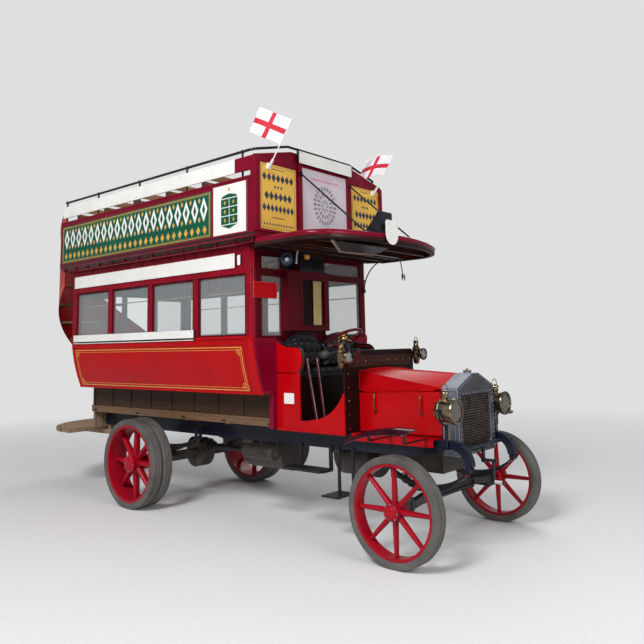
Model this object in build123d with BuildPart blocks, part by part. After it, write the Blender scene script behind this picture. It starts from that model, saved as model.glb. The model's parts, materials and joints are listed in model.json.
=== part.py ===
"""Early open-top double decker motor bus, built as separate pieces on a channel chassis.

Frame: X forward, Y to the bus's left (nearside), Z up, in millimetres.
The origin is on the ground, in the middle of the bus's length and width.
Stations along the bus are measured from the front axle: ahead is positive.
"""
import math
import os

from build123d import *

# Overall reach and wheels
nose_reach = 505.0
wheelbase = 3556.0
front_tyre_radius = 438.0
front_rim_radius = 379.0
front_tyre_width = 125.0
front_tyre_face = 968.0
rear_tyre_radius = 492.0
rear_rim_radius = 427.0
twin_tyre_width = 122.0
twin_gap = 14.0
rear_tyre_face = 1046.0
spoke_count = 8

# Chassis
rail_top = 950.0
rail_depth = 165.0
rail_face = 430.0
rail_flange = 60.0
plate = 8.0
rail_tail = 5000.0
dumb_iron_start = 250.0
dumb_iron_radius = 200.0
dumb_iron_depth = 70.0
spring_half_span = 425.0
spring_eye_height = 722.0
spring_width = 50.0
spring_centre = 415.0
leaf = 10.0
front_leaf_count = 6
rear_leaf_count = 9
rear_spring_half_span = 600.0
rear_spring_centre = 520.0
rear_spring_eye_height = 760.0
pin_radius = 10.0
running_fit = 0.3
kingpin_track = 690.0
kingpin_radius = 16.0
pin_clearance = 0.5
swivel_clearance = 2.0
steering_arm = 170.0

# Bonnet, radiator and dash
dash_front = 750.0
dash_thickness = 22.0
dash_half_width = 580.0
dash_top = 1710.0
radiator_rear = 130.0
radiator_depth = 160.0
radiator_half_width = 330.0
radiator_bottom = 805.0
radiator_shoulder = 1385.0
radiator_apex = 1500.0
radiator_flat_half = 60.0
filler_radius = 34.0
filler_rise = 14.0
bonnet_sheet = 4.0
bonnet_bottom = 965.0
bonnet_rear_half_width = 370.0
bonnet_front_half_width = 334.0
bonnet_hinge_rear = 1330.0
bonnet_hinge_front = 1360.0
bonnet_rear_shoulder = 1525.0
bonnet_rear_ridge = 1540.0
bonnet_shy = 10.0
ledge_reach = 500.0
ledge_drop = 62.0
seam = 5.5
hinge_gap = 9.0
hinge_barrel = 6.5
hinge_pin = 3.0
hinge_bite = 3.8

# Cab
bulkhead_front = 1615.0
bulkhead_thickness = 35.0
cab_side_face = 600.0
cab_side_thickness = 20.0
cab_floor_bottom = 952.0
cab_floor_thickness = 26.0
seat_front = 1306.0
seat_height = 1450.0
steering_wheel_radius = 205.0
steering_wheel_station = -1000.0
steering_wheel_side = -270.0
steering_wheel_height = 1840.0
steering_rake = 25.0

# Saloon
saloon_rear = 5040.0
floor_top = 1052.0
floor_thickness = 30.0
lower_wall_face = 600.0
wall = 25.0
side_bottom = 1298.0
side_bottom_half_width = 790.0
waist = 1865.0
waist_half_width = 930.0
window_head = 2525.0
post_width = 80.0
corner_post_width = 100.0
corner_round = 28.0
post_depth = 40.0
bay_count = 4
upper_floor_bottom = 2800.0
upper_floor_thickness = 100.0
glass = 6.0

# Upper deck
deck_front = 1440.0
deck_half_width = 1060.0
deck_rear = 5150.0
deck_panel = 25.0
rail_height = 3735.0
rail_over_panel = 295.0
deck_panel_top = rail_height - rail_over_panel
rail_rise = 126.0
rail_rise_half = 520.0
tube = 14.0
canopy_nose = 400.0
canopy_shoulder = 560.0
canopy_crown = 30.0
canopy_shoulder_half = 800.0
canopy_setback = 10.0
canopy_half = deck_half_width - canopy_setback
canopy_bottom = 2738.0
seat_rows = 5
row_pitch = 640.0
first_row = 2150.0

# Rear platform and stairs
platform_height = 760.0
stair_outer = 930.0
stair_centre = 5150.0
tread_count = 8
stair_start_angle = 112.0
stair_step_angle = 19.0
tread_thickness = 30.0
stair_sheet = 12.0

tail_reach = stair_centre + stair_outer + stair_sheet
front_axle = (tail_reach - nose_reach) / 2
rear_axle = front_axle - wheelbase
front_hub = front_tyre_radius
rear_hub = rear_tyre_radius
upper_floor_top = upper_floor_bottom + upper_floor_thickness
rail_bottom = rail_top - rail_depth
SIDES = ((-1, "offside"), (1, "nearside"))


def at(station):
    """X of a place measured from the front axle, ahead positive."""
    return front_axle + station


def keep(builder, name):
    """Labels a finished piece and writes it as its own STEP file."""
    builder.part.label = name
    export_step(builder.part, f"parts/{name}.step")


def cross_plane(y):
    """Side-view plane at y: local x is X, local y is Z, normal towards -Y."""
    return Plane(origin=(0, y, 0), x_dir=(1, 0, 0), z_dir=(0, -1, 0))


def end_plane(x):
    """End-view plane at x: local x is Y, local y is Z, normal towards +X."""
    return Plane(origin=(x, 0, 0), x_dir=(0, 1, 0), z_dir=(1, 0, 0))


os.makedirs("parts", exist_ok=True)

front_eye_station = dumb_iron_start + dumb_iron_radius - dumb_iron_depth / 2
cross_members = (-1250, -1780, -2950, -4150, -4940)
cheek_gap = spring_width / 2 + plate / 2 + 1
outrigger_z = rail_bottom + 60
outrigger = rear_spring_centre - rail_face + cheek_gap + plate / 2

# Chassis frame: channel rails that taper into dumb irons, with cross members
with BuildPart() as chassis_frame:
    for side in (-1, 1):
        with BuildSketch(cross_plane(side * rail_face)):
            with BuildLine():
                Line((at(-rail_tail), rail_bottom), (at(-rail_tail), rail_top))
                Line((at(-rail_tail), rail_top), (at(dumb_iron_start), rail_top))
                RadiusArc(
                    (at(dumb_iron_start), rail_top),
                    (at(dumb_iron_start + dumb_iron_radius), rail_top - dumb_iron_radius),
                    dumb_iron_radius,
                )
                Line(
                    (at(dumb_iron_start + dumb_iron_radius), rail_top - dumb_iron_radius),
                    (at(dumb_iron_start + dumb_iron_radius - dumb_iron_depth), rail_top - dumb_iron_radius),
                )
                RadiusArc(
                    (at(dumb_iron_start + dumb_iron_radius - dumb_iron_depth), rail_top - dumb_iron_radius),
                    (at(dumb_iron_start), rail_top - dumb_iron_depth),
                    dumb_iron_depth - dumb_iron_radius,
                )
                Line((at(dumb_iron_start), rail_top - dumb_iron_depth), (at(-150), rail_bottom))
                Line((at(-150), rail_bottom), (at(-rail_tail), rail_bottom))
            make_face()
        extrude(amount=side * rail_flange)
        with BuildSketch(cross_plane(side * (rail_face - plate))):
            with Locations((at(-(rail_tail + 80) / 2), (rail_bottom + rail_top) / 2)):
                Rectangle(rail_tail - 80, rail_depth - 2 * plate)
        extrude(amount=side * rail_flange, mode=Mode.SUBTRACT)
    inner = 2 * (rail_face - plate)
    with Locations(*[(at(station), 0, rail_top - plate - 60) for station in cross_members]):
        Box(60, inner, 120)
    with Locations((at(dumb_iron_start + 80), 0, rail_top - 75)):
        Cylinder(18, 2 * (rail_face - rail_flange) + 8, rotation=(90, 0, 0))
    eye_rows = (
        (front_eye_station, spring_centre, spring_eye_height, rail_top - dumb_iron_radius + 4),
        (-spring_half_span, spring_centre, spring_eye_height, rail_bottom),
        (-wheelbase + rear_spring_half_span, rear_spring_centre, rear_spring_eye_height, outrigger_z),
        (-wheelbase - rear_spring_half_span, rear_spring_centre, rear_spring_eye_height, outrigger_z),
    )
    with Locations(*[(at(-wheelbase + end * rear_spring_half_span), side * (rail_face + outrigger / 2),
            outrigger_z)
                     for side in (-1, 1) for end in (-1, 1)]):
        Box(52, outrigger, 50)
    for station, centre, eye_z, top in eye_rows:
        for y in [side * centre + cheek * cheek_gap for side in (-1, 1) for cheek in (-1, 1)]:
            with BuildSketch(cross_plane(y + plate / 2)):
                with Locations((at(station), eye_z)):
                    Circle(26)
                with Locations((at(station), (top + eye_z) / 2)):
                    Rectangle(52, top - eye_z)
            extrude(amount=plate)
        with Locations(*[(at(station), side * centre, eye_z) for side in (-1, 1)]):
            Cylinder(pin_radius, 2 * cheek_gap, rotation=(90, 0, 0))
keep(chassis_frame, "chassis_frame")


def leaf_spring(station, y, half_span, eye_z, seat_z, count):
    """One semi-elliptic spring: leaves of falling length on one centre, with a rolled eye at each end."""
    top = seat_z + count * leaf
    rise = eye_z - 20 - (top - leaf)
    radius = (half_span**2 + rise**2) / (2 * rise)
    centre_z = top - leaf + radius
    with BuildPart() as spring:
        with BuildSketch(cross_plane(y + spring_width / 2)):
            for i in range(count):
                reach = math.asin(half_span * (1 - i / (count + 0.6)) / radius)
                inner_r = radius - leaf + i * leaf
                outer_r = radius + i * leaf
                with BuildLine():
                    for r, turn in ((inner_r, 1), (outer_r, 1)):
                        ThreePointArc(
                            (at(station) - r * math.sin(reach), centre_z - r * math.cos(reach)),
                            (at(station), centre_z - r),
                            (at(station) + r * math.sin(reach), centre_z - r * math.cos(reach)),
                        )
                    for s in (-1, 1):
                        Line(
                            (at(station) + s * inner_r * math.sin(reach),
                                    centre_z - inner_r * math.cos(reach)),
                            (at(station) + s * outer_r * math.sin(reach),
                                    centre_z - outer_r * math.cos(reach)),
                        )
                make_face()
            with Locations(*[(at(station) + s * half_span, eye_z) for s in (-1, 1)]):
                Circle(20.5)
            with Locations(*[(at(station) + s * half_span, eye_z) for s in (-1, 1)]):
                Circle(pin_radius + running_fit, mode=Mode.SUBTRACT)
        extrude(amount=spring_width)
    return spring.part


axle_pad = 505.0
rear_pad = rear_hub + 70.0
with BuildPart() as springs:
    for side in (-1, 1):
        add(leaf_spring((front_eye_station - spring_half_span) / 2, side * spring_centre,
                        (front_eye_station + spring_half_span) / 2, spring_eye_height, axle_pad,
                        front_leaf_count))
        add(leaf_spring(-wheelbase, side * rear_spring_centre, rear_spring_half_span,
                        rear_spring_eye_height, rear_pad, rear_leaf_count))
keep(springs, "springs")

# Front axle: a forged beam with a pad under each spring and an eye for each kingpin
boss_radius = 36.0
boss_height = 84.0
with BuildPart() as front_axle_beam:
    with BuildSketch(end_plane(at(-25))):
        with BuildLine():
            Polyline(
                (-kingpin_track, front_hub + 30), (-(spring_centre + 60), axle_pad),
                (spring_centre + 60, axle_pad),
                (kingpin_track, front_hub + 30), (kingpin_track, front_hub - 30),
                (spring_centre + 40, axle_pad - 70),
                (-(spring_centre + 40), axle_pad - 70), (-kingpin_track, front_hub - 30), close=True,
            )
        make_face()
    extrude(amount=50)
    for face_x in (at(-25), at(25)):
        with BuildSketch(end_plane(face_x)):
            with Locations((0, axle_pad - 35)):
                Rectangle(2 * spring_centre - 90, 42)
        extrude(amount=-16 if face_x > at(0) else 16, mode=Mode.SUBTRACT)
    with Locations(*[(at(0), side * kingpin_track, front_hub) for side in (-1, 1)]):
        Cylinder(boss_radius, boss_height)
    with Locations(*[(at(0), side * kingpin_track, front_hub) for side in (-1, 1)]):
        Cylinder(kingpin_radius + pin_clearance, boss_height + 60, mode=Mode.SUBTRACT)
keep(front_axle_beam, "front_axle_beam")

# Knuckles: a fork round the axle eye, the kingpin, the stub axle and the arm of the track rod
stub_radius = 24.0
hub_bore = stub_radius + pin_clearance
stub_end = 965.0
lug = 22.0
for side, word in SIDES:
    with BuildPart() as knuckle:
        y_pin = side * kingpin_track
        for level in (-1, 1):
            z = front_hub + level * (boss_height / 2 + swivel_clearance + lug / 2)
            with Locations((at(0), y_pin, z)):
                Cylinder(boss_radius, lug)
            with Locations((at(0), y_pin + side * (boss_radius + 14), z)):
                Box(60, 2 * boss_radius, lug)
        with Locations((at(0), y_pin, front_hub)):
            Cylinder(kingpin_radius, boss_height + 2 * lug)
        with Locations((at(0), y_pin + side * (boss_radius + 27), front_hub)):
            Box(60, 46, boss_height + 2 * swivel_clearance)
        stub_start = kingpin_track + boss_radius + 40
        with Locations((at(0), side * (stub_start + stub_end) / 2, front_hub)):
            Cylinder(stub_radius, stub_end - stub_start, rotation=(90, 0, 0))
        arm_z = front_hub - boss_height / 2 - swivel_clearance - lug / 2
        with Locations((at(-steering_arm / 2), y_pin, arm_z)):
            Box(steering_arm, 34, lug)
        with Locations((at(-steering_arm), y_pin, arm_z)):
            Cylinder(17, lug)
        with Locations((at(-steering_arm), y_pin, arm_z - lug / 2 - 15)):
            Cylinder(8, 34)
    keep(knuckle, f"knuckle_{word}")

rod_z = front_hub - boss_height / 2 - swivel_clearance - lug - 16
with BuildPart() as track_rod:
    with Locations((at(-steering_arm), 0, rod_z)):
        Cylinder(11, 2 * kingpin_track - 20, rotation=(90, 0, 0))
    with Locations(*[(at(-steering_arm), side * kingpin_track, rod_z) for side in (-1, 1)]):
        Cylinder(19, 26)
    with Locations(*[(at(-steering_arm), side * kingpin_track, rod_z) for side in (-1, 1)]):
        Cylinder(8 + pin_clearance, 40, mode=Mode.SUBTRACT)
keep(track_rod, "track_rod")

# Rear axle: worm casing in the middle and a tube out to each hub
rear_stub_end = 1010.0
rear_stub_radius = 40.0
with BuildPart() as rear_axle_case:
    with Locations((rear_axle, 0, rear_hub)):
        Cylinder(58, 2 * 740, rotation=(90, 0, 0))
        Cylinder(rear_stub_radius, 2 * rear_stub_end, rotation=(90, 0, 0))
        Cylinder(170, 170, rotation=(90, 0, 0))
    with Locations((rear_axle + 20, 0, rear_hub + 90)):
        Cylinder(85, 330, rotation=(0, 90, 0))
    with Locations(*[(rear_axle, side * rear_spring_centre, rear_pad - 40) for side in (-1, 1)]):
        Box(110, spring_width + 10, 80)
keep(rear_axle_case, "rear_axle")


def tyre_ring(x, z, face_y, width, side, outer, inner, shoulder):
    """A solid rubber tyre as a revolved band with rounded shoulders."""
    with BuildPart() as ring:
        with BuildSketch(Plane(origin=(x, 0, z), x_dir=(0, 1, 0), z_dir=(1, 0, 0))):
            with Locations((side * (face_y - width / 2), (outer + inner) / 2)):
                Rectangle(width, outer - inner)
        revolve(axis=Axis((x, 0, z), (0, 1, 0)))
        edges = ring.edges().filter_by(GeomType.CIRCLE).group_by(SortBy.RADIUS)[-1]
        chamfer(edges, length=shoulder, length2=shoulder * 0.55)
    return ring.part


def spoked_wheel(x, z, side, rim, rim_band, rim_face, rim_width, hub_radius, hub_in, hub_out, root, tip,
        spoke_out):
    """A cast wheel: rim band with a lip, hub with a domed cap and tapered spokes."""
    with BuildPart() as wheel:
        with BuildSketch(Plane(origin=(x, 0, z), x_dir=(0, 1, 0), z_dir=(1, 0, 0))):
            with Locations((side * (rim_face - rim_width / 2), rim - rim_band / 2)):
                Rectangle(rim_width, rim_band)
            with Locations((side * (hub_in + hub_out) / 2, hub_radius / 2)):
                Rectangle(hub_out - hub_in, hub_radius)
            with Locations((side * (hub_out + 12), hub_radius * 0.35)):
                Rectangle(24, hub_radius * 0.7)
        revolve(axis=Axis((x, 0, z), (0, 1, 0)))
        for i in range(spoke_count):
            turn = 360 * i / spoke_count
            direction = Vector(math.cos(math.radians(turn)), 0, math.sin(math.radians(turn)))
            inner_plane = Plane(
                origin=Vector(x, side * spoke_out, z) + direction * (hub_radius - 8), x_dir=(0, 1, 0),
                z_dir=direction
            )
            outer_plane = Plane(
                origin=Vector(x, side * (rim_face - rim_width / 2), z) + direction * (rim - rim_band + 4),
                x_dir=(0, 1, 0),
                z_dir=direction,
            )
            with BuildSketch(inner_plane):
                Ellipse(root[0] / 2, root[1] / 2)
            with BuildSketch(outer_plane):
                Ellipse(tip[0] / 2, tip[1] / 2)
            loft()
        return wheel


for side, word in SIDES:
    wheel = spoked_wheel(at(0), front_hub, side, front_rim_radius, 26.0, front_tyre_face - 10, 104.0,
                         62.0, 812.0, 975.0, (62.0, 50.0), (46.0, 34.0), 905.0)
    with wheel:
        with Locations((at(0), side * (812 + 975) / 2 - side * 5, front_hub)):
            Cylinder(hub_bore, 975 - 812 + 10, rotation=(90, 0, 0), mode=Mode.SUBTRACT)
    keep(wheel, f"front_wheel_{word}")
    with BuildPart() as tyre:
        add(tyre_ring(at(0), front_hub, front_tyre_face, front_tyre_width, side,
                      front_tyre_radius, front_rim_radius, 16.0))
    keep(tyre, f"front_tyre_{word}")

twin_width = 2 * twin_tyre_width + twin_gap
for side, word in SIDES:
    wheel = spoked_wheel(rear_axle, rear_hub, side, rear_rim_radius, 28.0, rear_tyre_face - 8,
            twin_width - 16,
                         88.0, 800.0, 1018.0, (90.0, 66.0), (66.0, 46.0), 930.0)
    with wheel:
        with Locations((rear_axle, side * (800 + 1018) / 2 - side * 5, rear_hub)):
            Cylinder(rear_stub_radius + pin_clearance, 1018 - 800 + 10, rotation=(90, 0, 0),
                    mode=Mode.SUBTRACT)
    keep(wheel, f"rear_wheel_{word}")
    with BuildPart() as tyres:
        for i in range(2):
            face = rear_tyre_face - i * (twin_tyre_width + twin_gap)
            add(tyre_ring(rear_axle, rear_hub, face, twin_tyre_width, side, rear_tyre_radius,
                    rear_rim_radius, 16.0))
    keep(tyres, f"rear_tyres_{word}")

# Engine, generator, traction motor, shaft and silencer
with BuildPart() as engine_block:
    with Locations((at(-290), 0, 930)):
        Box(640, 380, 620)
keep(engine_block, "engine_block")

motor_station = -2250.0
shaft_front = motor_station - 310.0
shaft_rear = -wheelbase + 185.0
with BuildPart() as electric_drive:
    with Locations((at(-1000), 0, 690)):
        Cylinder(215, 420, rotation=(0, 90, 0))
    with Locations((at(-700), 0, 690)):
        Cylinder(60, 180, rotation=(0, 90, 0))
    with Locations((at(-1000), 0, rail_bottom - 20)):
        Box(120, 2 * rail_face - 20, 40)
    with Locations((at(motor_station), 0, 660)):
        Cylinder(235, 620, rotation=(0, 90, 0))
    with Locations((at(motor_station), 0, rail_bottom - 20)):
        Box(160, 2 * rail_face - 20, 40)
    with Locations((at((shaft_front + shaft_rear) / 2), 0, rear_hub + 90)):
        Cylinder(32, shaft_front - shaft_rear, rotation=(0, 90, 0))
    for station in (shaft_front - 45, shaft_rear + 45):
        with Locations((at(station), 0, rear_hub + 90)):
            Cylinder(58, 60, rotation=(0, 90, 0))
keep(electric_drive, "electric_drive")

with BuildPart() as silencer:
    with Locations((at(-1900), -560, 690)):
        Cylinder(62, 420, rotation=(0, 90, 0))
        Cylinder(30, 520, rotation=(0, 90, 0))
    for station in (-1780, -2020):
        with Locations((at(station), -(rail_face + 65), 735)):
            Box(24, 130, 24)
        with Locations((at(station), -(rail_face + 4), 775)):
            Box(24, 8, 60)
keep(silencer, "silencer")

# Starting handle: shaft in a bush under the radiator, arm and grip
handle_z = 745.0
with BuildPart() as starting_handle:
    with Locations((at(375), 0, handle_z)):
        Cylinder(13, 110, rotation=(0, 90, 0))
    with Locations((at(422), 0, handle_z - 90)):
        Box(16, 30, 200)
    with Locations((at(422 + 41), 0, handle_z - 180)):
        Cylinder(14, 84, rotation=(0, 90, 0))
    with Locations((at(330), 0, handle_z)):
        Cylinder(24, 24, rotation=(0, 90, 0))
    with Locations((at(330), 0, (handle_z + rail_top - 93) / 2)):
        Box(20, 30, rail_top - 93 - handle_z)
keep(starting_handle, "starting_handle")

# Radiator: a bolted shell with a gabled top tank, and a finned core set in it
core_half_width = 270.0
core_bottom = 835.0
core_top = 1315.0
core_cut = 70.0
shell_wall = 22.0


def gable(half_width, bottom, shoulder, apex, flat_half):
    """End-view outline with upright sides and a straight-sided gable with a flat apex."""
    with BuildLine() as outline:
        Polyline((-half_width, shoulder), (-half_width, bottom), (half_width, bottom),
                (half_width, shoulder),
                 (flat_half, apex), (-flat_half, apex), close=True)
    return outline.line


def core_outline():
    """End-view outline of the core and its opening, cut across both lower corners."""
    with BuildLine() as outline:
        Polyline((-core_half_width, core_top), (-core_half_width, core_bottom + core_cut),
                 (-core_half_width + core_cut, core_bottom), (core_half_width - core_cut, core_bottom),
                 (core_half_width, core_bottom + core_cut), (core_half_width, core_top), close=True)
    return outline.line


with BuildPart() as radiator_shell:
    with BuildSketch(end_plane(at(radiator_rear))):
        add(gable(radiator_half_width, radiator_bottom, radiator_shoulder, radiator_apex,
                radiator_flat_half))
        make_face()
    extrude(amount=radiator_depth)
    fillet(radiator_shell.faces().sort_by(Axis.X)[-1].edges().sort_by(Axis.Z)[1:], 8)
    with BuildSketch(end_plane(at(radiator_rear))):
        add(core_outline())
        make_face()
    extrude(amount=radiator_depth, mode=Mode.SUBTRACT)
    with Locations((at(radiator_rear + radiator_depth / 2), 0, radiator_apex)):
        Cylinder(filler_radius, 2 * filler_rise)
    for side in (-1, 1):
        with Locations((at(radiator_rear + radiator_depth / 2), side * (radiator_half_width + 19),
                rail_top - 30)):
            Box(60, 38, 30)
keep(radiator_shell, "radiator_shell")

fin_count = 22
core_height = core_top - core_bottom
with BuildPart() as radiator_core:
    core_face = end_plane(at(radiator_rear + 115))
    with BuildSketch(core_face.offset(-90)):
        add(core_outline())
        make_face()
    extrude(amount=90)
    with BuildSketch(core_face):
        with Locations((0, (core_bottom + core_top) / 2)):
            with GridLocations(0, core_height / fin_count, 1, fin_count):
                Rectangle(2 * core_half_width, 6)
        with BuildSketch(mode=Mode.INTERSECT):
            add(core_outline())
            make_face()
    extrude(amount=14)
keep(radiator_core, "radiator_core")

# Bonnet: a fixed top and two sides that fold up on their top hinges
bonnet_front = radiator_rear
hinge_rise = bonnet_hinge_front - bonnet_hinge_rear


def bonnet_half(station):
    """Half width of the bonnet side's outer face at a station."""
    t = (station + dash_front) / (bonnet_front + dash_front)
    return bonnet_rear_half_width + t * (bonnet_front_half_width - bonnet_rear_half_width)


def bonnet_hinge(station):
    """Height of the hinge line at a station."""
    return bonnet_hinge_rear + hinge_rise * (station + dash_front) / (bonnet_front + dash_front)


def bonnet_section(station, inset, lift):
    """End section of the bonnet top, from edge to edge over the ridge."""
    t = (station + dash_front) / (bonnet_front + dash_front)
    half = bonnet_half(station) - inset
    edge = bonnet_hinge(station) + lift
    shoulder = bonnet_rear_shoulder + t * (radiator_shoulder - bonnet_shy / 2 - bonnet_rear_shoulder) - inset
    ridge = bonnet_rear_ridge + t * (radiator_apex - bonnet_shy - bonnet_rear_ridge) - inset
    flat = radiator_flat_half
    with BuildSketch(end_plane(at(station))) as section:
        with BuildLine():
            Polyline((-half, edge), (-half, shoulder), (-flat, ridge), (flat, ridge), (half, shoulder),
                    (half, edge),
                     close=True)
        make_face()
    return section.sketch


def hinge_barrels(side, spans):
    """Barrels on the hinge line over spans given as stations, with a leaf plate each."""
    with BuildPart() as barrels:
        for low, high in spans:
            start = Vector(at(low), side * (bonnet_half(low) + hinge_barrel - bonnet_sheet),
                    bonnet_hinge(low))
            end = Vector(at(high), side * (bonnet_half(high) + hinge_barrel - bonnet_sheet),
                    bonnet_hinge(high))
            with BuildSketch(Plane(origin=start, z_dir=end - start)):
                Circle(hinge_barrel)
                Circle(hinge_pin + running_fit, mode=Mode.SUBTRACT)
            extrude(amount=(end - start).length)
    return barrels.part


def hinge_leaf(side, low, high, drop, lift):
    """Flat plate in the line of the bonnet side that joins a barrel to its sheet."""
    with BuildPart() as leaf_plate:
        with BuildSketch(Plane.XY.offset(bonnet_hinge(low) + drop)):
            with BuildLine():
                Polyline(
                    (at(low), side * bonnet_half(low)), (at(high), side * bonnet_half(high)),
                    (at(high), side * (bonnet_half(high) - bonnet_sheet)),
                    (at(low), side * (bonnet_half(low) - bonnet_sheet)), close=True,
                )
            make_face()
        extrude(amount=lift - drop)
    return leaf_plate.part


barrel_spans = [(-700.0 + 155.0 * n, -700.0 + 155.0 * n + 148.0) for n in range(5)]
with BuildPart() as bonnet_top:
    loft([bonnet_section(-dash_front, 0, hinge_gap), bonnet_section(bonnet_front, 0, hinge_gap)])
    loft([bonnet_section(-dash_front - 1, bonnet_sheet, hinge_gap - 5),
          bonnet_section(bonnet_front + 1, bonnet_sheet, hinge_gap - 5)], mode=Mode.SUBTRACT)
    for side in (-1, 1):
        for low, high in barrel_spans[::2]:
            add(hinge_leaf(side, low, high, hinge_bite, hinge_gap + 12))
        add(hinge_barrels(side, barrel_spans[::2]))
        start = Vector(at(-700), side * (bonnet_half(-700) + hinge_barrel - bonnet_sheet),
                bonnet_hinge(-700))
        end = Vector(at(barrel_spans[-1][1]), side * (bonnet_half(barrel_spans[-1][1]) + hinge_barrel - bonnet_sheet),
                     bonnet_hinge(barrel_spans[-1][1]))
        with BuildSketch(Plane(origin=start, z_dir=end - start)):
            Circle(hinge_pin)
        extrude(amount=(end - start).length)
        with Locations(start + (end - start) * 0.02, end - (end - start) * 0.02):
            Box(10, 2 * hinge_barrel - 3, 2 * hinge_barrel - 3)
keep(bonnet_top, "bonnet_top")

for side, word in SIDES:
    with BuildPart() as bonnet_side:
        rear_y = side * bonnet_rear_half_width
        front_y = side * bonnet_front_half_width
        with BuildSketch(Plane.XY.offset(bonnet_bottom)):
            with BuildLine():
                Polyline(
                    (at(-dash_front + seam), rear_y), (at(bonnet_front - seam), front_y),
                    (at(bonnet_front - seam), front_y - side * bonnet_sheet),
                    (at(-dash_front + seam), rear_y - side * bonnet_sheet), close=True,
                )
            make_face()
        extrude(amount=bonnet_hinge_front + 20 - bonnet_bottom)
        with BuildSketch(cross_plane(0)):
            with BuildLine():
                Polyline(
                    (at(-dash_front), bonnet_hinge_rear - hinge_gap),
                    (at(bonnet_front), bonnet_hinge_front - hinge_gap),
                    (at(bonnet_front), bonnet_hinge_front + 80), (at(-dash_front), bonnet_hinge_front + 80),
                    close=True,
                )
            make_face()
        extrude(amount=600, both=True, mode=Mode.SUBTRACT)
        for low, high in barrel_spans[1::2]:
            add(hinge_leaf(side, low, high, -hinge_gap - 12, -hinge_bite))
        add(hinge_barrels(side, barrel_spans[1::2]))
        with Locations(*[(at(station), side * (bonnet_half(station) + 8), 1235) for station in (-560,
                -70)]):
            Box(16, 18, 170)
    keep(bonnet_side, f"bonnet_side_{word}")

with BuildPart() as bonnet_ledge:
    ledge_front = 126.0
    for side in (-1, 1):
        with BuildSketch(Plane.XY.offset(rail_top)):
            with BuildLine():
                Polyline(
                    (at(-dash_front), side * (rail_face - rail_flange)),
                    (at(-dash_front), side * ledge_reach),
                    (at(ledge_front), side * ledge_reach),
                    (at(ledge_front), side * (rail_face - rail_flange - 50)),
                    close=True,
                )
            make_face()
        extrude(amount=6)
        with Locations((at((ledge_front - dash_front) / 2), side * (ledge_reach - 3),
                rail_top + 3 - ledge_drop / 2)):
            Box(ledge_front + dash_front, 6, ledge_drop)
keep(bonnet_ledge, "bonnet_ledge")

# Dash: a wide board with a square-cut foot each side of the bonnet
column_pass = 60.0
with BuildPart() as dash_board:
    with BuildSketch(end_plane(at(-dash_front - dash_thickness))) as dash_face:
        with BuildLine():
            Polyline(
                (-dash_half_width, cab_floor_bottom), (dash_half_width, cab_floor_bottom),
                (dash_half_width, dash_top), (-dash_half_width, dash_top), close=True,
            )
        make_face()
        fillet(dash_face.vertices().group_by(Axis.Y)[-1], 30)
    extrude(amount=dash_thickness)
    along = (dash_front + steering_wheel_station + dash_thickness / 2) / math.sin(math.radians(steering_rake))
    pass_z = steering_wheel_height + along * math.cos(math.radians(steering_rake))
    with Locations((at(-dash_front - dash_thickness / 2), steering_wheel_side, pass_z)):
        Box(dash_thickness * 2, column_pass, column_pass * 3, mode=Mode.SUBTRACT)
keep(dash_board, "dash_board")

# Lamps
lamp_y = 462.0
lamp_z = 1200.0
lamp_front = 352.0
with BuildPart() as lamps:
    for side in (-1, 1):
        y = side * lamp_y
        with BuildSketch(Plane(origin=(at(0), y, lamp_z), x_dir=(1, 0, 0), z_dir=(0, -1, 0))):
            with BuildLine():
                Polyline((150, 0), (150, 40), (172, 78), (200, 92), (318, 92), (322, 104),
                        (lamp_front, 104),
                         (lamp_front, 90), (250, 70), (215, 0), (150, 0))
            make_face()
        revolve(axis=Axis((at(0), y, lamp_z), (1, 0, 0)))
        with Locations((at(240), y, lamp_z + 104)):
            Cylinder(30, 36)
        with Locations((at(240), side * (rail_face + 9), lamp_z - 180)):
            Box(18, 18, 240)
        with Locations((at(240), side * (rail_face + 24), lamp_z - 84)):
            Box(18, 48, 20)
    side_lamp_y = 640.0
    side_lamp_z = 1660.0
    for side in (-1, 1):
        y = side * side_lamp_y
        with BuildSketch(Plane(origin=(at(-740), y, 0), x_dir=(1, 0, 0), z_dir=(0, -1, 0))):
            with BuildLine():
                Polyline((0, 1563), (18, 1563), (30, 1575), (30, 1606), (42, 1620), (42, 1694), (25, 1712),
                        (25, 1726),
                         (12, 1740), (0, 1740), close=True)
            make_face()
        revolve(axis=Axis((at(-740), y, 0), (0, 0, 1)))
        with BuildSketch(Plane(origin=(at(-740), y, side_lamp_z), x_dir=(1, 0, 0), z_dir=(0, -1, 0))):
            with BuildLine():
                Polyline((20, 0), (20, 36), (34, 36), (44, 44), (77, 44), (81, 39), (81, 0), close=True)
            make_face()
        revolve(axis=Axis((at(-740), y, side_lamp_z), (1, 0, 0)))
        with Locations((at(-761), side * (dash_half_width + (side_lamp_y - dash_half_width) / 2), 1640)):
            Box(20, side_lamp_y - dash_half_width, 30)
keep(lamps, "lamps")

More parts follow.
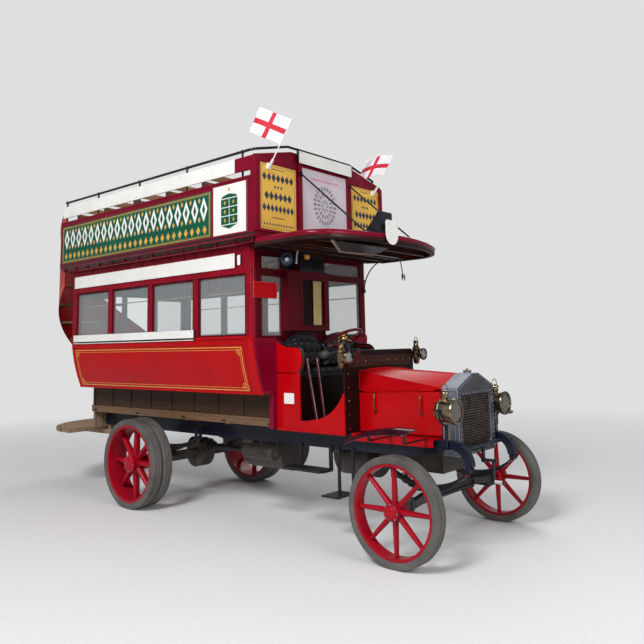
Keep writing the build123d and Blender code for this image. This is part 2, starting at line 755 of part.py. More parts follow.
# Front mudguards: a crowned strip turned about a low axis, rounded at both ends in plan
guard_radius = 1300.0
guard_axis = (60.0, -205.0)
guard_inner = 780.0
guard_outer = 996.0
guard_sheet = 5.0
guard_crown = 46.0
guard_front = 195.0
guard_rear = -440.0
guard_stays = (-300.0, 60.0)
with BuildPart() as front_mudguards:
    for side in (-1, 1):
        with BuildSketch(Plane(origin=(at(guard_axis[0]), 0, guard_axis[1]), x_dir=(0, 1, 0),
                z_dir=(1, 0, 0))):
            with BuildLine():
                for lift in (0, guard_sheet):
                    ThreePointArc(
                        (side * guard_inner, guard_radius - guard_crown * 0.3 - lift),
                        (side * (guard_inner * 0.6 + guard_outer * 0.4), guard_radius - lift),
                        (side * guard_outer, guard_radius - guard_crown - lift),
                    )
                for y, drop in ((guard_inner, guard_crown * 0.3), (guard_outer, guard_crown)):
                    Line((side * y, guard_radius - drop), (side * y, guard_radius - drop - guard_sheet))
            make_face()
        revolve(axis=Axis((at(guard_axis[0]), 0, guard_axis[1]), (0, 1, 0)), revolution_arc=62)
    front_mudguards.part = front_mudguards.part.rotate(
        Axis((at(guard_axis[0]), 0, guard_axis[1]), (0, 1, 0)), -31 - 9)
    with BuildSketch(Plane.XY.offset(700)):
        for side in (-1, 1):
            with BuildLine():
                mid = side * (guard_inner + guard_outer) / 2
                radius = (guard_outer - guard_inner) / 2
                ThreePointArc((at(guard_front - 1.6 * radius), side * guard_inner),
                        (at(guard_front), mid + side * 40),
                              (at(guard_front - 1.6 * radius), side * guard_outer))
                Line((at(guard_front - 1.6 * radius), side * guard_outer),
                        (at(guard_rear), side * guard_outer))
                Line((at(guard_rear), side * guard_outer), (at(guard_rear), side * guard_inner))
                Line((at(guard_rear), side * guard_inner),
                        (at(guard_front - 1.6 * radius), side * guard_inner))
            make_face()
    extrude(amount=600, mode=Mode.INTERSECT)
    for side in (-1, 1):
        for station in guard_stays:
            drop = guard_radius - math.sqrt(guard_radius**2 - (station - guard_axis[0]) ** 2)
            with Locations((at(station), side * (470 + 840) / 2, rail_top + 12)):
                Box(26, 840 - 470, 12)
            top = guard_axis[1] + guard_radius - drop - guard_sheet + 1
            with Locations((at(station), side * 834, (rail_top + 6 + top) / 2)):
                Box(26, 12, top - rail_top - 6)
keep(front_mudguards, "front_mudguards")

# Cab floor, sides and seat
with BuildPart() as cab_floor:
    cab_rear = bulkhead_front
    with BuildSketch(Plane.XY.offset(cab_floor_bottom)):
        with Locations((at(-(dash_front + dash_thickness + cab_rear) / 2), 0)):
            Rectangle(cab_rear - dash_front - dash_thickness, 2 * (cab_side_face - cab_side_thickness))
    extrude(amount=cab_floor_thickness)
    with BuildSketch(Plane.XY.offset(cab_floor_bottom)):
        with Locations((at(-dash_front - dash_thickness - 60), steering_wheel_side)):
            Rectangle(120, 100)
    extrude(amount=cab_floor_thickness, mode=Mode.SUBTRACT)
keep(cab_floor, "cab_floor")


def arm(rise):
    """Height above the ground of a point of the seat arms given above the seat board."""
    return seat_height + rise


with BuildPart() as cab_sides:
    for side in (-1, 1):
        with BuildSketch(cross_plane(side * cab_side_face)):
            with BuildLine():
                Polyline((at(-dash_front), 940), (at(-dash_front), 1325), (at(-dash_front - 12), 1325))
                ThreePointArc((at(-dash_front - 12), 1325), (at(-870), 1180), (at(-1075), 1075))
                Polyline((at(-1075), 1075), (at(-1233), 1050), (at(-seat_front), 1050),
                        (at(-seat_front), arm(65)),
                         (at(-1325), arm(65)))
                ThreePointArc((at(-1325), arm(65)), (at(-1256), arm(170)), (at(-1262), arm(250)))
                ThreePointArc((at(-1262), arm(250)), (at(-1305), arm(305)), (at(-1370), arm(320)))
                ThreePointArc((at(-1370), arm(320)), (at(-1480), arm(326)), (at(-1560), arm(356)))
                Polyline((at(-1560), arm(356)), (at(-bulkhead_front), arm(388)), (at(-bulkhead_front), 940),
                         (at(-dash_front), 940))
            make_face()
        extrude(amount=side * cab_side_thickness)
keep(cab_sides, "cab_sides")

inner_half = cab_side_face - cab_side_thickness
seat_board = 20.0
seat_back = 30.0
seat_back_height = 350.0
with BuildPart() as driver_seat:
    seat_foot = cab_floor_bottom + cab_floor_thickness
    with BuildSketch(cross_plane(inner_half)):
        with BuildLine():
            Polyline(
                (at(-seat_front - 40), seat_foot), (at(-seat_front), seat_height),
                (at(-bulkhead_front), seat_height), (at(-bulkhead_front), seat_height - seat_board),
                (at(-seat_front - seat_board - 2), seat_height - seat_board),
                (at(-seat_front - 40 - seat_board), seat_foot), close=True,
            )
        make_face()
    extrude(amount=2 * inner_half)
    with Locations((at(-bulkhead_front + seat_back / 2), 0, seat_height + seat_back_height / 2)):
        Box(seat_back, 2 * inner_half, seat_back_height)
keep(driver_seat, "driver_seat")

cushion_gap = 0.3
cushion_shy = 6.0
cushion_depth = 85.0
squab_depth = 95.0
squab_clear = 10.0
squab_bottom = seat_height + cushion_depth + squab_clear
with BuildPart() as seat_cushions:
    half = inner_half - cushion_shy
    with BuildSketch(Plane.XY.offset(seat_height + cushion_gap)):
        with Locations((at(-(seat_front + bulkhead_front - seat_back) / 2), 0)):
            Rectangle(bulkhead_front - seat_back - seat_front - 2, 2 * half)
    extrude(amount=cushion_depth)
    fillet(seat_cushions.faces().sort_by(Axis.Z)[-1].edges(), 28)
    for side in (-1, 1):
        with BuildSketch(end_plane(at(-bulkhead_front + seat_back + cushion_gap))):
            with BuildLine():
                Polyline((side * 12, squab_bottom + 215), (side * 12, squab_bottom),
                        (side * half, squab_bottom),
                         (side * half, squab_bottom + 245))
                ThreePointArc((side * half, squab_bottom + 245), (side * half * 0.52, squab_bottom + 360),
                              (side * 12, squab_bottom + 215))
            make_face()
        extrude(amount=squab_depth)
keep(seat_cushions, "seat_cushions")

# Steering column, box and wheel
rake = math.radians(steering_rake)
down = Vector(math.sin(rake), 0, -math.cos(rake))
wheel_centre = Vector(at(steering_wheel_station), steering_wheel_side, steering_wheel_height)
wheel_hub_depth = 24.0
column_plane = Plane(origin=wheel_centre + down * (wheel_hub_depth + running_fit), x_dir=(0, 1, 0),
        z_dir=down)
with BuildPart() as steering_column:
    with BuildSketch(column_plane):
        Circle(24)
    extrude(amount=850)
    with Locations((at(-dash_front - dash_thickness - 5), steering_wheel_side, pass_z + 30)):
        Box(10, column_pass + 50, column_pass * 3 + 40)
    with Locations(wheel_centre + down * 900):
        Box(130, 110, 110)
keep(steering_column, "steering_column")

with BuildPart() as steering_wheel:
    rim_plane = Plane(origin=wheel_centre, x_dir=(0, 1, 0), z_dir=-down)
    with BuildSketch(Plane(origin=wheel_centre, x_dir=(0, 1, 0), z_dir=down.cross(Vector(0, 1, 0)))):
        with Locations((steering_wheel_radius - 14, 0)):
            Circle(14)
    revolve(axis=Axis(wheel_centre, down))
    with BuildSketch(rim_plane.offset(-wheel_hub_depth)):
        Circle(38)
    extrude(amount=wheel_hub_depth + 10)
    for i in range(5):
        turn = math.radians(90 + 72 * i)
        across = rim_plane.x_dir * math.cos(turn) + rim_plane.y_dir * math.sin(turn)
        start = wheel_centre + down * 6 + across * 30
        spoke_plane = Plane(origin=start, x_dir=down, z_dir=across - down * 0.02)
        with BuildSketch(spoke_plane):
            Rectangle(10, 22)
        extrude(amount=steering_wheel_radius - 52)
keep(steering_wheel, "steering_wheel")

with BuildPart() as control_levers:
    for i, (station, lean) in enumerate(((-1190, -60), (-1130, -30))):
        y = -(inner_half - 40 - 45 * i)
        with BuildSketch(cross_plane(y)):
            with BuildLine():
                Polyline(
                    (at(station + 60), cab_floor_bottom + cab_floor_thickness),
                    (at(station + 90), cab_floor_bottom + cab_floor_thickness),
                    (at(station + lean + 24), 1560), (at(station + lean), 1560), close=True,
                )
            make_face()
        extrude(amount=14)
        with Locations((at(station + lean + 12), y - 7, 1600)):
            Cylinder(16, 90)
keep(control_levers, "control_levers")

# Cab steps hung below the frame on both sides
with BuildPart() as cab_steps:
    for side in (-1, 1):
        with Locations((at(-1250), side * 580, 600)):
            Box(480, 170, 26)
        for station in (-1450, -1060):
            with Locations((at(station), side * (rail_face + 8), 700)):
                Box(40, 16, 226)
            with Locations((at(station), side * (rail_face + 75), 580)):
                Box(40, 150, 14)
        for station in (-960, -790):
            with Locations((at(station), side * (rail_face + 8), 600)):
                Box(30, 16, 420)
        with Locations((at(-875), side * (rail_face + 130), 397)):
            Box(200, 260, 14)
keep(cab_steps, "cab_steps")

# Saloon floor, bearers and sills
saloon_front = bulkhead_front + bulkhead_thickness
saloon_length = saloon_rear - saloon_front
saloon_mid = -(saloon_rear + saloon_front) / 2
floor_bottom = floor_top - floor_thickness
bearers = (-1700, -2400, -3100, -4000, -4950)
with BuildPart() as saloon_floor:
    with Locations((at(saloon_mid), 0, (floor_top + floor_bottom) / 2)):
        Box(saloon_length, 2 * lower_wall_face, floor_thickness)
    for station in bearers:
        with Locations((at(station), 0, (floor_bottom + rail_top) / 2)):
            Box(70, 2 * (lower_wall_face - 30), floor_bottom - rail_top)
    for side in (-1, 1):
        with Locations((at(saloon_mid), side * (lower_wall_face + 10), 1012)):
            Box(saloon_length, 20, 84)
keep(saloon_floor, "saloon_floor")


def side_profile(y_bottom, y_waist, bottom, top, bulge):
    """Outer or inner curve of the tumble-under side, bottom to waist."""
    mid = ((y_bottom * 0.38 + y_waist * 0.62) + bulge, bottom + (top - bottom) * 0.5)
    return (y_bottom, bottom), mid, (y_waist, top)


with BuildPart() as saloon_sides:
    for side in (-1, 1):
        low, mid, high = side_profile(side_bottom_half_width, waist_half_width, side_bottom, waist, 8)
        with BuildSketch(end_plane(at(-saloon_rear))):
            with BuildLine():
                Line((side * (lower_wall_face - wall), floor_top), (side * lower_wall_face, floor_top))
                Line((side * lower_wall_face, floor_top), (side * lower_wall_face, side_bottom))
                Line((side * lower_wall_face, side_bottom), (side * low[0], side_bottom))
                ThreePointArc((side * low[0], low[1]), (side * mid[0], mid[1]), (side * high[0], high[1]))
                Line((side * high[0], high[1]), (side * (high[0] - post_depth), high[1]))
                Line((side * (high[0] - post_depth), high[1]),
                        (side * (high[0] - post_depth), high[1] - 70))
                ThreePointArc((side * (high[0] - post_depth), high[1] - 70),
                              (side * (mid[0] - wall), mid[1]), (side * (low[0] - 10), side_bottom + wall))
                Line((side * (low[0] - 10), side_bottom + wall),
                     (side * (lower_wall_face - wall), side_bottom + wall))
                Line((side * (lower_wall_face - wall), side_bottom + wall),
                     (side * (lower_wall_face - wall), floor_top))
            make_face()
        extrude(amount=saloon_rear - bulkhead_front)
keep(saloon_sides, "saloon_sides")

# Window frames: corner posts, window posts and the cant rail over them
bay_pitch = (saloon_rear - bulkhead_front - 2 * corner_post_width + post_width) / bay_count
post_mid = waist_half_width - post_depth / 2
post_stations = [bulkhead_front + corner_post_width + i * bay_pitch - post_width / 2 for i in range(1,
        bay_count)]
with BuildPart() as window_frames:
    for side in (-1, 1):
        for station in post_stations:
            with Locations((at(-station), side * post_mid, (waist + window_head) / 2)):
                Box(post_width, post_depth, window_head - waist)
        for station in (bulkhead_front + corner_post_width / 2, saloon_rear - corner_post_width / 2):
            with Locations((at(-station), side * post_mid, (waist + window_head) / 2)):
                Box(corner_post_width, post_depth, window_head - waist)
        with Locations((at(-(bulkhead_front + saloon_rear) / 2), side * post_mid,
                (window_head + upper_floor_bottom) / 2)):
            Box(saloon_rear - bulkhead_front, post_depth, upper_floor_bottom - window_head)
    outer_corners = window_frames.edges().filter_by(Axis.Z).filter_by(
        lambda e: abs(e.center().X - at(-bulkhead_front)) < 1 and abs(abs(e.center().Y) - waist_half_width) < 1)
    fillet(outer_corners, corner_round)
keep(window_frames, "window_frames")

box_right = 140.0
box_left = 520.0
box_depth = 90.0
box_over_seat = 479.0
box_bottom = seat_height + box_over_seat
box_top = 2560.0
box_middle = (box_right - box_left) / 2
bulk_window_bottom = 1884.0
bulk_window_top = 2488.0
transom_bottom = 2560.0
transom_top = 2690.0
inner_side = waist_half_width - post_depth
door_half = 310.0
door_top = 2500.0
window_margin = 70.0
bulkhead_windows = [
    (left, right, low, high)
    for left, right in ((-(inner_side - 80), -(box_left + 5)), (box_right + 30, inner_side - 80))
    for low, high in ((bulk_window_bottom, bulk_window_top), (transom_bottom, transom_top))
]
bay_edges = [bulkhead_front + corner_post_width]
for station in post_stations:
    bay_edges += [station - post_width / 2, station + post_width / 2]
bay_edges.append(saloon_rear - corner_post_width)
with BuildPart() as window_glass:
    for side in (-1, 1):
        for i in range(bay_count):
            start, end = bay_edges[2 * i], bay_edges[2 * i + 1]
            with Locations((at(-(start + end) / 2), side * post_mid, (waist + window_head) / 2)):
                Box(end - start, glass, window_head - waist)
    for left, right, low, high in bulkhead_windows:
        with Locations((at(-saloon_front + bulkhead_thickness / 2), (left + right) / 2, (low + high) / 2)):
            Box(glass, right - left, high - low)
    for side in (-1, 1):
        with Locations((at(-saloon_rear + bulkhead_thickness / 2), side * (door_half + inner_side) / 2,
                        (waist + door_top) / 2)):
            Box(glass, inner_side - door_half - 2 * window_margin, door_top - waist - window_margin)
keep(window_glass, "window_glass")

# Front bulkhead with two windows and a projecting centre box
with BuildPart() as front_bulkhead:
    with BuildSketch(end_plane(at(-saloon_front))):
        with BuildLine():
            Polyline(
                (-inner_side, upper_floor_bottom), (-inner_side, waist - 70),
                (-(lower_wall_face - wall), side_bottom + wall),
                (-(lower_wall_face - wall), floor_top), (lower_wall_face - wall, floor_top),
                (lower_wall_face - wall, side_bottom + wall), (inner_side, waist - 70),
                (inner_side, upper_floor_bottom),
                close=True,
            )
        make_face()
        for left, right, low, high in bulkhead_windows:
            with Locations(((left + right) / 2, (low + high) / 2)):
                Rectangle(right - left, high - low, mode=Mode.SUBTRACT)
    extrude(amount=bulkhead_thickness)
    with Locations((at(-bulkhead_front + box_depth / 2), box_middle, (box_bottom + box_top) / 2)):
        Box(box_depth, box_right + box_left, box_top - box_bottom)
    with Locations((at(-bulkhead_front + box_depth), box_middle + 75, (1985 + 2470) / 2)):
        Box(50, 350, 485, mode=Mode.SUBTRACT)
    with Locations((at(-bulkhead_front + box_depth - 19), box_middle + 160, (1989 + 2466) / 2)):
        Box(12, 160, 470)
    with Locations((at(-bulkhead_front + box_depth / 2), box_middle - 40,
            (box_top + upper_floor_bottom - 100) / 2)):
        Box(box_depth, 200, upper_floor_bottom - 100 - box_top)
keep(front_bulkhead, "front_bulkhead")

# Rear bulkhead: a panel with a window each side of the doorway, and a header seated on both
with BuildPart() as rear_bulkhead:
    for side in (-1, 1):
        with BuildSketch(end_plane(at(-saloon_rear))):
            with BuildLine():
                Polyline(
                    (side * door_half, floor_top), (side * (lower_wall_face - wall), floor_top),
                    (side * (lower_wall_face - wall), side_bottom + wall), (side * inner_side, waist - 70),
                    (side * inner_side, door_top), (side * door_half, door_top), close=True,
                )
            make_face()
            with Locations((side * (door_half + inner_side) / 2, (waist + door_top) / 2)):
                Rectangle(inner_side - door_half - 2 * window_margin, door_top - waist - window_margin,
                        mode=Mode.SUBTRACT)
        extrude(amount=bulkhead_thickness)
    with BuildSketch(end_plane(at(-saloon_rear))):
        with Locations((0, (door_top + running_fit + upper_floor_bottom) / 2)):
            Rectangle(2 * inner_side, upper_floor_bottom - door_top - running_fit)
    extrude(amount=bulkhead_thickness)
keep(rear_bulkhead, "rear_bulkhead")

bench_front = saloon_front + 60
bench_rear = saloon_rear - bulkhead_thickness - 60
with BuildPart() as saloon_benches:
    for side in (-1, 1):
        with Locations((at(-(bench_front + bench_rear) / 2), side * 575, 1420)):
            Box(bench_rear - bench_front, 290, 40)
        with Locations((at(-(bench_front + bench_rear) / 2), side * 470, (floor_top + 1400) / 2)):
            Box(bench_rear - bench_front, 24, 1400 - floor_top)
        with Locations((at(-(bench_front + bench_rear) / 2), side * 700, (side_bottom + wall + 1400) / 2)):
            Box(bench_rear - bench_front, 30, 1400 - side_bottom - wall)
        with BuildSketch(end_plane(at(-bench_rear))):
            with BuildLine():
                Polyline((side * 720, 1400), (side * 750, 1400), (side * 812, 1780), (side * 782, 1780),
                        close=True)
            make_face()
        extrude(amount=bench_rear - bench_front)
keep(saloon_benches, "saloon_benches")

# Name boards and small plates
post_front = 20.0
board = 14.0
with BuildPart() as sign_boards:
    for side in (-1, 1):
        y = side * (waist_half_width + board / 2)
        with BuildSketch(cross_plane(side * waist_half_width)):
            with Locations((at(-(1860 + saloon_rear - 60) / 2), 2651)):
                Rectangle(saloon_rear - 60 - 1860, 148)
        extrude(amount=-side * board)
        with Locations((at(-1800), y, 2651)):
            Box(46, board, 100)
        with Locations((at(-(2519 + saloon_rear - 60) / 2), y, 1910)):
            Box(saloon_rear - 60 - 2519, board, 110)
    with Locations((at(-bulkhead_front + 8), -765, 2340)):
        Box(16, 330, 162)
    with Locations((at(-1447), -(cab_side_face + 3), 1258)):
        Box(132, 6, 104)
    name_bottom = 3685.0
    with Locations((at(-deck_front) + post_front + 9, 0, name_bottom + 65)):
        Box(18, 918, 130)
keep(sign_boards, "sign_boards")

# Upper floor and canopy
cornice = 60.0
deck_board = 28.0
carline_count = 9
with BuildPart() as upper_floor:
    with BuildSketch(Plane.XY.offset(upper_floor_bottom)):
        with Locations((at(-(deck_front + deck_rear) / 2), 0)):
            Rectangle(deck_rear - deck_front, 2 * deck_half_width)
    extrude(amount=upper_floor_thickness)
    lower = upper_floor.faces().sort_by(Axis.Z)[0].edges().filter_by(Axis.X)
    chamfer(lower, length=50, length2=70)
    with BuildSketch(Plane.XY.offset(upper_floor_bottom)):
        bay = (deck_rear - deck_front - 2 * cornice) / carline_count
        with Locations((at(-(deck_front + deck_rear) / 2), 0)):
            with GridLocations(bay, 0, carline_count, 1):
                Rectangle(bay - 50, 2 * (waist_half_width - post_depth) - 20)
    extrude(amount=upper_floor_thickness - deck_board, mode=Mode.SUBTRACT)
keep(upper_floor, "upper_floor")

canopy_rim = 45.0
canopy_skin = 22.0
canopy_depth = upper_floor_bottom - canopy_bottom
canopy_top = upper_floor_bottom + canopy_crown
nosing_top_radius = 26.0
nosing_bottom_radius = 20.0
nose_bow = canopy_shoulder - canopy_nose
nose_radius = (canopy_shoulder_half**2 + nose_bow**2) / (2 * nose_bow)
elbow_turn = (math.pi / 2 - math.asin(canopy_shoulder_half / nose_radius)) / 2
elbow_radius = (canopy_half - canopy_shoulder_half) / (1 - math.cos(2 * elbow_turn))
canopy_turn = canopy_shoulder + elbow_radius * math.sin(2 * elbow_turn)
canopy_elbow = canopy_turn - elbow_radius * math.sin(elbow_turn)
canopy_elbow_half = canopy_half - elbow_radius * (1 - math.cos(elbow_turn))
with BuildPart() as canopy:
    with BuildSketch(Plane.XY.offset(canopy_bottom)) as canopy_plan:
        with BuildLine():
            Line((at(-bulkhead_front), -waist_half_width), (at(-deck_front), -canopy_half))
            Line((at(-deck_front), -canopy_half), (at(-canopy_turn), -canopy_half))
            ThreePointArc((at(-canopy_turn), -canopy_half), (at(-canopy_elbow), -canopy_elbow_half),
                          (at(-canopy_shoulder), -canopy_shoulder_half))
            ThreePointArc((at(-canopy_shoulder), -canopy_shoulder_half), (at(-canopy_nose), 0),
                          (at(-canopy_shoulder), canopy_shoulder_half))
            ThreePointArc((at(-canopy_shoulder), canopy_shoulder_half),
                    (at(-canopy_elbow), canopy_elbow_half),
                          (at(-canopy_turn), canopy_half))
            Line((at(-canopy_turn), canopy_half), (at(-deck_front), canopy_half))
            Line((at(-deck_front), canopy_half), (at(-bulkhead_front), waist_half_width))
            Line((at(-bulkhead_front), waist_half_width), (at(-bulkhead_front), -waist_half_width))
        make_face()
    extrude(amount=canopy_depth)
    with BuildSketch(Plane.XY.offset(upper_floor_bottom)):
        add(canopy_plan.sketch)
        with Locations((at(-deck_front) - 200, 0)):
            Rectangle(400, 3 * canopy_half, mode=Mode.SUBTRACT)
    extrude(amount=canopy_crown)
    for level, radius in ((canopy_top, nosing_top_radius), (canopy_bottom, nosing_bottom_radius)):
        nose_edges = canopy.edges().filter_by(
            lambda e, z=level: abs(e.center().Z - z) < 1 and e.center().X > at(-deck_front + 20))
        fillet(nose_edges, radius)
    with BuildSketch(Plane.XY.offset(canopy_bottom)) as canopy_hollow:
        offset(canopy_plan.sketch, amount=-canopy_rim)
        with Locations((at(-bulkhead_front), 0)):
            Rectangle(2 * canopy_rim + 40, 2 * waist_half_width, mode=Mode.SUBTRACT)
    extrude(amount=canopy_depth - canopy_skin, mode=Mode.SUBTRACT)
    with BuildSketch(Plane.XY.offset(canopy_bottom)):
        add(canopy_hollow.sketch)
        with Locations((at(-deck_front) - 200 + canopy_skin, 0)):
            Rectangle(400, 3 * canopy_half, mode=Mode.SUBTRACT)
    extrude(amount=canopy_depth + canopy_crown - canopy_skin, mode=Mode.SUBTRACT)
    carlin_depth = canopy_depth + canopy_crown - canopy_skin
    with Locations((at(-1040), 0, canopy_bottom + carlin_depth / 2)):
        Box(60, 2 * (waist_half_width - 60), carlin_depth)
keep(canopy, "canopy")

stay_radius = 9.0
stay_half = 415.0
stay_top = 3570.0
stay_foot = 573.0
indicator_width = 190.0
indicator_height = 220.0
indicator_depth = 200.0
indicator_lid = 34.0
indicator_side = -225.0
indicator_front = 466.0
with BuildPart() as canopy_stays:
    for side in (-1, 1):
        top = Vector(at(-deck_front) + post_front + 16, side * stay_half, stay_top)
        low = Vector(at(-stay_foot), side * stay_half, canopy_top + 14)
        run = low - top
        with BuildSketch(Plane(origin=top, z_dir=run)):
            Circle(stay_radius)
        extrude(amount=run.length)
        with Locations((at(-deck_front) + post_front + 12, side * stay_half, stay_top)):
            Box(24, 30, 44)
        with Locations((at(-stay_foot), side * stay_half, canopy_top + 10)):
            Box(44, 40, 20)
    with BuildSketch(cross_plane(indicator_side - indicator_width / 2)):
        with BuildLine():
            Polyline(
                (at(-indicator_front), canopy_top), (at(-indicator_front), canopy_top + indicator_height),
                (at(-indicator_front - indicator_lid), canopy_top + indicator_height),
                (at(-indicator_front - indicator_depth), canopy_top + indicator_lid),
                (at(-indicator_front - indicator_depth), canopy_top), close=True,
            )
        make_face()
    extrude(amount=-indicator_width)
keep(canopy_stays, "canopy_stays")

# Upper deck panels
stair_gap = -315.0
with BuildPart() as deck_side_panels:
    for side in (-1, 1):
        with Locations((at(-(deck_front + deck_panel + deck_rear) / 2),
                side * (deck_half_width - deck_panel / 2),
                        (upper_floor_top + deck_panel_top) / 2)):
            Box(deck_rear - deck_front - deck_panel, deck_panel, deck_panel_top - upper_floor_top)
    with Locations((at(-deck_rear + deck_panel / 2), (deck_half_width - deck_panel + stair_gap) / 2,
                    (upper_floor_top + deck_panel_top) / 2)):
        Box(deck_panel, deck_half_width - deck_panel - stair_gap, deck_panel_top - upper_floor_top)
keep(deck_side_panels, "deck_side_panels")

panel_corner_top = 3650.0
panel_mid_top = 3775.0
front_post_width = 60.0
front_post_shy = 10.0
mid_post_inset = 110.0
with BuildPart() as deck_front_panel:
    with BuildSketch(end_plane(at(-deck_front - deck_panel))):
        with BuildLine():
            Polyline((-deck_half_width, panel_corner_top), (-deck_half_width, upper_floor_top),
                     (deck_half_width, upper_floor_top), (deck_half_width, panel_corner_top),
                     (rail_rise_half, panel_mid_top), (-rail_rise_half, panel_mid_top), close=True)
        make_face()
    extrude(amount=deck_panel)
    for y, panel_top in (
        (deck_half_width - front_post_width / 2, panel_corner_top),
        (rail_rise_half - mid_post_inset, panel_mid_top),
    ):
        top = panel_top - front_post_shy
        with Locations(*[(at(-deck_front) + post_front / 2, side * y,
                (upper_floor_top + top) / 2) for side in (-1, 1)]):
            Box(post_front, front_post_width, top - upper_floor_top)
keep(deck_front_panel, "deck_front_panel")

# Boards behind the top rail, stanchions and handrail
stanchion_stations = (-1650, -2540, -3430, -4320, -5080)
with BuildPart() as deck_rails:
    y_rail = deck_half_width - 40
    rail_front = at(-deck_front - deck_panel - 30)
    rail_back = at(-deck_rear + 40)
    with BuildLine() as rail_path:
        FilletPolyline(
            (rail_back, -y_rail, rail_height), (rail_front, -y_rail, rail_height),
            (rail_front, -rail_rise_half, rail_height + rail_rise),
            (rail_front, rail_rise_half, rail_height + rail_rise),
            (rail_front, y_rail, rail_height), (rail_back, y_rail, rail_height),
            radius=60,
        )
    with BuildSketch(Plane(origin=(rail_back, -y_rail, rail_height), z_dir=(1, 0, 0))):
        Circle(tube)
    sweep(path=rail_path.wires()[0])
    for side in (-1, 1):
        for station in stanchion_stations:
            with Locations((at(station), side * y_rail, (upper_floor_top + rail_height) / 2)):
                Cylinder(tube - 2, rail_height - upper_floor_top)
keep(deck_rails, "deck_rails")

deck_board_front = 1728.0
deck_board_rear = deck_rear - 40
deck_board_thickness = 18.0
deck_board_depth = 146.0
deck_board_middle = (deck_panel_top + rail_height) / 2 + 2.5
deck_board_inner = deck_half_width - deck_board_thickness
stanchion_face = y_rail + tube - 2
with BuildPart() as deck_boards:
    for side in (-1, 1):
        with Locations((at(-(deck_board_front + deck_board_rear) / 2),
                side * (deck_half_width - deck_board_thickness / 2),
                        deck_board_middle)):
            Box(deck_board_rear - deck_board_front, deck_board_thickness, deck_board_depth)
        for station in stanchion_stations[1:]:
            with Locations((at(station), side * (stanchion_face + deck_board_inner) / 2,
                    deck_board_middle)):
                Box(40, deck_board_inner - stanchion_face, deck_board_depth - 46)
keep(deck_boards, "deck_boards")

gangway_half = 210.0
seat_wall_gap = 65.0
seat_length = deck_half_width - deck_panel - seat_wall_gap - gangway_half
slat_middle = upper_floor_top + 420
slat_width = 70.0
slat_thickness = 18.0
frame_inset = 30.0
frame_thickness = 20.0
slat_under = slat_middle - slat_thickness / 2
with BuildPart() as garden_seat:
    with BuildSketch(cross_plane(seat_length / 2)):
        with Locations(*[(150 - 95 * n, slat_middle) for n in range(4)]):
            Rectangle(slat_width, slat_thickness)
        with Locations(*[(-185 - 12 * n, slat_middle + 100 + 105 * n) for n in range(3)]):
            Rectangle(slat_thickness, slat_width)
    extrude(amount=seat_length)
    for side in (-1, 1):
        with BuildSketch(cross_plane(side * (seat_length / 2 - frame_inset) + frame_thickness / 2)):
            with BuildLine():
                Polyline(
                    (150, upper_floor_top), (185, upper_floor_top), (170, slat_under), (-168, slat_under),
                    (-200, slat_middle + 345), (-225, slat_middle + 345), (-200, slat_middle - 40),
                    (-190, upper_floor_top), (-155, upper_floor_top), (-165, slat_middle - 45),
                    (140, slat_middle - 45), close=True,
                )
            make_face()
        extrude(amount=frame_thickness)
seat_middle = gangway_half + seat_length / 2
with BuildPart() as deck_seats:
    with Locations(*[(at(-(first_row + i * row_pitch)), side * seat_middle, 0) for side in (-1,
            1) for i in range(seat_rows)]):
        add(garden_seat.part)
keep(deck_seats, "deck_seats")

# Flag poles and flags
pole_length = 520.0
pole_radius = 7.0
pole_lean = 37.5
lean = math.radians(pole_lean)
pole_way = Vector(math.sin(lean), 0, math.cos(lean))
pole_half = deck_half_width - 180
pole_foot = panel_corner_top - 90
flag_hoist = 270.0
flag_fly = 400.0
with BuildPart() as flag_poles:
    for side in (-1, 1):
        foot = Vector(at(-deck_front + 30), side * pole_half, pole_foot)
        with BuildSketch(Plane(origin=foot, z_dir=pole_way)):
            Circle(pole_radius)
        extrude(amount=pole_length)
        with Locations((at(-deck_front + 15), side * pole_half, pole_foot + 10)):
            Box(30, 34, 60)
keep(flag_poles, "flag_poles")

fly_way = Vector(-0.78, -0.38, 0.50).normalized()
with BuildPart() as flags:
    for side in (-1, 1):
        foot = Vector(at(-deck_front + 30), side * pole_half, pole_foot)
        low = foot + pole_way * (pole_length - flag_hoist - 4) + fly_way * (pole_radius + running_fit)
        flag_plane = Plane(origin=low, x_dir=fly_way, z_dir=fly_way.cross(pole_way))
        with BuildSketch(flag_plane):
            with Locations((flag_fly / 2, flag_hoist / 2)):
                Rectangle(flag_fly, flag_hoist)
        extrude(amount=3)
keep(flags, "flags")

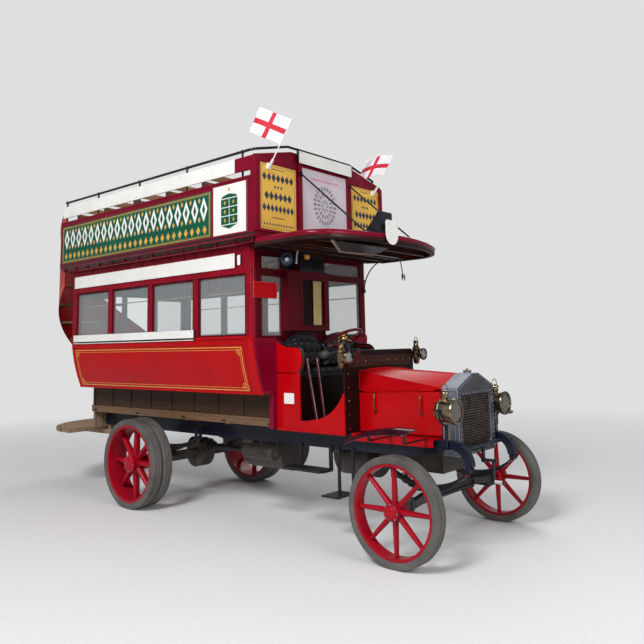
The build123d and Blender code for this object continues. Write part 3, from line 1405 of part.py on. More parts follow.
# Rear platform on two bearers hung from the rails, with a riser up to the saloon floor
bearer_y = rail_face - rail_flange / 2
bearer_rear = 5800.0
tow_eye_radius = 16.0
tow_eye_plate = 22.0
tow_eye_station = 5920.0
with BuildPart() as rear_platform:
    with BuildSketch(Plane.XY.offset(platform_height - 40)):
        with BuildLine():
            Line((at(-saloon_rear), -stair_outer), (at(-saloon_rear), stair_outer))
            Line((at(-saloon_rear), stair_outer), (at(-stair_centre), stair_outer))
            RadiusArc((at(-stair_centre), stair_outer), (at(-stair_centre), -stair_outer), -stair_outer)
            Line((at(-stair_centre), -stair_outer), (at(-saloon_rear), -stair_outer))
        make_face()
    extrude(amount=40)
    with Locations(*[(at(-(4750 + bearer_rear) / 2), side * bearer_y,
            platform_height - 70) for side in (-1, 1)]):
        Box(bearer_rear - 4750, 50, 60)
    with Locations(*[(at(-station), side * bearer_y, (platform_height - 40 + rail_bottom) / 2)
                     for side in (-1, 1) for station in (4790, 4930)]):
        Box(50, 50, rail_bottom - platform_height + 40)
    with Locations((at(-bearer_rear + 30), 0, platform_height - 70)):
        Box(60, 2 * bearer_y, 60)
    with BuildSketch(Plane.XY.offset(platform_height - 100)):
        with Locations((at(-(bearer_rear + tow_eye_station) / 2), 0)):
            Rectangle(tow_eye_station - bearer_rear + 40, 2 * 45)
        with Locations((at(-tow_eye_station), 0)):
            Circle(45)
        with Locations((at(-tow_eye_station), 0)):
            Circle(tow_eye_radius, mode=Mode.SUBTRACT)
    extrude(amount=tow_eye_plate)
    with Locations((at(-saloon_rear + 20), 0, (platform_height + floor_bottom) / 2)):
        Box(24, 2 * lower_wall_face, floor_bottom - platform_height)
    with Locations((at(-saloon_rear - 60), stair_outer - 40, (platform_height + upper_floor_bottom) / 2)):
        Cylinder(15, upper_floor_bottom - platform_height)
keep(rear_platform, "rear_platform")

rise = (upper_floor_top - platform_height) / (tread_count + 1)


def stair_point(radius, angle):
    """Plan point on the stairs: angle from +X, turning through +Y to the back."""
    turn = math.radians(angle)
    return at(-stair_centre) + radius * math.cos(turn), radius * math.sin(turn)


newel_station = stair_centre + 120.0
with BuildPart() as staircase:
    with Locations((at(-newel_station), 0, (platform_height + upper_floor_top) / 2)):
        Cylinder(38, upper_floor_top - platform_height)
    for i in range(tread_count):
        start = stair_start_angle + i * stair_step_angle
        end = start + stair_step_angle
        level = platform_height + rise * (i + 1)
        newel = (at(-newel_station), 0)
        with BuildSketch(Plane.XY.offset(level - tread_thickness)):
            with BuildLine():
                Line(newel, stair_point(stair_outer, start - 2))
                ThreePointArc(stair_point(stair_outer, start - 2),
                        stair_point(stair_outer, (start + end) / 2),
                              stair_point(stair_outer, end + 2))
                Line(stair_point(stair_outer, end + 2), newel)
            make_face()
        extrude(amount=tread_thickness)
keep(staircase, "staircase")

panel_above = 800.0
panel_below = 50.0
turn_half = math.radians(stair_step_angle / 2)
chord = 2 * (stair_outer + stair_sheet) * math.sin(turn_half)
with BuildPart() as stair_panel:
    for i in range(tread_count):
        start = stair_start_angle + i * stair_step_angle
        end = start + stair_step_angle
        middle = math.radians((start + end) / 2)
        nose_z = platform_height + rise * (i + 1)
        inner_r, outer_r = stair_outer + running_fit, stair_outer + stair_sheet
        with BuildPart() as segment:
            with BuildSketch(Plane.XY.offset(platform_height - 60)):
                with BuildLine():
                    Line(stair_point(inner_r, start), stair_point(outer_r, start))
                    ThreePointArc(stair_point(outer_r, start), stair_point(outer_r, (start + end) / 2),
                                  stair_point(outer_r, end))
                    Line(stair_point(outer_r, end), stair_point(inner_r, end))
                    ThreePointArc(stair_point(inner_r, end), stair_point(inner_r, (start + end) / 2),
                                  stair_point(inner_r, start))
                make_face()
            extrude(amount=upper_floor_top + 1400 - platform_height)
            along = Vector(-math.sin(middle), math.cos(middle), 0)
            slope = Vector(0, 0, 1) - along * (rise / chord)
            middle_point = stair_point(outer_r * math.cos(turn_half), (start + end) / 2)
            for level, side_kept in ((nose_z + rise / 2 + panel_above, Keep.BOTTOM),
                                     (max(nose_z - rise / 2 - panel_below, platform_height - 60),
                                             Keep.TOP)):
                split(bisect_by=Plane(origin=(*middle_point, level), z_dir=slope), keep=side_kept)
        add(segment.part)
keep(stair_panel, "stair_panel")
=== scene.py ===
"""Early open-top double decker motor bus: finishes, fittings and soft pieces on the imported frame.

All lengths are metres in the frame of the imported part: X forward, Y to the bus's left, Z up.
Stations along the bus are measured from the front axle, ahead positive.
"""
import json
import logging
import math
from dataclasses import dataclass, field
from enum import Enum
from typing import Iterable, Sequence

import bmesh
import bpy
from mathutils import Matrix, Vector

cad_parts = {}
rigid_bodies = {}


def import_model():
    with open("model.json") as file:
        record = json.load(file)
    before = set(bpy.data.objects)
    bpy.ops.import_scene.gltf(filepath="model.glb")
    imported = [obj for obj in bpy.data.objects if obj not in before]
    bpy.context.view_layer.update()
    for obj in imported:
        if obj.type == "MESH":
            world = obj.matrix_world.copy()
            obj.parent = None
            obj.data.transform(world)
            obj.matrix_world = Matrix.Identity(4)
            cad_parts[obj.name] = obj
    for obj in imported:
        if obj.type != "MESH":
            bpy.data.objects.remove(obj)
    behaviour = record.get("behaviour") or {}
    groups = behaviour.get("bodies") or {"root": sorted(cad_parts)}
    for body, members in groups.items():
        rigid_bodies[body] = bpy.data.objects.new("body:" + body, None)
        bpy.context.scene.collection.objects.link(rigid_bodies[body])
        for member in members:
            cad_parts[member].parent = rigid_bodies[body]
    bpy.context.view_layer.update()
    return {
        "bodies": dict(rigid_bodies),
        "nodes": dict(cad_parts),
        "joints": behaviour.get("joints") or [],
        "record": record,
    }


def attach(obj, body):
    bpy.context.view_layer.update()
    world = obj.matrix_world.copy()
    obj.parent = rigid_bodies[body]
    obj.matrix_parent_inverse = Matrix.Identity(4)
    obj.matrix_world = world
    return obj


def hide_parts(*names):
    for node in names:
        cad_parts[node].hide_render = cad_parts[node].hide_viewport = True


log = logging.getLogger("bus")
AXLE = 2.7935
WHEELBASE = 3.556
SIDES = ((-1, "offside"), (1, "nearside"))
Point = Sequence[float]
Colour = tuple[float, float, float]


def sweep(steps: int, whole: float = 2 * math.pi) -> list[float]:
    """Evenly spaced angles.

    Args:
        steps: how many steps the turn has.
        whole: the turn. A full one leaves out its last angle, which is its first.

    Returns:
        The angles.
    """
    return [whole * k / steps for k in range(steps if whole == 2 * math.pi else steps + 1)]


def at(station: float) -> float:
    """X of a place measured from the front axle, ahead positive."""
    return AXLE + station


class Pattern(Enum):
    """How a finish varies over its surface."""

    PAINT = "paint"
    GRAIN = "grain"
    PLANKS = "planks"
    CAST = "cast"
    POLISHED = "polished"
    RUBBER = "rubber"
    HIDE = "hide"
    WOVEN = "woven"


class Nodes:
    """Short hand for building one material's node tree."""

    def __init__(self, name: str) -> None:
        """Starts an empty tree.

        Args:
            name: name of the new material.
        """
        self.material = bpy.data.materials.new(name)
        self.material.use_nodes = True
        self.tree = self.material.node_tree
        self.tree.nodes.clear()
        self.out = self.add("ShaderNodeOutputMaterial")
        self.shader = self.add("ShaderNodeBsdfPrincipled")
        self.link(self.shader, "BSDF", self.out, "Surface")
        self.coords = self.add("ShaderNodeTexCoord")

    def add(self, kind: str, **values: object) -> bpy.types.Node:
        """Adds a node.

        Args:
            kind: node class name.
            values: attributes of the node, or its inputs by name with underscores for spaces.

        Returns:
            The new node.
        """
        node = self.tree.nodes.new(kind)
        for key, value in values.items():
            socket = node.inputs.get(key.replace("_", " "))
            if socket is not None:
                socket.default_value = value
            else:
                setattr(node, key, value)
        return node

    def link(self, source: bpy.types.Node, output: str | int, target: bpy.types.Node,
             socket: str | int) -> None:
        """Joins an output of one node to an input of another."""
        self.tree.links.new(source.outputs[output], target.inputs[socket])

    def spot(self, stretch: Point = (1, 1, 1), turn: Point = (0, 0, 0)) -> bpy.types.Node:
        """Object coordinates, stretched and turned.

        Args:
            stretch: scale along each axis.
            turn: turn about each axis in radians.

        Returns:
            The mapping node.
        """
        mapping = self.add("ShaderNodeMapping")
        mapping.inputs["Scale"].default_value = stretch
        mapping.inputs["Rotation"].default_value = turn
        self.link(self.coords, "Object", mapping, "Vector")
        return mapping

    def noise(self, scale: float, detail: float = 4.0, stretch: Point = (1, 1, 1)) -> bpy.types.Node:
        """Noise on object coordinates.

        Args:
            scale: patches to a metre.
            detail: octaves.
            stretch: scale along each axis.

        Returns:
            The noise node.
        """
        noise = self.add("ShaderNodeTexNoise", Scale=scale, Detail=detail)
        self.link(self.spot(stretch), 0, noise, "Vector")
        return noise

    def ramp(self, source: bpy.types.Node, output: str | int,
             stops: Iterable[tuple[float, Colour]]) -> bpy.types.Node:
        """Colour ramp over a value.

        Args:
            source: node that gives the value.
            output: its output.
            stops: place and colour of each stop.

        Returns:
            The ramp node.
        """
        ramp = self.add("ShaderNodeValToRGB")
        band = ramp.color_ramp
        stops = list(stops)
        while len(band.elements) < len(stops):
            band.elements.new(0.5)
        for element, (place, colour) in zip(band.elements, stops):
            element.position = place
            element.color = (*colour, 1)
        self.link(source, output, ramp, "Fac")
        return ramp

    def math(self, work: str, first: object, second: object = 0.0) -> bpy.types.Node:
        """Math node on two values, each a number or a (node, output) pair.

        Args:
            work: the operation.
            first: first value.
            second: second value.

        Returns:
            The math node.
        """
        node = self.add("ShaderNodeMath", operation=work)
        for index, value in enumerate((first, second)):
            if isinstance(value, tuple):
                self.link(value[0], value[1], node, index)
            else:
                node.inputs[index].default_value = value
        return node

    def mix(self, fac: tuple[bpy.types.Node, str | int], first: object, second: object) -> bpy.types.Node:
        """Mixes two colours, each a colour or a (node, output) pair.

        Args:
            fac: node and output that give the share of the second.
            first: first colour.
            second: second colour.

        Returns:
            The mix node, whose result is output 2.
        """
        node = self.add("ShaderNodeMix", data_type="RGBA")
        self.link(fac[0], fac[1], node, 0)
        for index, value in ((6, first), (7, second)):
            if isinstance(value[0], bpy.types.Node):
                self.link(value[0], value[1], node, index)
            else:
                node.inputs[index].default_value = (*value, 1)
        return node

    def bump(self, source: bpy.types.Node, output: str | int, strength: float, depth: float) -> None:
        """Raises the surface by a value.

        Args:
            source: node that gives the height.
            output: its output.
            strength: strength of the bump.
            depth: depth in metres.
        """
        node = self.add("ShaderNodeBump", Strength=strength, Distance=depth)
        self.link(source, output, node, "Height")
        self.link(node, "Normal", self.shader, "Normal")


@dataclass(frozen=True)
class Finish:
    """One finish of the bus."""

    name: str
    colour: Colour
    shade: Colour
    pattern: Pattern = Pattern.PAINT
    roughness: float = 0.35
    metallic: float = 0.0
    coat: float = 0.0
    scale: float = 3.0
    bump: float = 0.15
    along: tuple[float, float, float] = (1.0, 1.0, 1.0)
    dust: float = 0.0
    specular: float = 0.5
    slot: str = "frame_black"

    def material(self) -> bpy.types.Material:
        """The finish's material, built the first time it is asked for."""
        found = bpy.data.materials.get(self.name)
        if found is not None:
            return found
        nodes = Nodes(self.name)
        shader = nodes.shader
        shader.inputs["Metallic"].default_value = self.metallic
        shader.inputs["Coat Weight"].default_value = self.coat
        shader.inputs["Coat Roughness"].default_value = 0.08
        shader.inputs["Specular IOR Level"].default_value = self.specular
        colour = self._colour(nodes)
        if self.dust:
            colour = self._dusted(nodes, colour)
        nodes.link(colour, 2 if colour.bl_idname == "ShaderNodeMix" else 0, shader, "Base Color")
        return nodes.material

    def _colour(self, nodes: Nodes) -> bpy.types.Node:
        """Builds the pattern and its bump and roughness.

        Args:
            nodes: tree under construction.

        Returns:
            The node that gives the colour.
        """
        if self.pattern is Pattern.GRAIN or self.pattern is Pattern.PLANKS:
            return self._timber(nodes)
        if self.pattern is Pattern.HIDE:
            return self._hide(nodes)
        if self.pattern is Pattern.WOVEN:
            return self._woven(nodes)
        broad = nodes.noise(self.scale, 5.0, self.along)
        fine = nodes.noise(self.scale * 45, 3.0)
        if self.pattern is Pattern.CAST:
            fine = nodes.noise(260.0, 2.0)
        if self.pattern is Pattern.RUBBER:
            fine = nodes.noise(420.0, 4.0)
        colour = nodes.ramp(broad, "Fac", [(0.36, self.shade), (0.62, self.colour)])
        rough = nodes.add("ShaderNodeMapRange")
        rough.inputs["To Min"].default_value = max(0.03, self.roughness * 0.75)
        rough.inputs["To Max"].default_value = min(1.0, self.roughness * 1.35)
        nodes.link(broad, "Fac", rough, "Value")
        nodes.link(rough, 0, nodes.shader, "Roughness")
        nodes.bump(fine, "Fac", self.bump, 0.0006)
        return colour

    def _timber(self, nodes: Nodes) -> bpy.types.Node:
        """Wood grain, with board joints for planks.

        Args:
            nodes: tree under construction.

        Returns:
            The node that gives the colour.
        """
        grain = nodes.noise(self.scale, 8.0, self.along)
        streak = nodes.noise(self.scale * 5, 3.0, self.along)
        both = nodes.math("MULTIPLY_ADD", (grain, "Fac"), 0.7)
        third = nodes.math("MULTIPLY", (streak, "Fac"), 0.3)
        nodes.link(third, 0, both, 2)
        colour = nodes.ramp(both, 0, [(0.34, self.shade), (0.50, self.colour), (0.66, self.shade)])
        nodes.shader.inputs["Roughness"].default_value = self.roughness
        height = both
        if self.pattern is Pattern.PLANKS:
            split = nodes.add("ShaderNodeSeparateXYZ")
            nodes.link(nodes.coords, "Object", split, 0)
            axis = 2 if self.along[2] > 1.5 else 1
            pitch = nodes.math("DIVIDE", (split, axis), 0.115)
            part = nodes.math("FRACT", (pitch, 0))
            gap = nodes.math("COMPARE", (part, 0), 0.5)
            gap.inputs[2].default_value = 0.47
            seam = nodes.math("SUBTRACT", 1.0, (gap, 0))
            height = nodes.math("SUBTRACT", (both, 0), (seam, 0))
            colour = nodes.mix((seam, 0), (colour, 0), tuple(c * 0.25 for c in self.shade))
        nodes.bump(height, 0, self.bump, 0.0012)
        return colour

    def _hide(self, nodes: Nodes) -> bpy.types.Node:
        """Leather: fine cells, soft creases and worn sheen.

        Args:
            nodes: tree under construction.

        Returns:
            The node that gives the colour.
        """
        cells = nodes.add("ShaderNodeTexVoronoi", Scale=420.0)
        nodes.link(nodes.spot(), 0, cells, "Vector")
        creases = nodes.noise(14.0, 6.0)
        height = nodes.math("MULTIPLY_ADD", (cells, "Distance"), 0.35)
        nodes.link(creases, "Fac", height, 2)
        nodes.bump(height, 0, self.bump, 0.0014)
        rough = nodes.add("ShaderNodeMapRange")
        rough.inputs["To Min"].default_value = self.roughness * 0.7
        rough.inputs["To Max"].default_value = self.roughness * 1.4
        nodes.link(creases, "Fac", rough, "Value")
        nodes.link(rough, 0, nodes.shader, "Roughness")
        return nodes.ramp(creases, "Fac", [(0.38, self.shade), (0.6, self.colour)])

    def _woven(self, nodes: Nodes) -> bpy.types.Node:
        """Woven cloth on object coordinates.

        Args:
            nodes: tree under construction.

        Returns:
            The node that gives the colour.
        """
        warp = nodes.add("ShaderNodeTexWave", Scale=self.scale, Distortion=0.6)
        warp.bands_direction = "X"
        weft = nodes.add("ShaderNodeTexWave", Scale=self.scale, Distortion=0.6)
        weft.bands_direction = "Z"
        for wave in (warp, weft):
            nodes.link(nodes.spot(self.along), 0, wave, "Vector")
        height = nodes.math("MULTIPLY", (warp, "Fac"), (weft, "Fac"))
        nodes.bump(height, 0, self.bump, 0.0006)
        nodes.shader.inputs["Roughness"].default_value = self.roughness
        return nodes.ramp(height, 0, [(0.1, self.shade), (0.6, self.colour)])

    def _dusted(self, nodes: Nodes, colour: bpy.types.Node) -> bpy.types.Node:
        """Road dust that thickens towards the ground.

        Args:
            nodes: tree under construction.
            colour: node that gives the clean colour.

        Returns:
            The node that gives the dusty colour.
        """
        split = nodes.add("ShaderNodeSeparateXYZ")
        nodes.link(nodes.coords, "Object", split, 0)
        height = nodes.add("ShaderNodeMapRange")
        height.inputs["From Min"].default_value = 1.1
        height.inputs["From Max"].default_value = 0.0
        nodes.link(split, "Z", height, "Value")
        patch = nodes.noise(9.0, 6.0)
        share = nodes.math("MULTIPLY", (height, 0), (patch, "Fac"))
        share = nodes.math("MULTIPLY", (share, 0), self.dust)
        return nodes.mix((share, 0), (colour, 0), (0.42, 0.38, 0.33))


BODY_RED = Finish("body_red_paint", (0.44, 0.0012, 0.004), (0.39, 0.001, 0.0035), roughness=0.24, coat=0.06,
                  bump=0.03,
                  specular=0.12, slot="body_red")
BONNET_RED = Finish("bonnet_red_paint", (0.42, 0.001, 0.003), (0.37, 0.0008, 0.0028), roughness=0.34,
                    coat=0.025,
                    bump=0.03, specular=0.06)
WHEEL_RED = Finish("wheel_red_paint", (0.36, 0.0015, 0.014), (0.30, 0.001, 0.011), roughness=0.30, coat=0.05,
                   bump=0.06,
                   dust=0.02, specular=0.15, slot="wheel_red")
DEEP_RED = Finish("deep_red_varnish", (0.085, 0.0015, 0.006), (0.055, 0.001, 0.004), Pattern.GRAIN, 0.26,
                  coat=0.04,
                  scale=5.0, along=(6.0, 6.0, 0.5), bump=0.06, specular=0.12, slot="dark_red")
CORNICE_RED = Finish("cornice_red_paint", (0.19, 0.001, 0.017), (0.15, 0.001, 0.013), roughness=0.24,
                     coat=0.08, bump=0.04,
                     specular=0.14, slot="panel_paint")
# Darker red for the corner posts, window frames and the saloon side above the waist: painted shade under the
# deck's overhang.
POST_SHADE_RED = Finish("post_shade_red", (0.235, 0.001, 0.012), (0.19, 0.001, 0.010), roughness=0.26, coat=0.05,
                  bump=0.04,
                  specular=0.12, slot="body_red")
DULL_BRASS = Finish("dull_brass", (0.25, 0.165, 0.075), (0.09, 0.056, 0.030), Pattern.POLISHED, 0.26, 0.95,
                    scale=12.0,
                    bump=0.06, slot="brass")
FRAME_BLACK = Finish("frame_black_paint", (0.008, 0.009, 0.013), (0.014, 0.014, 0.016), roughness=0.34,
                     coat=0.06,
                     bump=0.10, dust=0.03, specular=0.2)
GLOSS_BLACK = Finish("gloss_black_paint", (0.007, 0.008, 0.012), (0.012, 0.012, 0.015), roughness=0.16,
                     coat=0.25, bump=0.02,
                     specular=0.35)
BLUE_BLACK = Finish("blue_black_paint", (0.006, 0.009, 0.022), (0.010, 0.012, 0.024), roughness=0.24,
                    coat=0.08, bump=0.06,
                    dust=0.02, specular=0.18)
GUARD_PAINT = Finish("guard_paint", (0.045, 0.006, 0.012), (0.025, 0.004, 0.009), roughness=0.22, coat=0.20,
                     bump=0.03,
                     specular=0.3)
OILY_IRON = Finish("oily_iron", (0.050, 0.040, 0.034), (0.020, 0.017, 0.016), Pattern.CAST, 0.5, 0.45,
                   scale=7.0, bump=0.5,
                   dust=0.2)
BARE_STEEL = Finish("bare_steel", (0.36, 0.35, 0.34), (0.24, 0.23, 0.22), Pattern.POLISHED, 0.34, 1.0,
                    scale=12.0, bump=0.08, slot="iron")
RADIATOR_GREY = Finish("radiator_grey", (0.27, 0.29, 0.35), (0.18, 0.20, 0.25), Pattern.CAST, 0.32, 0.55,
                       scale=6.0,
                       bump=0.16, slot="radiator")
# Darker brownish grey for the radiator shell's forward faces: painted shade.
RADIATOR_FRONT_SHADE = Finish("radiator_front_shade_grey", (0.085, 0.078, 0.088), (0.050, 0.046, 0.055), Pattern.CAST, 0.42,
                       0.45, scale=6.0,
                       bump=0.16)
CORE_BROWN = Finish("core_brown", (0.115, 0.088, 0.070), (0.045, 0.036, 0.032), Pattern.CAST, 0.5, 0.5,
                    scale=14.0, bump=0.5, slot="core")
BRASS = Finish("polished_brass", (0.72, 0.47, 0.17), (0.50, 0.31, 0.11), Pattern.POLISHED, 0.2, 1.0,
               scale=9.0, bump=0.04, slot="brass")
NICKEL = Finish("worn_nickel", (0.36, 0.29, 0.20), (0.17, 0.125, 0.08), Pattern.POLISHED, 0.22, 1.0,
                scale=11.0, bump=0.06, slot="radiator")
TYRE_GREY = Finish("tyre_grey", (0.090, 0.084, 0.078), (0.050, 0.047, 0.044), Pattern.RUBBER, 0.8, scale=5.0,
                   bump=0.7,
                   dust=0.22, slot="rubber")
BLACK_RUBBER = Finish("black_rubber", (0.018, 0.018, 0.018), (0.03, 0.03, 0.03), Pattern.RUBBER, 0.55,
                      scale=20.0, bump=0.3, slot="rubber")
DASH_BROWN = Finish("dash_brown_varnish", (0.014, 0.0045, 0.0045), (0.008, 0.003, 0.003), Pattern.GRAIN, 0.38,
                    scale=4.0,
                    along=(4.0, 0.6, 8.0), bump=0.15, specular=0.10, slot="dash_brown")
# Dark brown boarding under the canopy and deck floor; its near-black tone is painted shade.
SOFFIT_SHADE_BROWN = Finish("soffit_shade_brown", (0.045, 0.014, 0.010), (0.022, 0.007, 0.006), Pattern.PLANKS, 0.42,
                      scale=3.0,
                      along=(0.5, 7.0, 1.0), bump=0.25, specular=0.15, slot="dash_brown")
# Brown boards of the recessed lower wall, darkened as painted shade under the red panel.
WALL_SHADE_BROWN = Finish("wall_shade_brown", (0.050, 0.026, 0.013), (0.028, 0.015, 0.009), Pattern.GRAIN, 0.45,
                    scale=4.0,
                    along=(0.6, 6.0, 7.0), bump=0.2, specular=0.15, slot="dash_brown")
SILL_OAK = Finish("sill_oak", (0.165, 0.086, 0.038), (0.095, 0.048, 0.022), Pattern.GRAIN, 0.42, coat=0.1,
                  scale=4.0,
                  along=(0.6, 6.0, 8.0), bump=0.2, slot="dash_brown")
FLOOR_BOARDS = Finish("floor_boards", (0.27, 0.185, 0.115), (0.17, 0.112, 0.068), Pattern.PLANKS, 0.6,
                      scale=4.0,
                      along=(0.5, 7.0, 1.0), bump=0.35, slot="floor_wood")
SLAT_OAK = Finish("slat_oak", (0.33, 0.175, 0.075), (0.20, 0.100, 0.042), Pattern.GRAIN, 0.34, coat=0.25,
                  scale=5.0,
                  along=(7.0, 0.7, 7.0), bump=0.15, slot="slat_wood")
WHITE_PAINT = Finish("white_paint", (0.80, 0.79, 0.76), (0.74, 0.73, 0.69), roughness=0.34, coat=0.15,
                     bump=0.04, slot="white_board")
TAN_EDGE = Finish("tan_edge", (0.30, 0.20, 0.13), (0.20, 0.13, 0.085), Pattern.GRAIN, 0.45, scale=5.0,
                  along=(5.0, 0.6, 5.0), slot="slat_wood")
MUSTARD = Finish("mustard_paint", (0.78, 0.47, 0.07), (0.70, 0.41, 0.055), roughness=0.4, coat=0.1, bump=0.05,
                 slot="panel_paint")
BOTTLE_GREEN = Finish("bottle_green_paint", (0.003, 0.088, 0.048), (0.002, 0.070, 0.038), roughness=0.32,
                      coat=0.05,
                      bump=0.04, specular=0.15, slot="panel_paint")
GOLD_LEAF = Finish("gold_leaf", (0.85, 0.50, 0.10), (0.70, 0.38, 0.07), Pattern.PAINT, 0.34, 0.35, scale=30.0,
                   bump=0.05, slot="brass")
INK_BLUE = Finish("ink_blue_paint", (0.022, 0.030, 0.055), (0.030, 0.040, 0.070), roughness=0.4,
                  slot="panel_paint")
PAPER_PALE = Finish("paper_pale", (0.64, 0.58, 0.62), (0.56, 0.51, 0.56), roughness=0.6, scale=5.0, bump=0.05,
                    slot="white_board")
PAPER_ROSE = Finish("paper_rose", (0.62, 0.36, 0.44), (0.54, 0.31, 0.39), roughness=0.6, scale=9.0, bump=0.05,
                    slot="panel_paint")
PAPER_GREY = Finish("paper_grey", (0.20, 0.19, 0.24), (0.28, 0.26, 0.31), roughness=0.6, scale=30.0,
                    bump=0.05, slot="panel_paint")
BLACK_HIDE = Finish("black_hide", (0.006, 0.006, 0.009), (0.013, 0.012, 0.015), Pattern.HIDE, 0.34, bump=0.4,
                    specular=0.28, slot="leather")
CREAM_LINING = Finish("cream_lining", (0.66, 0.62, 0.52), (0.58, 0.54, 0.45), Pattern.PLANKS, 0.45, scale=3.0,
                      along=(0.5, 5.0, 1.0), bump=0.15, slot="white_board")
LAMP_BLUE = Finish("lamp_blue", (0.008, 0.022, 0.060), (0.005, 0.012, 0.036), roughness=0.16, coat=0.4,
                   bump=0.02)
AMBER = Finish("amber_glass", (0.80, 0.26, 0.03), (0.62, 0.18, 0.02), roughness=0.12, coat=0.6, bump=0.02,
               slot="glass")
GRIP_CORD = Finish("grip_cord", (0.72, 0.71, 0.68), (0.48, 0.47, 0.45), Pattern.WOVEN, 0.8, scale=160.0,
                   bump=0.5, slot="flag_cloth")
PARCHMENT = Finish("parchment_strip", (0.46, 0.36, 0.14), (0.30, 0.22, 0.08), Pattern.GRAIN, 0.4, scale=9.0,
                   along=(5.0, 5.0, 0.6), bump=0.08, slot="slat_wood")


def two_tone(name: str, over: Finish, under: Finish, limit: float, by_height: bool = False,
             axis: str = "Z") -> bpy.types.Material:
    """Two finishes on one piece, parted by the way that a face looks or by height; every use paints shade
    with the darker one.

    Args:
        name: name of the material.
        over: finish of the faces past the limit.
        under: finish of the others.
        limit: upright part of the normal, or height in metres, at the change.
        by_height: whether the height decides.
        axis: the part of the normal or place that is compared.

    Returns:
        The material.
    """
    nodes = Nodes(name)
    nodes.shader.inputs["Metallic"].default_value = over.metallic
    nodes.shader.inputs["Roughness"].default_value = over.roughness
    nodes.shader.inputs["Specular IOR Level"].default_value = over.specular
    split = nodes.add("ShaderNodeSeparateXYZ")
    if by_height:
        nodes.link(nodes.coords, "Object", split, 0)
    else:
        nodes.link(nodes.add("ShaderNodeNewGeometry"), "Normal", split, 0)
    above = nodes.math("GREATER_THAN", (split, axis), limit)
    broad = nodes.noise(over.scale, 5.0)
    low = nodes.ramp(broad, "Fac", [(0.36, under.shade), (0.62, under.colour)])
    high = nodes.ramp(broad, "Fac", [(0.36, over.shade), (0.62, over.colour)])
    colour = nodes.mix((above, 0), (low, 0), (high, 0))
    nodes.link(colour, 2, nodes.shader, "Base Color")
    nodes.bump(nodes.noise(120.0, 3.0), "Fac", over.bump, 0.0006)
    return nodes.material


def clear_glass(name: str, tint: Colour, alpha: float) -> bpy.types.Material:
    """Thin window glass: mostly clear, with a glossy face.

    Args:
        name: name of the material.
        tint: colour of what shows through.
        alpha: share of the surface that hides what is behind it.

    Returns:
        The material.
    """
    nodes = Nodes(name)
    nodes.shader.inputs["Base Color"].default_value = (*tint, 1)
    nodes.shader.inputs["Roughness"].default_value = 0.03
    nodes.shader.inputs["IOR"].default_value = 1.5
    nodes.shader.inputs["Alpha"].default_value = alpha
    ripple = nodes.noise(3.0, 2.0)
    nodes.bump(ripple, "Fac", 0.06, 0.002)
    return nodes.material


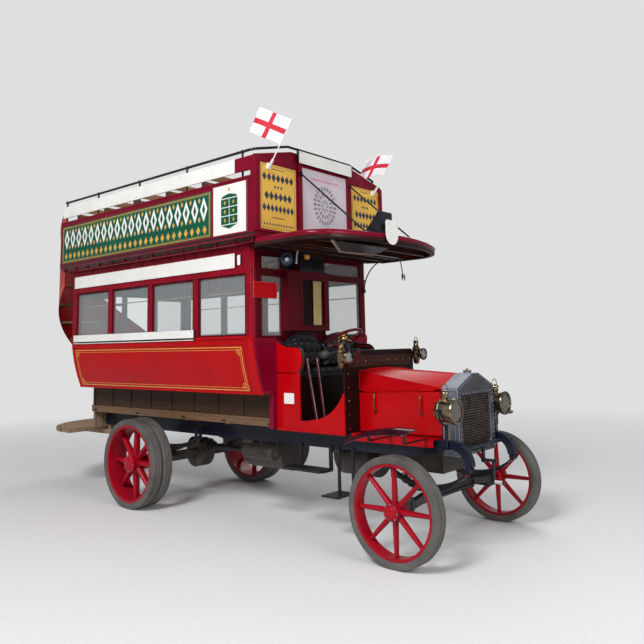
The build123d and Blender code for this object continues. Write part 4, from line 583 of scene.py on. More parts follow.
@dataclass
class Shape:
    """Corners and faces of one mesh under construction."""

    points: list[Vector] = field(default_factory=list)
    faces: list[tuple[int, ...]] = field(default_factory=list)

    def add(self, points: Iterable[Point], faces: Iterable[Sequence[int]]) -> "Shape":
        """Adds corners and the faces between them.

        Args:
            points: corners.
            faces: faces as indices into those corners.

        Returns:
            This shape.
        """
        start = len(self.points)
        self.points.extend(Vector(p) for p in points)
        self.faces.extend(tuple(start + i for i in face) for face in faces)
        return self

    def box(self, low: Point, high: Point) -> "Shape":
        """Adds an upright box between two opposite corners, given in any order."""
        xs, ys, zs = (sorted(pair) for pair in zip(low, high))
        corners = [(x, y, z) for x in xs for y in ys for z in zs]
        return self.add(corners, [(0, 1, 3, 2), (4, 6, 7, 5), (0, 4, 5, 1), (2, 3, 7, 6), (0, 2, 6, 4),
                                  (1, 5, 7, 3)])

    def frame(self, back: float, front: float, opening: Sequence[float], wide: float) -> "Shape":
        """Adds a flat frame of four bars round an opening that faces along the bus.

        Args:
            back: X of its back.
            front: X of its front.
            opening: left, right, low and high edge.
            wide: width of the bars.

        Returns:
            This shape.
        """
        left, right, low, high = opening
        for a, b in (((left - wide, low - wide), (right + wide, low)),
                     ((left - wide, high), (right + wide, high + wide)),
                     ((left - wide, low), (left, high)), ((right, low), (right + wide, high))):
            self.box((back, *a), (front, *b))
        return self

    def block(self, centre: Point, size: Point) -> "Shape":
        """Adds an upright box about its centre."""
        middle, half = Vector(centre), Vector(size) / 2
        return self.box(middle - half, middle + half)

    def prism(self, outline: Sequence[Point], way: Point) -> "Shape":
        """Adds a flat outline drawn out along a vector.

        Args:
            outline: corners in order.
            way: the vector it is drawn along.

        Returns:
            This shape.
        """
        count, step = len(outline), Vector(way)
        corners = [Vector(p) for p in outline]
        faces = [tuple(range(count)), tuple(range(count, 2 * count))]
        faces += [(i, (i + 1) % count, count + (i + 1) % count, count + i) for i in range(count)]
        return self.add(corners + [c + step for c in corners], faces)

    def rings(self, rings: Sequence[Sequence[Point]], closed: bool = False, capped: bool = True) -> "Shape":
        """Adds a skin over rings of equal count.

        Args:
            rings: the rings in order.
            closed: whether the last ring joins the first.
            capped: whether both ends are filled.

        Returns:
            This shape.
        """
        count, rows = len(rings[0]), len(rings)
        faces = [
            (r * count + i, r * count + (i + 1) % count, (r + 1) % rows * count + (i + 1) % count,
             (r + 1) % rows * count + i)
            for r in range(rows if closed else rows - 1)
            for i in range(count)
        ]
        if capped and not closed:
            faces += [tuple(range(count)), tuple((rows - 1) * count + i for i in range(count))]
        return self.add([p for ring in rings for p in ring], faces)

    def tube(self, path: Sequence[Point], radius: float, sides: int = 10, closed: bool = False,
             radii: Sequence[float] | None = None) -> "Shape":
        """Adds a round tube along a path.

        Args:
            path: points of the centre line.
            radius: radius of the tube.
            sides: faces round it.
            closed: whether the path is a loop.
            radii: radius at each point, in place of one radius.

        Returns:
            This shape.
        """
        line = [Vector(p) for p in path]
        count = len(line)
        rings = []
        up = None
        for i, point in enumerate(line):
            ahead = line[(i + 1) % count] if closed or i + 1 < count else point
            behind = line[i - 1] if closed or i else point
            way = (ahead - behind).normalized()
            if up is None:
                up = Vector((0, 0, 1)) if abs(way.z) < 0.9 else Vector((1, 0, 0))
            across = way.cross(up).normalized()
            up = across.cross(way).normalized()
            r = radii[i] if radii else radius
            rings.append([
                point + across * (r * math.cos(2 * math.pi * k / sides))
                + up * (r * math.sin(2 * math.pi * k / sides))
                for k in range(sides)
            ])
        return self.rings(rings, closed=closed)

    def lathe(self, profile: Sequence[tuple[float, float]], centre: Point, axis: Point, sides: int = 32,
              loop: bool = False) -> "Shape":
        """Adds a profile turned about an axis.

        Args:
            profile: (distance along the axis, radius) of each corner; a radius of 0 closes to a point.
            centre: point on the axis that distances are measured from.
            axis: direction of the axis.
            sides: faces round it.
            loop: whether the profile's last corner joins its first.

        Returns:
            This shape.
        """
        way = Vector(axis).normalized()
        first = way.cross(Vector((0, 0, 1)) if abs(way.z) < 0.9 else Vector((1, 0, 0))).normalized()
        second = way.cross(first)
        rings = []
        for along, radius in profile:
            rings.append([
                Vector(centre) + way * along
                + (first * math.cos(2 * math.pi * k / sides)
                   + second * math.sin(2 * math.pi * k / sides)) * max(radius, 1e-5)
                for k in range(sides)
            ])
        return self.rings(rings, closed=loop, capped=not loop)

    def ball(self, centre: Point, radius: float, sides: int = 16) -> "Shape":
        """Adds a ball."""
        steps = sides // 2
        profile = [(-radius * math.cos(math.pi * i / steps),
                    radius * math.sin(math.pi * i / steps)) for i in range(steps + 1)]
        return self.lathe(profile, centre, (0, 0, 1), sides)

    def ribbon(self, path: Sequence[Point], lifts: Sequence[Point], width: float, thick: float,
               closed: bool = False) -> "Shape":
        """Adds a flat strip along a path that lies on a surface.

        Args:
            path: points of the strip's middle line, on the surface.
            lifts: the surface's outward direction at each point.
            width: width of the strip.
            thick: how far it stands proud.
            closed: whether the path is a loop.

        Returns:
            This shape.
        """
        line = [Vector(p) for p in path]
        count = len(line)
        rings = []
        for i, point in enumerate(line):
            ahead = line[(i + 1) % count] if closed or i + 1 < count else point
            behind = line[i - 1] if closed or i else point
            lift = Vector(lifts[i]).normalized()
            across = (ahead - behind).cross(lift).normalized() * width / 2
            base = point - lift * 0.0004
            top = point + lift * thick
            rings.append([base - across, base + across, top + across, top - across])
        return self.rings(rings, closed=closed)

    def bead(self, path: Sequence[Point], radius: float, sides: int = 8) -> "Shape":
        """Adds a round bead moulding along a path."""
        return self.tube(path, radius, sides)


@dataclass
class Piece:
    """A finished piece of the bus."""

    name: str
    shape: Shape
    finish: Finish | bpy.types.Material
    body: str = "bus"
    slot: str = ""
    bevel: float = 0.0
    smooth: float = 38.0
    subdivide: int = 0

    def make(self) -> bpy.types.Object:
        """Turns the shape into an object that rides on its body.

        Returns:
            The object.
        """
        mesh = bpy.data.meshes.new(self.name)
        mesh.from_pydata(self.shape.points, [], self.shape.faces)
        work = bmesh.new()
        work.from_mesh(mesh)
        bmesh.ops.remove_doubles(work, verts=work.verts, dist=2e-5)
        bmesh.ops.dissolve_degenerate(work, edges=work.edges, dist=1e-6)
        bmesh.ops.recalc_face_normals(work, faces=work.faces)
        work.to_mesh(mesh)
        work.free()
        mesh.shade_smooth()
        mesh.set_sharp_from_angle(angle=math.radians(self.smooth))
        thing = bpy.data.objects.new(self.name, mesh)
        bpy.context.scene.collection.objects.link(thing)
        if self.bevel:
            edge = thing.modifiers.new("edge", "BEVEL")
            edge.width = self.bevel
            edge.segments = 2
            edge.limit_method = "ANGLE"
            edge.angle_limit = math.radians(35)
        if self.subdivide:
            round_off = thing.modifiers.new("round", "SUBSURF")
            round_off.levels = round_off.render_levels = self.subdivide
        settle(thing, self.finish, self.body)
        log.info("piece %s: %d faces on %s", self.name, len(mesh.polygons), self.body)
        return thing


def settle(thing: bpy.types.Object, finish: Finish | bpy.types.Material, body: str) -> None:
    """Gives an object its material and body.

    Args:
        thing: the object.
        finish: its finish or material.
        body: name of the body it rides on.
    """
    material = finish.material() if isinstance(finish, Finish) else finish
    thing.data.materials.clear()
    thing.data.materials.append(material)
    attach(thing, body)


class Head(Enum):
    """Shape of a repeated small part."""

    DOME = "dome"
    HEX = "hex"
    BAR = "bar"
    LOZENGE = "lozenge"


@dataclass
class Row:
    """Small parts repeated over marked points by Geometry Nodes."""

    name: str
    head: Head
    size: tuple[float, float, float]
    finish: Finish
    body: str = "bus"
    slot: str = ""
    marks: list[tuple[Vector, Vector]] = field(default_factory=list)

    def mark(self, place: Point, facing: Point) -> "Row":
        """Marks one place with the direction its part faces."""
        self.marks.append((Vector(place), Vector(facing).normalized()))
        return self

    def run(self, start: Point, end: Point, count: int, facing: Point) -> "Row":
        """Marks evenly spaced places between two points.

        Args:
            start: first place.
            end: last place.
            count: how many.
            facing: direction that they face.

        Returns:
            This row.
        """
        first, last = Vector(start), Vector(end)
        for i in range(count):
            self.mark(first.lerp(last, i / max(count - 1, 1)), facing)
        return self

    def ring(self, centre: Point, axis: Point, radius: float, count: int, start: float = 0.0) -> "Row":
        """Marks places round a circle, all facing along its axis.

        Args:
            centre: middle of the circle.
            axis: its axis.
            radius: its radius.
            count: how many.
            start: turn of the first, in degrees.

        Returns:
            This row.
        """
        way = Vector(axis).normalized()
        first = way.cross(Vector((0, 0, 1)) if abs(way.z) < 0.9 else Vector((1, 0, 0))).normalized()
        second = way.cross(first)
        for k in range(count):
            turn = math.radians(start) + 2 * math.pi * k / count
            self.mark(Vector(centre) + (first * math.cos(turn) + second * math.sin(turn)) * radius, way)
        return self

    def tree(self, material: bpy.types.Material) -> bpy.types.NodeTree:
        """Builds the node tree that puts a head on each marked point.

        Args:
            material: material of the heads.

        Returns:
            The node tree.
        """
        tree = bpy.data.node_groups.new(f"row_{self.name}", "GeometryNodeTree")
        face = tree.interface
        face.new_socket(name="Marks", in_out="INPUT", socket_type="NodeSocketGeometry")
        for word in ("Width", "Length", "Height"):
            face.new_socket(name=word, in_out="INPUT", socket_type="NodeSocketFloat")
        face.new_socket(name="Result", in_out="OUTPUT", socket_type="NodeSocketGeometry")
        inlet, outlet = tree.nodes.new("NodeGroupInput"), tree.nodes.new("NodeGroupOutput")
        size = tree.nodes.new("ShaderNodeCombineXYZ")
        for axis, word in enumerate(("Width", "Length", "Height")):
            tree.links.new(inlet.outputs[word], size.inputs[axis])
        if self.head is Head.DOME:
            head = tree.nodes.new("GeometryNodeMeshUVSphere")
            head.inputs["Segments"].default_value = 8
            head.inputs["Rings"].default_value = 4
            head.inputs["Radius"].default_value = 0.5
        elif self.head is Head.BAR:
            head = tree.nodes.new("GeometryNodeMeshCube")
            head.inputs["Size"].default_value = (1, 1, 1)
        else:
            head = tree.nodes.new("GeometryNodeMeshCylinder")
            head.inputs["Vertices"].default_value = 6 if self.head is Head.HEX else 4
            head.inputs["Radius"].default_value = 0.5
            head.inputs["Depth"].default_value = 1.0
        instance = tree.nodes.new("GeometryNodeInstanceOnPoints")
        facing = tree.nodes.new("GeometryNodeInputNamedAttribute")
        facing.data_type = "FLOAT_VECTOR"
        facing.inputs["Name"].default_value = "facing"
        align = tree.nodes.new("FunctionNodeAlignRotationToVector")
        align.axis = "Z"
        realize = tree.nodes.new("GeometryNodeRealizeInstances")
        paint = tree.nodes.new("GeometryNodeSetMaterial")
        paint.inputs["Material"].default_value = material
        points = tree.nodes.new("GeometryNodeMeshToPoints")
        tree.links.new(inlet.outputs["Marks"], points.inputs["Mesh"])
        tree.links.new(points.outputs["Points"], instance.inputs["Points"])
        tree.links.new(head.outputs["Mesh"], instance.inputs["Instance"])
        tree.links.new(facing.outputs["Attribute"], align.inputs["Vector"])
        tree.links.new(align.outputs["Rotation"], instance.inputs["Rotation"])
        tree.links.new(size.outputs["Vector"], instance.inputs["Scale"])
        tree.links.new(instance.outputs["Instances"], realize.inputs["Geometry"])
        tree.links.new(realize.outputs["Geometry"], paint.inputs["Geometry"])
        tree.links.new(paint.outputs["Geometry"], outlet.inputs["Result"])
        return tree

    def make(self) -> bpy.types.Object:
        """Runs the tree over the marks and keeps its result as a plain mesh.

        Returns:
            The object.
        """
        mesh = bpy.data.meshes.new(f"{self.name}_marks")
        mesh.from_pydata([place for place, _ in self.marks], [], [])
        attribute = mesh.attributes.new("facing", "FLOAT_VECTOR", "POINT")
        attribute.data.foreach_set("vector", [c for _, way in self.marks for c in way])
        thing = bpy.data.objects.new(self.name, mesh)
        bpy.context.scene.collection.objects.link(thing)
        material = self.finish.material()
        modifier = thing.modifiers.new("row", "NODES")
        tree = self.tree(material)
        modifier.node_group = tree
        inputs = {item.name: item.identifier for item in tree.interface.items_tree if item.in_out == "INPUT"}
        for word, value in zip(("Width", "Length", "Height"), self.size):
            modifier[inputs[word]] = value
        bpy.context.view_layer.update()
        graph = bpy.context.evaluated_depsgraph_get()
        result = bpy.data.meshes.new_from_object(thing.evaluated_get(graph))
        thing.modifiers.clear()
        thing.data = result
        bpy.data.meshes.remove(mesh)
        result.name = self.name
        if self.head is Head.DOME:
            result.shade_smooth()
        settle(thing, self.finish, self.body)
        log.info("row %s: %d parts on %s", self.name, len(self.marks), self.body)
        return thing


DECK_FACE = 1.060
DECK_FRONT = at(-1.440)
FLOOR_TOP = 2.900
TUMBLE_UNDER = ((0.790, 1.298), (0.8848, 1.5815), (0.930, 1.865))
FRAME_RAIL_FACE = 0.4302
DECK_RAIL_TOP = 3.735
BACKDROP = (0.74, 0.74, 0.74, 1)
POLE_LENGTH = 0.520
POLE_LEAN = math.radians(37.5)
POLE_WAY = Vector((math.sin(POLE_LEAN), 0, math.cos(POLE_LEAN)))


def pole_foot(side: int) -> Vector:
    """Foot of a side's flag pole."""
    return Vector((at(-1.410), side * 0.880, 3.560))


def lozenge_band(name: str, side: int, z: float, size: Point, finish: Finish, start: float, end: float,
                 count: int,
                 proud: float, slot: str = "panel_paint") -> bpy.types.Object:
    """A band of lozenges along a deck side.

    Args:
        name: name of the piece.
        side: -1 offside, 1 nearside.
        z: height of the band.
        size: width, height and thickness of a lozenge.
        finish: paint of the band.
        start: station of the first.
        end: station of the last.
        count: how many.
        proud: how far it stands off the panel.
        slot: material slot; kept on the row but not used.

    Returns:
        The object.
    """
    y = side * (DECK_FACE + proud)
    row = Row(name, Head.LOZENGE, tuple(size), finish, slot=slot)
    return row.run((at(start), y, z), (at(end), y, z), count, (0, side, 0)).make()


@dataclass
class UpperDeck:
    """Advertisement boards, mouldings, brackets and floor slats of the upper deck."""

    board: float = 0.004
    green: tuple[float, float, float, float] = (-5.105, -2.090, 2.905, 3.395)
    white: tuple[float, float, float, float] = (-2.052, -1.560, 2.903, 3.418)
    mustard: tuple[float, float, float, float] = (0.468, 0.997, 2.926, 3.602)
    poster: tuple[float, float, float, float] = (-0.376, 0.376, 2.935, 3.655)
    cap_top: float = 3.462

    def make(self) -> None:
        """Builds everything on the upper deck."""
        for side, word in SIDES:
            self.side_board(side, word)
            self.emblem(side, word)
            self.side_mouldings(side, word)
            self.mustard_board(side, word)
        self.front_poster()
        self.name_board()
        self.front_caps()
        self.floor_slats()
        self.fittings()

    def side_board(self, side: int, word: str) -> None:
        """The green board with its gold lines and bands of lozenges, and the white board.

        Args:
            side: -1 offside, 1 nearside.
            word: name of the side.
        """
        start, end, low, high = self.green
        face = side * DECK_FACE
        proud_face = face + side * self.board
        Piece(f"green_board_{word}", Shape().box((at(start), face, low), (at(end), proud_face, high)),
              BOTTLE_GREEN, bevel=0.0015).make()
        lines = Shape()
        for inset, width in ((0.018, 0.007), (0.032, 0.0028)):
            corners = self.drawn_in((at(start), at(end), low, high), inset)
            self.flat_loop(lines, [(x, proud_face, z) for x, z in corners], (0, side, 0), width, 0.0010)
        Piece(f"green_board_lines_{word}", lines, GOLD_LEAF).make()
        proud = self.board + 0.0008
        lozenge_band(f"tall_lozenges_{word}", side, 3.215, (0.118, 0.262, 0.0024), WHITE_PAINT, -2.205, -4.99,
                     20, proud)
        lozenge_band(f"tall_lozenge_hearts_{word}", side, 3.215, (0.050, 0.128, 0.0034), BOTTLE_GREEN, -2.205,
                     -4.99, 20, proud)
        pitch = (4.99 - 2.205) / 19
        for name, z in (("upper", 3.318), ("lower", 3.112)):
            lozenge_band(f"gold_studs_{name}_{word}", side, z, (0.042, 0.062, 0.0024), GOLD_LEAF,
                         -2.205 - pitch / 2,
                         -4.99 + pitch / 2, 19, proud, "brass")
        lozenge_band(f"gold_band_{word}", side, 2.996, (0.066, 0.092, 0.0024), GOLD_LEAF, -2.19, -5.0, 28,
                     proud, "brass")
        start, end, low, high = self.white
        Piece(f"white_board_{word}", Shape().box((at(start), face, low), (at(end), proud_face, high)),
              WHITE_PAINT, bevel=0.0015).make()

    @staticmethod
    def drawn_in(edges: tuple[float, float, float, float], inset: float) -> list[tuple[float, float]]:
        """Corners of a rectangle that is drawn in from its edges, in order.

        Args:
            edges: left, right, low and high edge.
            inset: how far it is drawn in.

        Returns:
            The four corners.
        """
        left, right, low, high = edges
        return [(left + inset, low + inset), (right - inset, low + inset), (right - inset, high - inset),
                (left + inset, high - inset)]

    @staticmethod
    def flat_loop(shape: Shape, corners: Sequence[Point], lift: Point, width: float, thick: float) -> None:
        """Adds a mitred line round a flat four-sided loop.

        Args:
            shape: shape that gets the line.
            corners: corners of its middle line, in order.
            lift: outward direction of the surface.
            width: width of the line.
            thick: how far it stands proud.
        """
        middle = sum((Vector(c) for c in corners), Vector()) / len(corners)
        up = Vector(lift)
        outer, inner = [], []
        for i, corner in enumerate(corners):
            here = Vector(corner)
            before = (here - Vector(corners[i - 1])).normalized()
            after = (Vector(corners[(i + 1) % len(corners)]) - here).normalized()
            away = (before - after).normalized()
            if away.dot(here - middle) < 0:
                away = -away
            reach = width / 2 * math.sqrt(2)
            outer.append(here + away * reach)
            inner.append(here - away * reach)
        count = len(corners)
        points = [p + up * h for h in (-0.0004, thick) for p in outer + inner]
        faces = []
        for i in range(count):
            j = (i + 1) % count
            faces += [(i, j, count + j, count + i),
                      (2 * count + i, 2 * count + j, 3 * count + j, 3 * count + i),
                      (i, j, 2 * count + j, 2 * count + i),
                      (count + i, count + j, 3 * count + j, 3 * count + i)]
        shape.add(points, faces)

    def emblem(self, side: int, word: str) -> None:
        """A green lattice emblem with gold lozenges on the white board.

        Args:
            side: -1 offside, 1 nearside.
            word: name of the side.
        """
        middle, low = at(-1.806), 3.010
        wide, tall, gap = 0.118, 0.080, 0.010
        y = DECK_FACE + self.board
        tiles = Shape()
        gold = Row(f"emblem_gold_{word}", Head.LOZENGE, (0.030, 0.046, 0.003), GOLD_LEAF)
        for column in (-1, 1):
            for level in range(3):
                x = middle + column * (wide + gap) / 2
                z = low + tall / 2 + level * (tall + gap)
                tiles.block((x, side * (y + 0.0006), z), (wide, 0.0032, tall))
                gold.mark((x, side * (y + 0.0016), z), (0, side, 0))
        span = wide + gap / 2
        crown = [(middle - span, low + 3 * (tall + gap)), (middle + span, low + 3 * (tall + gap)),
                 (middle + span * 0.8, low + 3 * (tall + gap) + 0.024),
                 (middle, low + 3 * (tall + gap) + 0.042),
                 (middle - span * 0.8, low + 3 * (tall + gap) + 0.024)]
        tiles.prism([(x, side * (y - 0.001), z) for x, z in crown], (0, side * 0.0032, 0))
        foot = [(middle - span, low - gap), (middle + span, low - gap), (middle, low - gap - 0.040)]
        tiles.prism([(x, side * (y - 0.001), z) for x, z in foot], (0, side * 0.0032, 0))
        Piece(f"emblem_{word}", tiles, BOTTLE_GREEN).make()
        gold.mark((middle, side * (y + 0.0012), low + 3 * (tall + gap) + 0.085), (0, side, 0))
        gold.make()

    def side_mouldings(self, side: int, word: str) -> None:
        """Top cap, corner post, divider beads and the double cornice bead of one side.

        Args:
            side: -1 offside, 1 nearside.
            word: name of the side.
        """
        rear, front = at(-5.150), DECK_FRONT
        shape = Shape()
        inner, outer = side * 1.030, side * 1.068
        shape.box((rear, inner, 3.440), (front, outer, self.cap_top))
        inner, outer = side * 1.038, side * 1.0615
        shape.box((at(-1.728), inner, 3.520), (front - 0.002, outer, 3.662))
        shape.box((front - 0.060, inner, self.cap_top), (front - 0.002, outer, 3.520))
        Piece(f"deck_cap_{word}", shape, CORNICE_RED, bevel=0.004).make()
        beads = Shape()
        for station in (-1.545, -2.071, -5.125):
            beads.bead([(at(station), side * (DECK_FACE + 0.002), 2.900),
                        (at(station), side * (DECK_FACE + 0.002), 3.440)], 0.009)
        beads.bead([(rear, side * (DECK_FACE + 0.002), 2.897), (front, side * (DECK_FACE + 0.002), 2.897)],
                   0.012)
        beads.bead([(rear, side * (DECK_FACE + 0.001), 2.858), (front, side * (DECK_FACE + 0.001), 2.858)],
                   0.010)
        beads.bead([(rear, side * 1.000, 2.806), (front, side * 1.000, 2.806)], 0.011)
        Piece(f"deck_beads_{word}", beads, CORNICE_RED).make()
        # A gloss black strip between the cornice beads paints the shade in their recess.
        shade_strip = Shape()
        low, high = side * (DECK_FACE - 0.001), side * (DECK_FACE + 0.0025)
        shade_strip.box((rear, low, 2.866), (front, high, 2.887))
        Piece(f"cornice_shade_strip_{word}", shade_strip, GLOSS_BLACK).make()
        screws = Row(f"deck_screws_{word}", Head.DOME, (0.012, 0.012, 0.007), BRASS)
        screws.run((at(-1.80), side * (DECK_FACE + 0.0005), 3.640),
                   (at(-5.06), side * (DECK_FACE + 0.0005), 3.640), 9, (0, side, 0))
        screws.run((at(-1.80), side * (DECK_FACE + 0.0005), 3.540),
                   (at(-5.06), side * (DECK_FACE + 0.0005), 3.540), 9, (0, side, 0))
        screws.make()
        ribs = Row(f"cornice_brackets_{word}", Head.BAR, (0.022, 0.055, 0.060), CORNICE_RED)
        ribs.run((at(-1.50), side * 1.010, 2.832), (at(-5.10), side * 1.010, 2.832), 14, (0, 0, 1))
        ribs.make()

    def mustard_board(self, side: int, word: str) -> None:
        """A mustard board on the deck's front, with ruled lines and rows of lozenges.

        Args:
            side: -1 offside, 1 nearside.
            word: name of the side.
        """
        near, far, low, high = self.mustard
        y_low, y_high = sorted((side * near, side * far))
        Piece(f"mustard_board_{word}", Shape().box((DECK_FRONT - 0.001, y_low, low),
                                                   (DECK_FRONT + self.board, y_high, high)),
              MUSTARD, bevel=0.0015).make()
        frame = Shape().frame(DECK_FRONT - 0.001, DECK_FRONT + 0.011, (y_low, y_high, low, high), 0.014)
        Piece(f"mustard_frame_{word}", frame, CORNICE_RED, bevel=0.003).make()
        middle = (y_low + y_high) / 2
        face = DECK_FRONT + self.board
        lines = Shape()
        corners = self.drawn_in((y_low, y_high, low, high), 0.022)
        self.flat_loop(lines, [(face, y, z) for y, z in corners], (1, 0, 0), 0.0035, 0.0008)
        for z, half in ((3.555, 0.085), (3.055, 0.085)):
            lines.box((face - 0.0004, middle - half, z - 0.004), (face + 0.0009, middle + half, z + 0.004))
        Piece(f"mustard_lines_{word}", lines, INK_BLUE).make()
        for name, z, size, count, half in (("first", 3.465, (0.088, 0.058), 7, 0.195),
                                           ("second", 3.372, (0.036, 0.030), 3, 0.045),
                                           ("third", 3.275, (0.092, 0.064), 6, 0.165),
                                           ("fourth", 3.150, (0.084, 0.052), 8, 0.200),
                                           ("fifth", 2.985, (0.030, 0.024), 11, 0.200)):
            row = Row(f"mustard_{name}_row_{word}", Head.LOZENGE, (size[0], size[1], 0.0018), INK_BLUE)
            row.run((face + 0.0005, middle - half, z), (face + 0.0005, middle + half, z), count,
                    (1, 0, 0)).make()

    def front_poster(self) -> None:
        """The pale centre board with a wreath of petals between two ruled bands."""
        y_low, y_high, low, high = self.poster
        face = DECK_FRONT + self.board
        Piece("poster_board", Shape().box((DECK_FRONT - 0.001, y_low, low), (face, y_high, high)), PAPER_PALE,
              bevel=0.001).make()
        middle = (y_low + y_high) / 2
        bands = Shape()
        for z, half, tall in ((3.560, 0.235, 0.030), (3.604, 0.160, 0.010), (3.004, 0.235, 0.020),
                              (2.972, 0.160, 0.008)):
            bands.box((face - 0.0004, middle - half, z - tall / 2),
                      (face + 0.0007, middle + half, z + tall / 2))
        corners = self.drawn_in(self.poster, 0.018)
        self.flat_loop(bands, [(face, y, z) for y, z in corners], (1, 0, 0), 0.003, 0.0007)
        Piece("poster_bands", bands, PAPER_ROSE).make()
        for name, radius, size, count in (("outer", 0.165, (0.072, 0.034), 24),
                                          ("middle", 0.105, (0.060, 0.030), 16),
                                          ("inner", 0.046, (0.046, 0.024), 8)):
            petals = Shape()
            for k in range(count):
                turn = 2 * math.pi * k / count
                out = Vector((0, math.cos(turn), math.sin(turn) * 1.18))
                along = Vector((0, math.cos(turn), math.sin(turn))) * size[0] / 2
                wide = Vector((0, -math.sin(turn), math.cos(turn))) * size[1] / 2
                centre = Vector((face - 0.0004, middle, 3.285)) + out * radius
                petals.prism([centre - along, centre + wide, centre + along, centre - wide], (0.0012, 0, 0))
            Piece(f"poster_wreath_{name}", petals, PAPER_GREY).make()

    def name_board(self) -> None:
        """Black end blocks, lips and screws of the blank name board."""
        face = DECK_FRONT + 0.038
        ends = Shape()
        for side in (-1, 1):
            low, high = side * 0.446, side * 0.462
            ends.box((face - 0.020, low, 3.683), (face + 0.002, high, 3.817))
        ends.box((face - 0.019, -0.446, 3.8145), (face + 0.001, 0.446, 3.818))
        ends.box((face - 0.019, -0.446, 3.682), (face + 0.001, 0.446, 3.6855))
        Piece("name_board_ends", ends, GLOSS_BLACK, bevel=0.001).make()
        screws = Row("name_board_screws", Head.DOME, (0.010, 0.010, 0.006), BRASS)
        for z in (3.700, 3.800):
            screws.run((face, -0.425, z), (face, 0.425, z), 3, (1, 0, 0))
        screws.make()

    def front_caps(self) -> None:
        """Rounded capping along the top of the front panel, down both slopes."""
        x = DECK_FRONT - 0.0125
        path = [(x, -1.055, 3.653), (x, -0.522, 3.779), (x, 0.522, 3.779), (x, 1.055, 3.653)]
        Piece("front_cap", Shape().tube(path, 0.017, 10), CORNICE_RED).make()
        foot = Shape().box((DECK_FRONT - 0.002, -1.000, 2.899), (DECK_FRONT + 0.016, 1.000, 2.916))
        Piece("front_foot_rail", foot, CORNICE_RED, bevel=0.003).make()

    def floor_slats(self) -> None:
        """Slats along the deck floor."""
        row = Row("deck_floor_slats", Head.BAR, (3.56, 0.048, 0.012), SLAT_OAK)
        row.run((at(-3.295), -0.96, FLOOR_TOP + 0.006), (at(-3.295), 0.96, FLOOR_TOP + 0.006), 22, (0, 0, 1))
        row.make()

    def fittings(self) -> None:
        """Flanges under the stanchions, collars on the rail and sockets of the flag poles."""
        flanges, collars = Shape(), Shape()
        for side in (-1, 1):
            for station in (-1.650, -2.540, -3.430, -4.320, -5.080):
                flanges.lathe([(0, 0.032), (0.006, 0.032), (0.016, 0.017), (0.030, 0.0155), (0.030, 0.0)],
                              (at(station), side * 1.020, FLOOR_TOP + 0.011), (0, 0, 1), 20)
                collars.ball((at(station), side * 1.020, DECK_RAIL_TOP), 0.021, 12)
        Piece("stanchion_flanges", flanges, GLOSS_BLACK).make()
        Piece("rail_collars", collars, GLOSS_BLACK).make()
        sockets, trucks = Shape(), Shape()
        for side in (-1, 1):
            foot = pole_foot(side)
            sockets.lathe([(0, 0.0), (0, 0.014), (0.004, 0.016), (0.085, 0.013), (0.085, 0.0)], foot,
                          POLE_WAY, 16)
            trucks.ball(foot + POLE_WAY * POLE_LENGTH, 0.012, 12)
        Piece("flag_sockets", sockets, WHITE_PAINT).make()
        Piece("flag_pole_trucks", trucks, WHITE_PAINT).make()


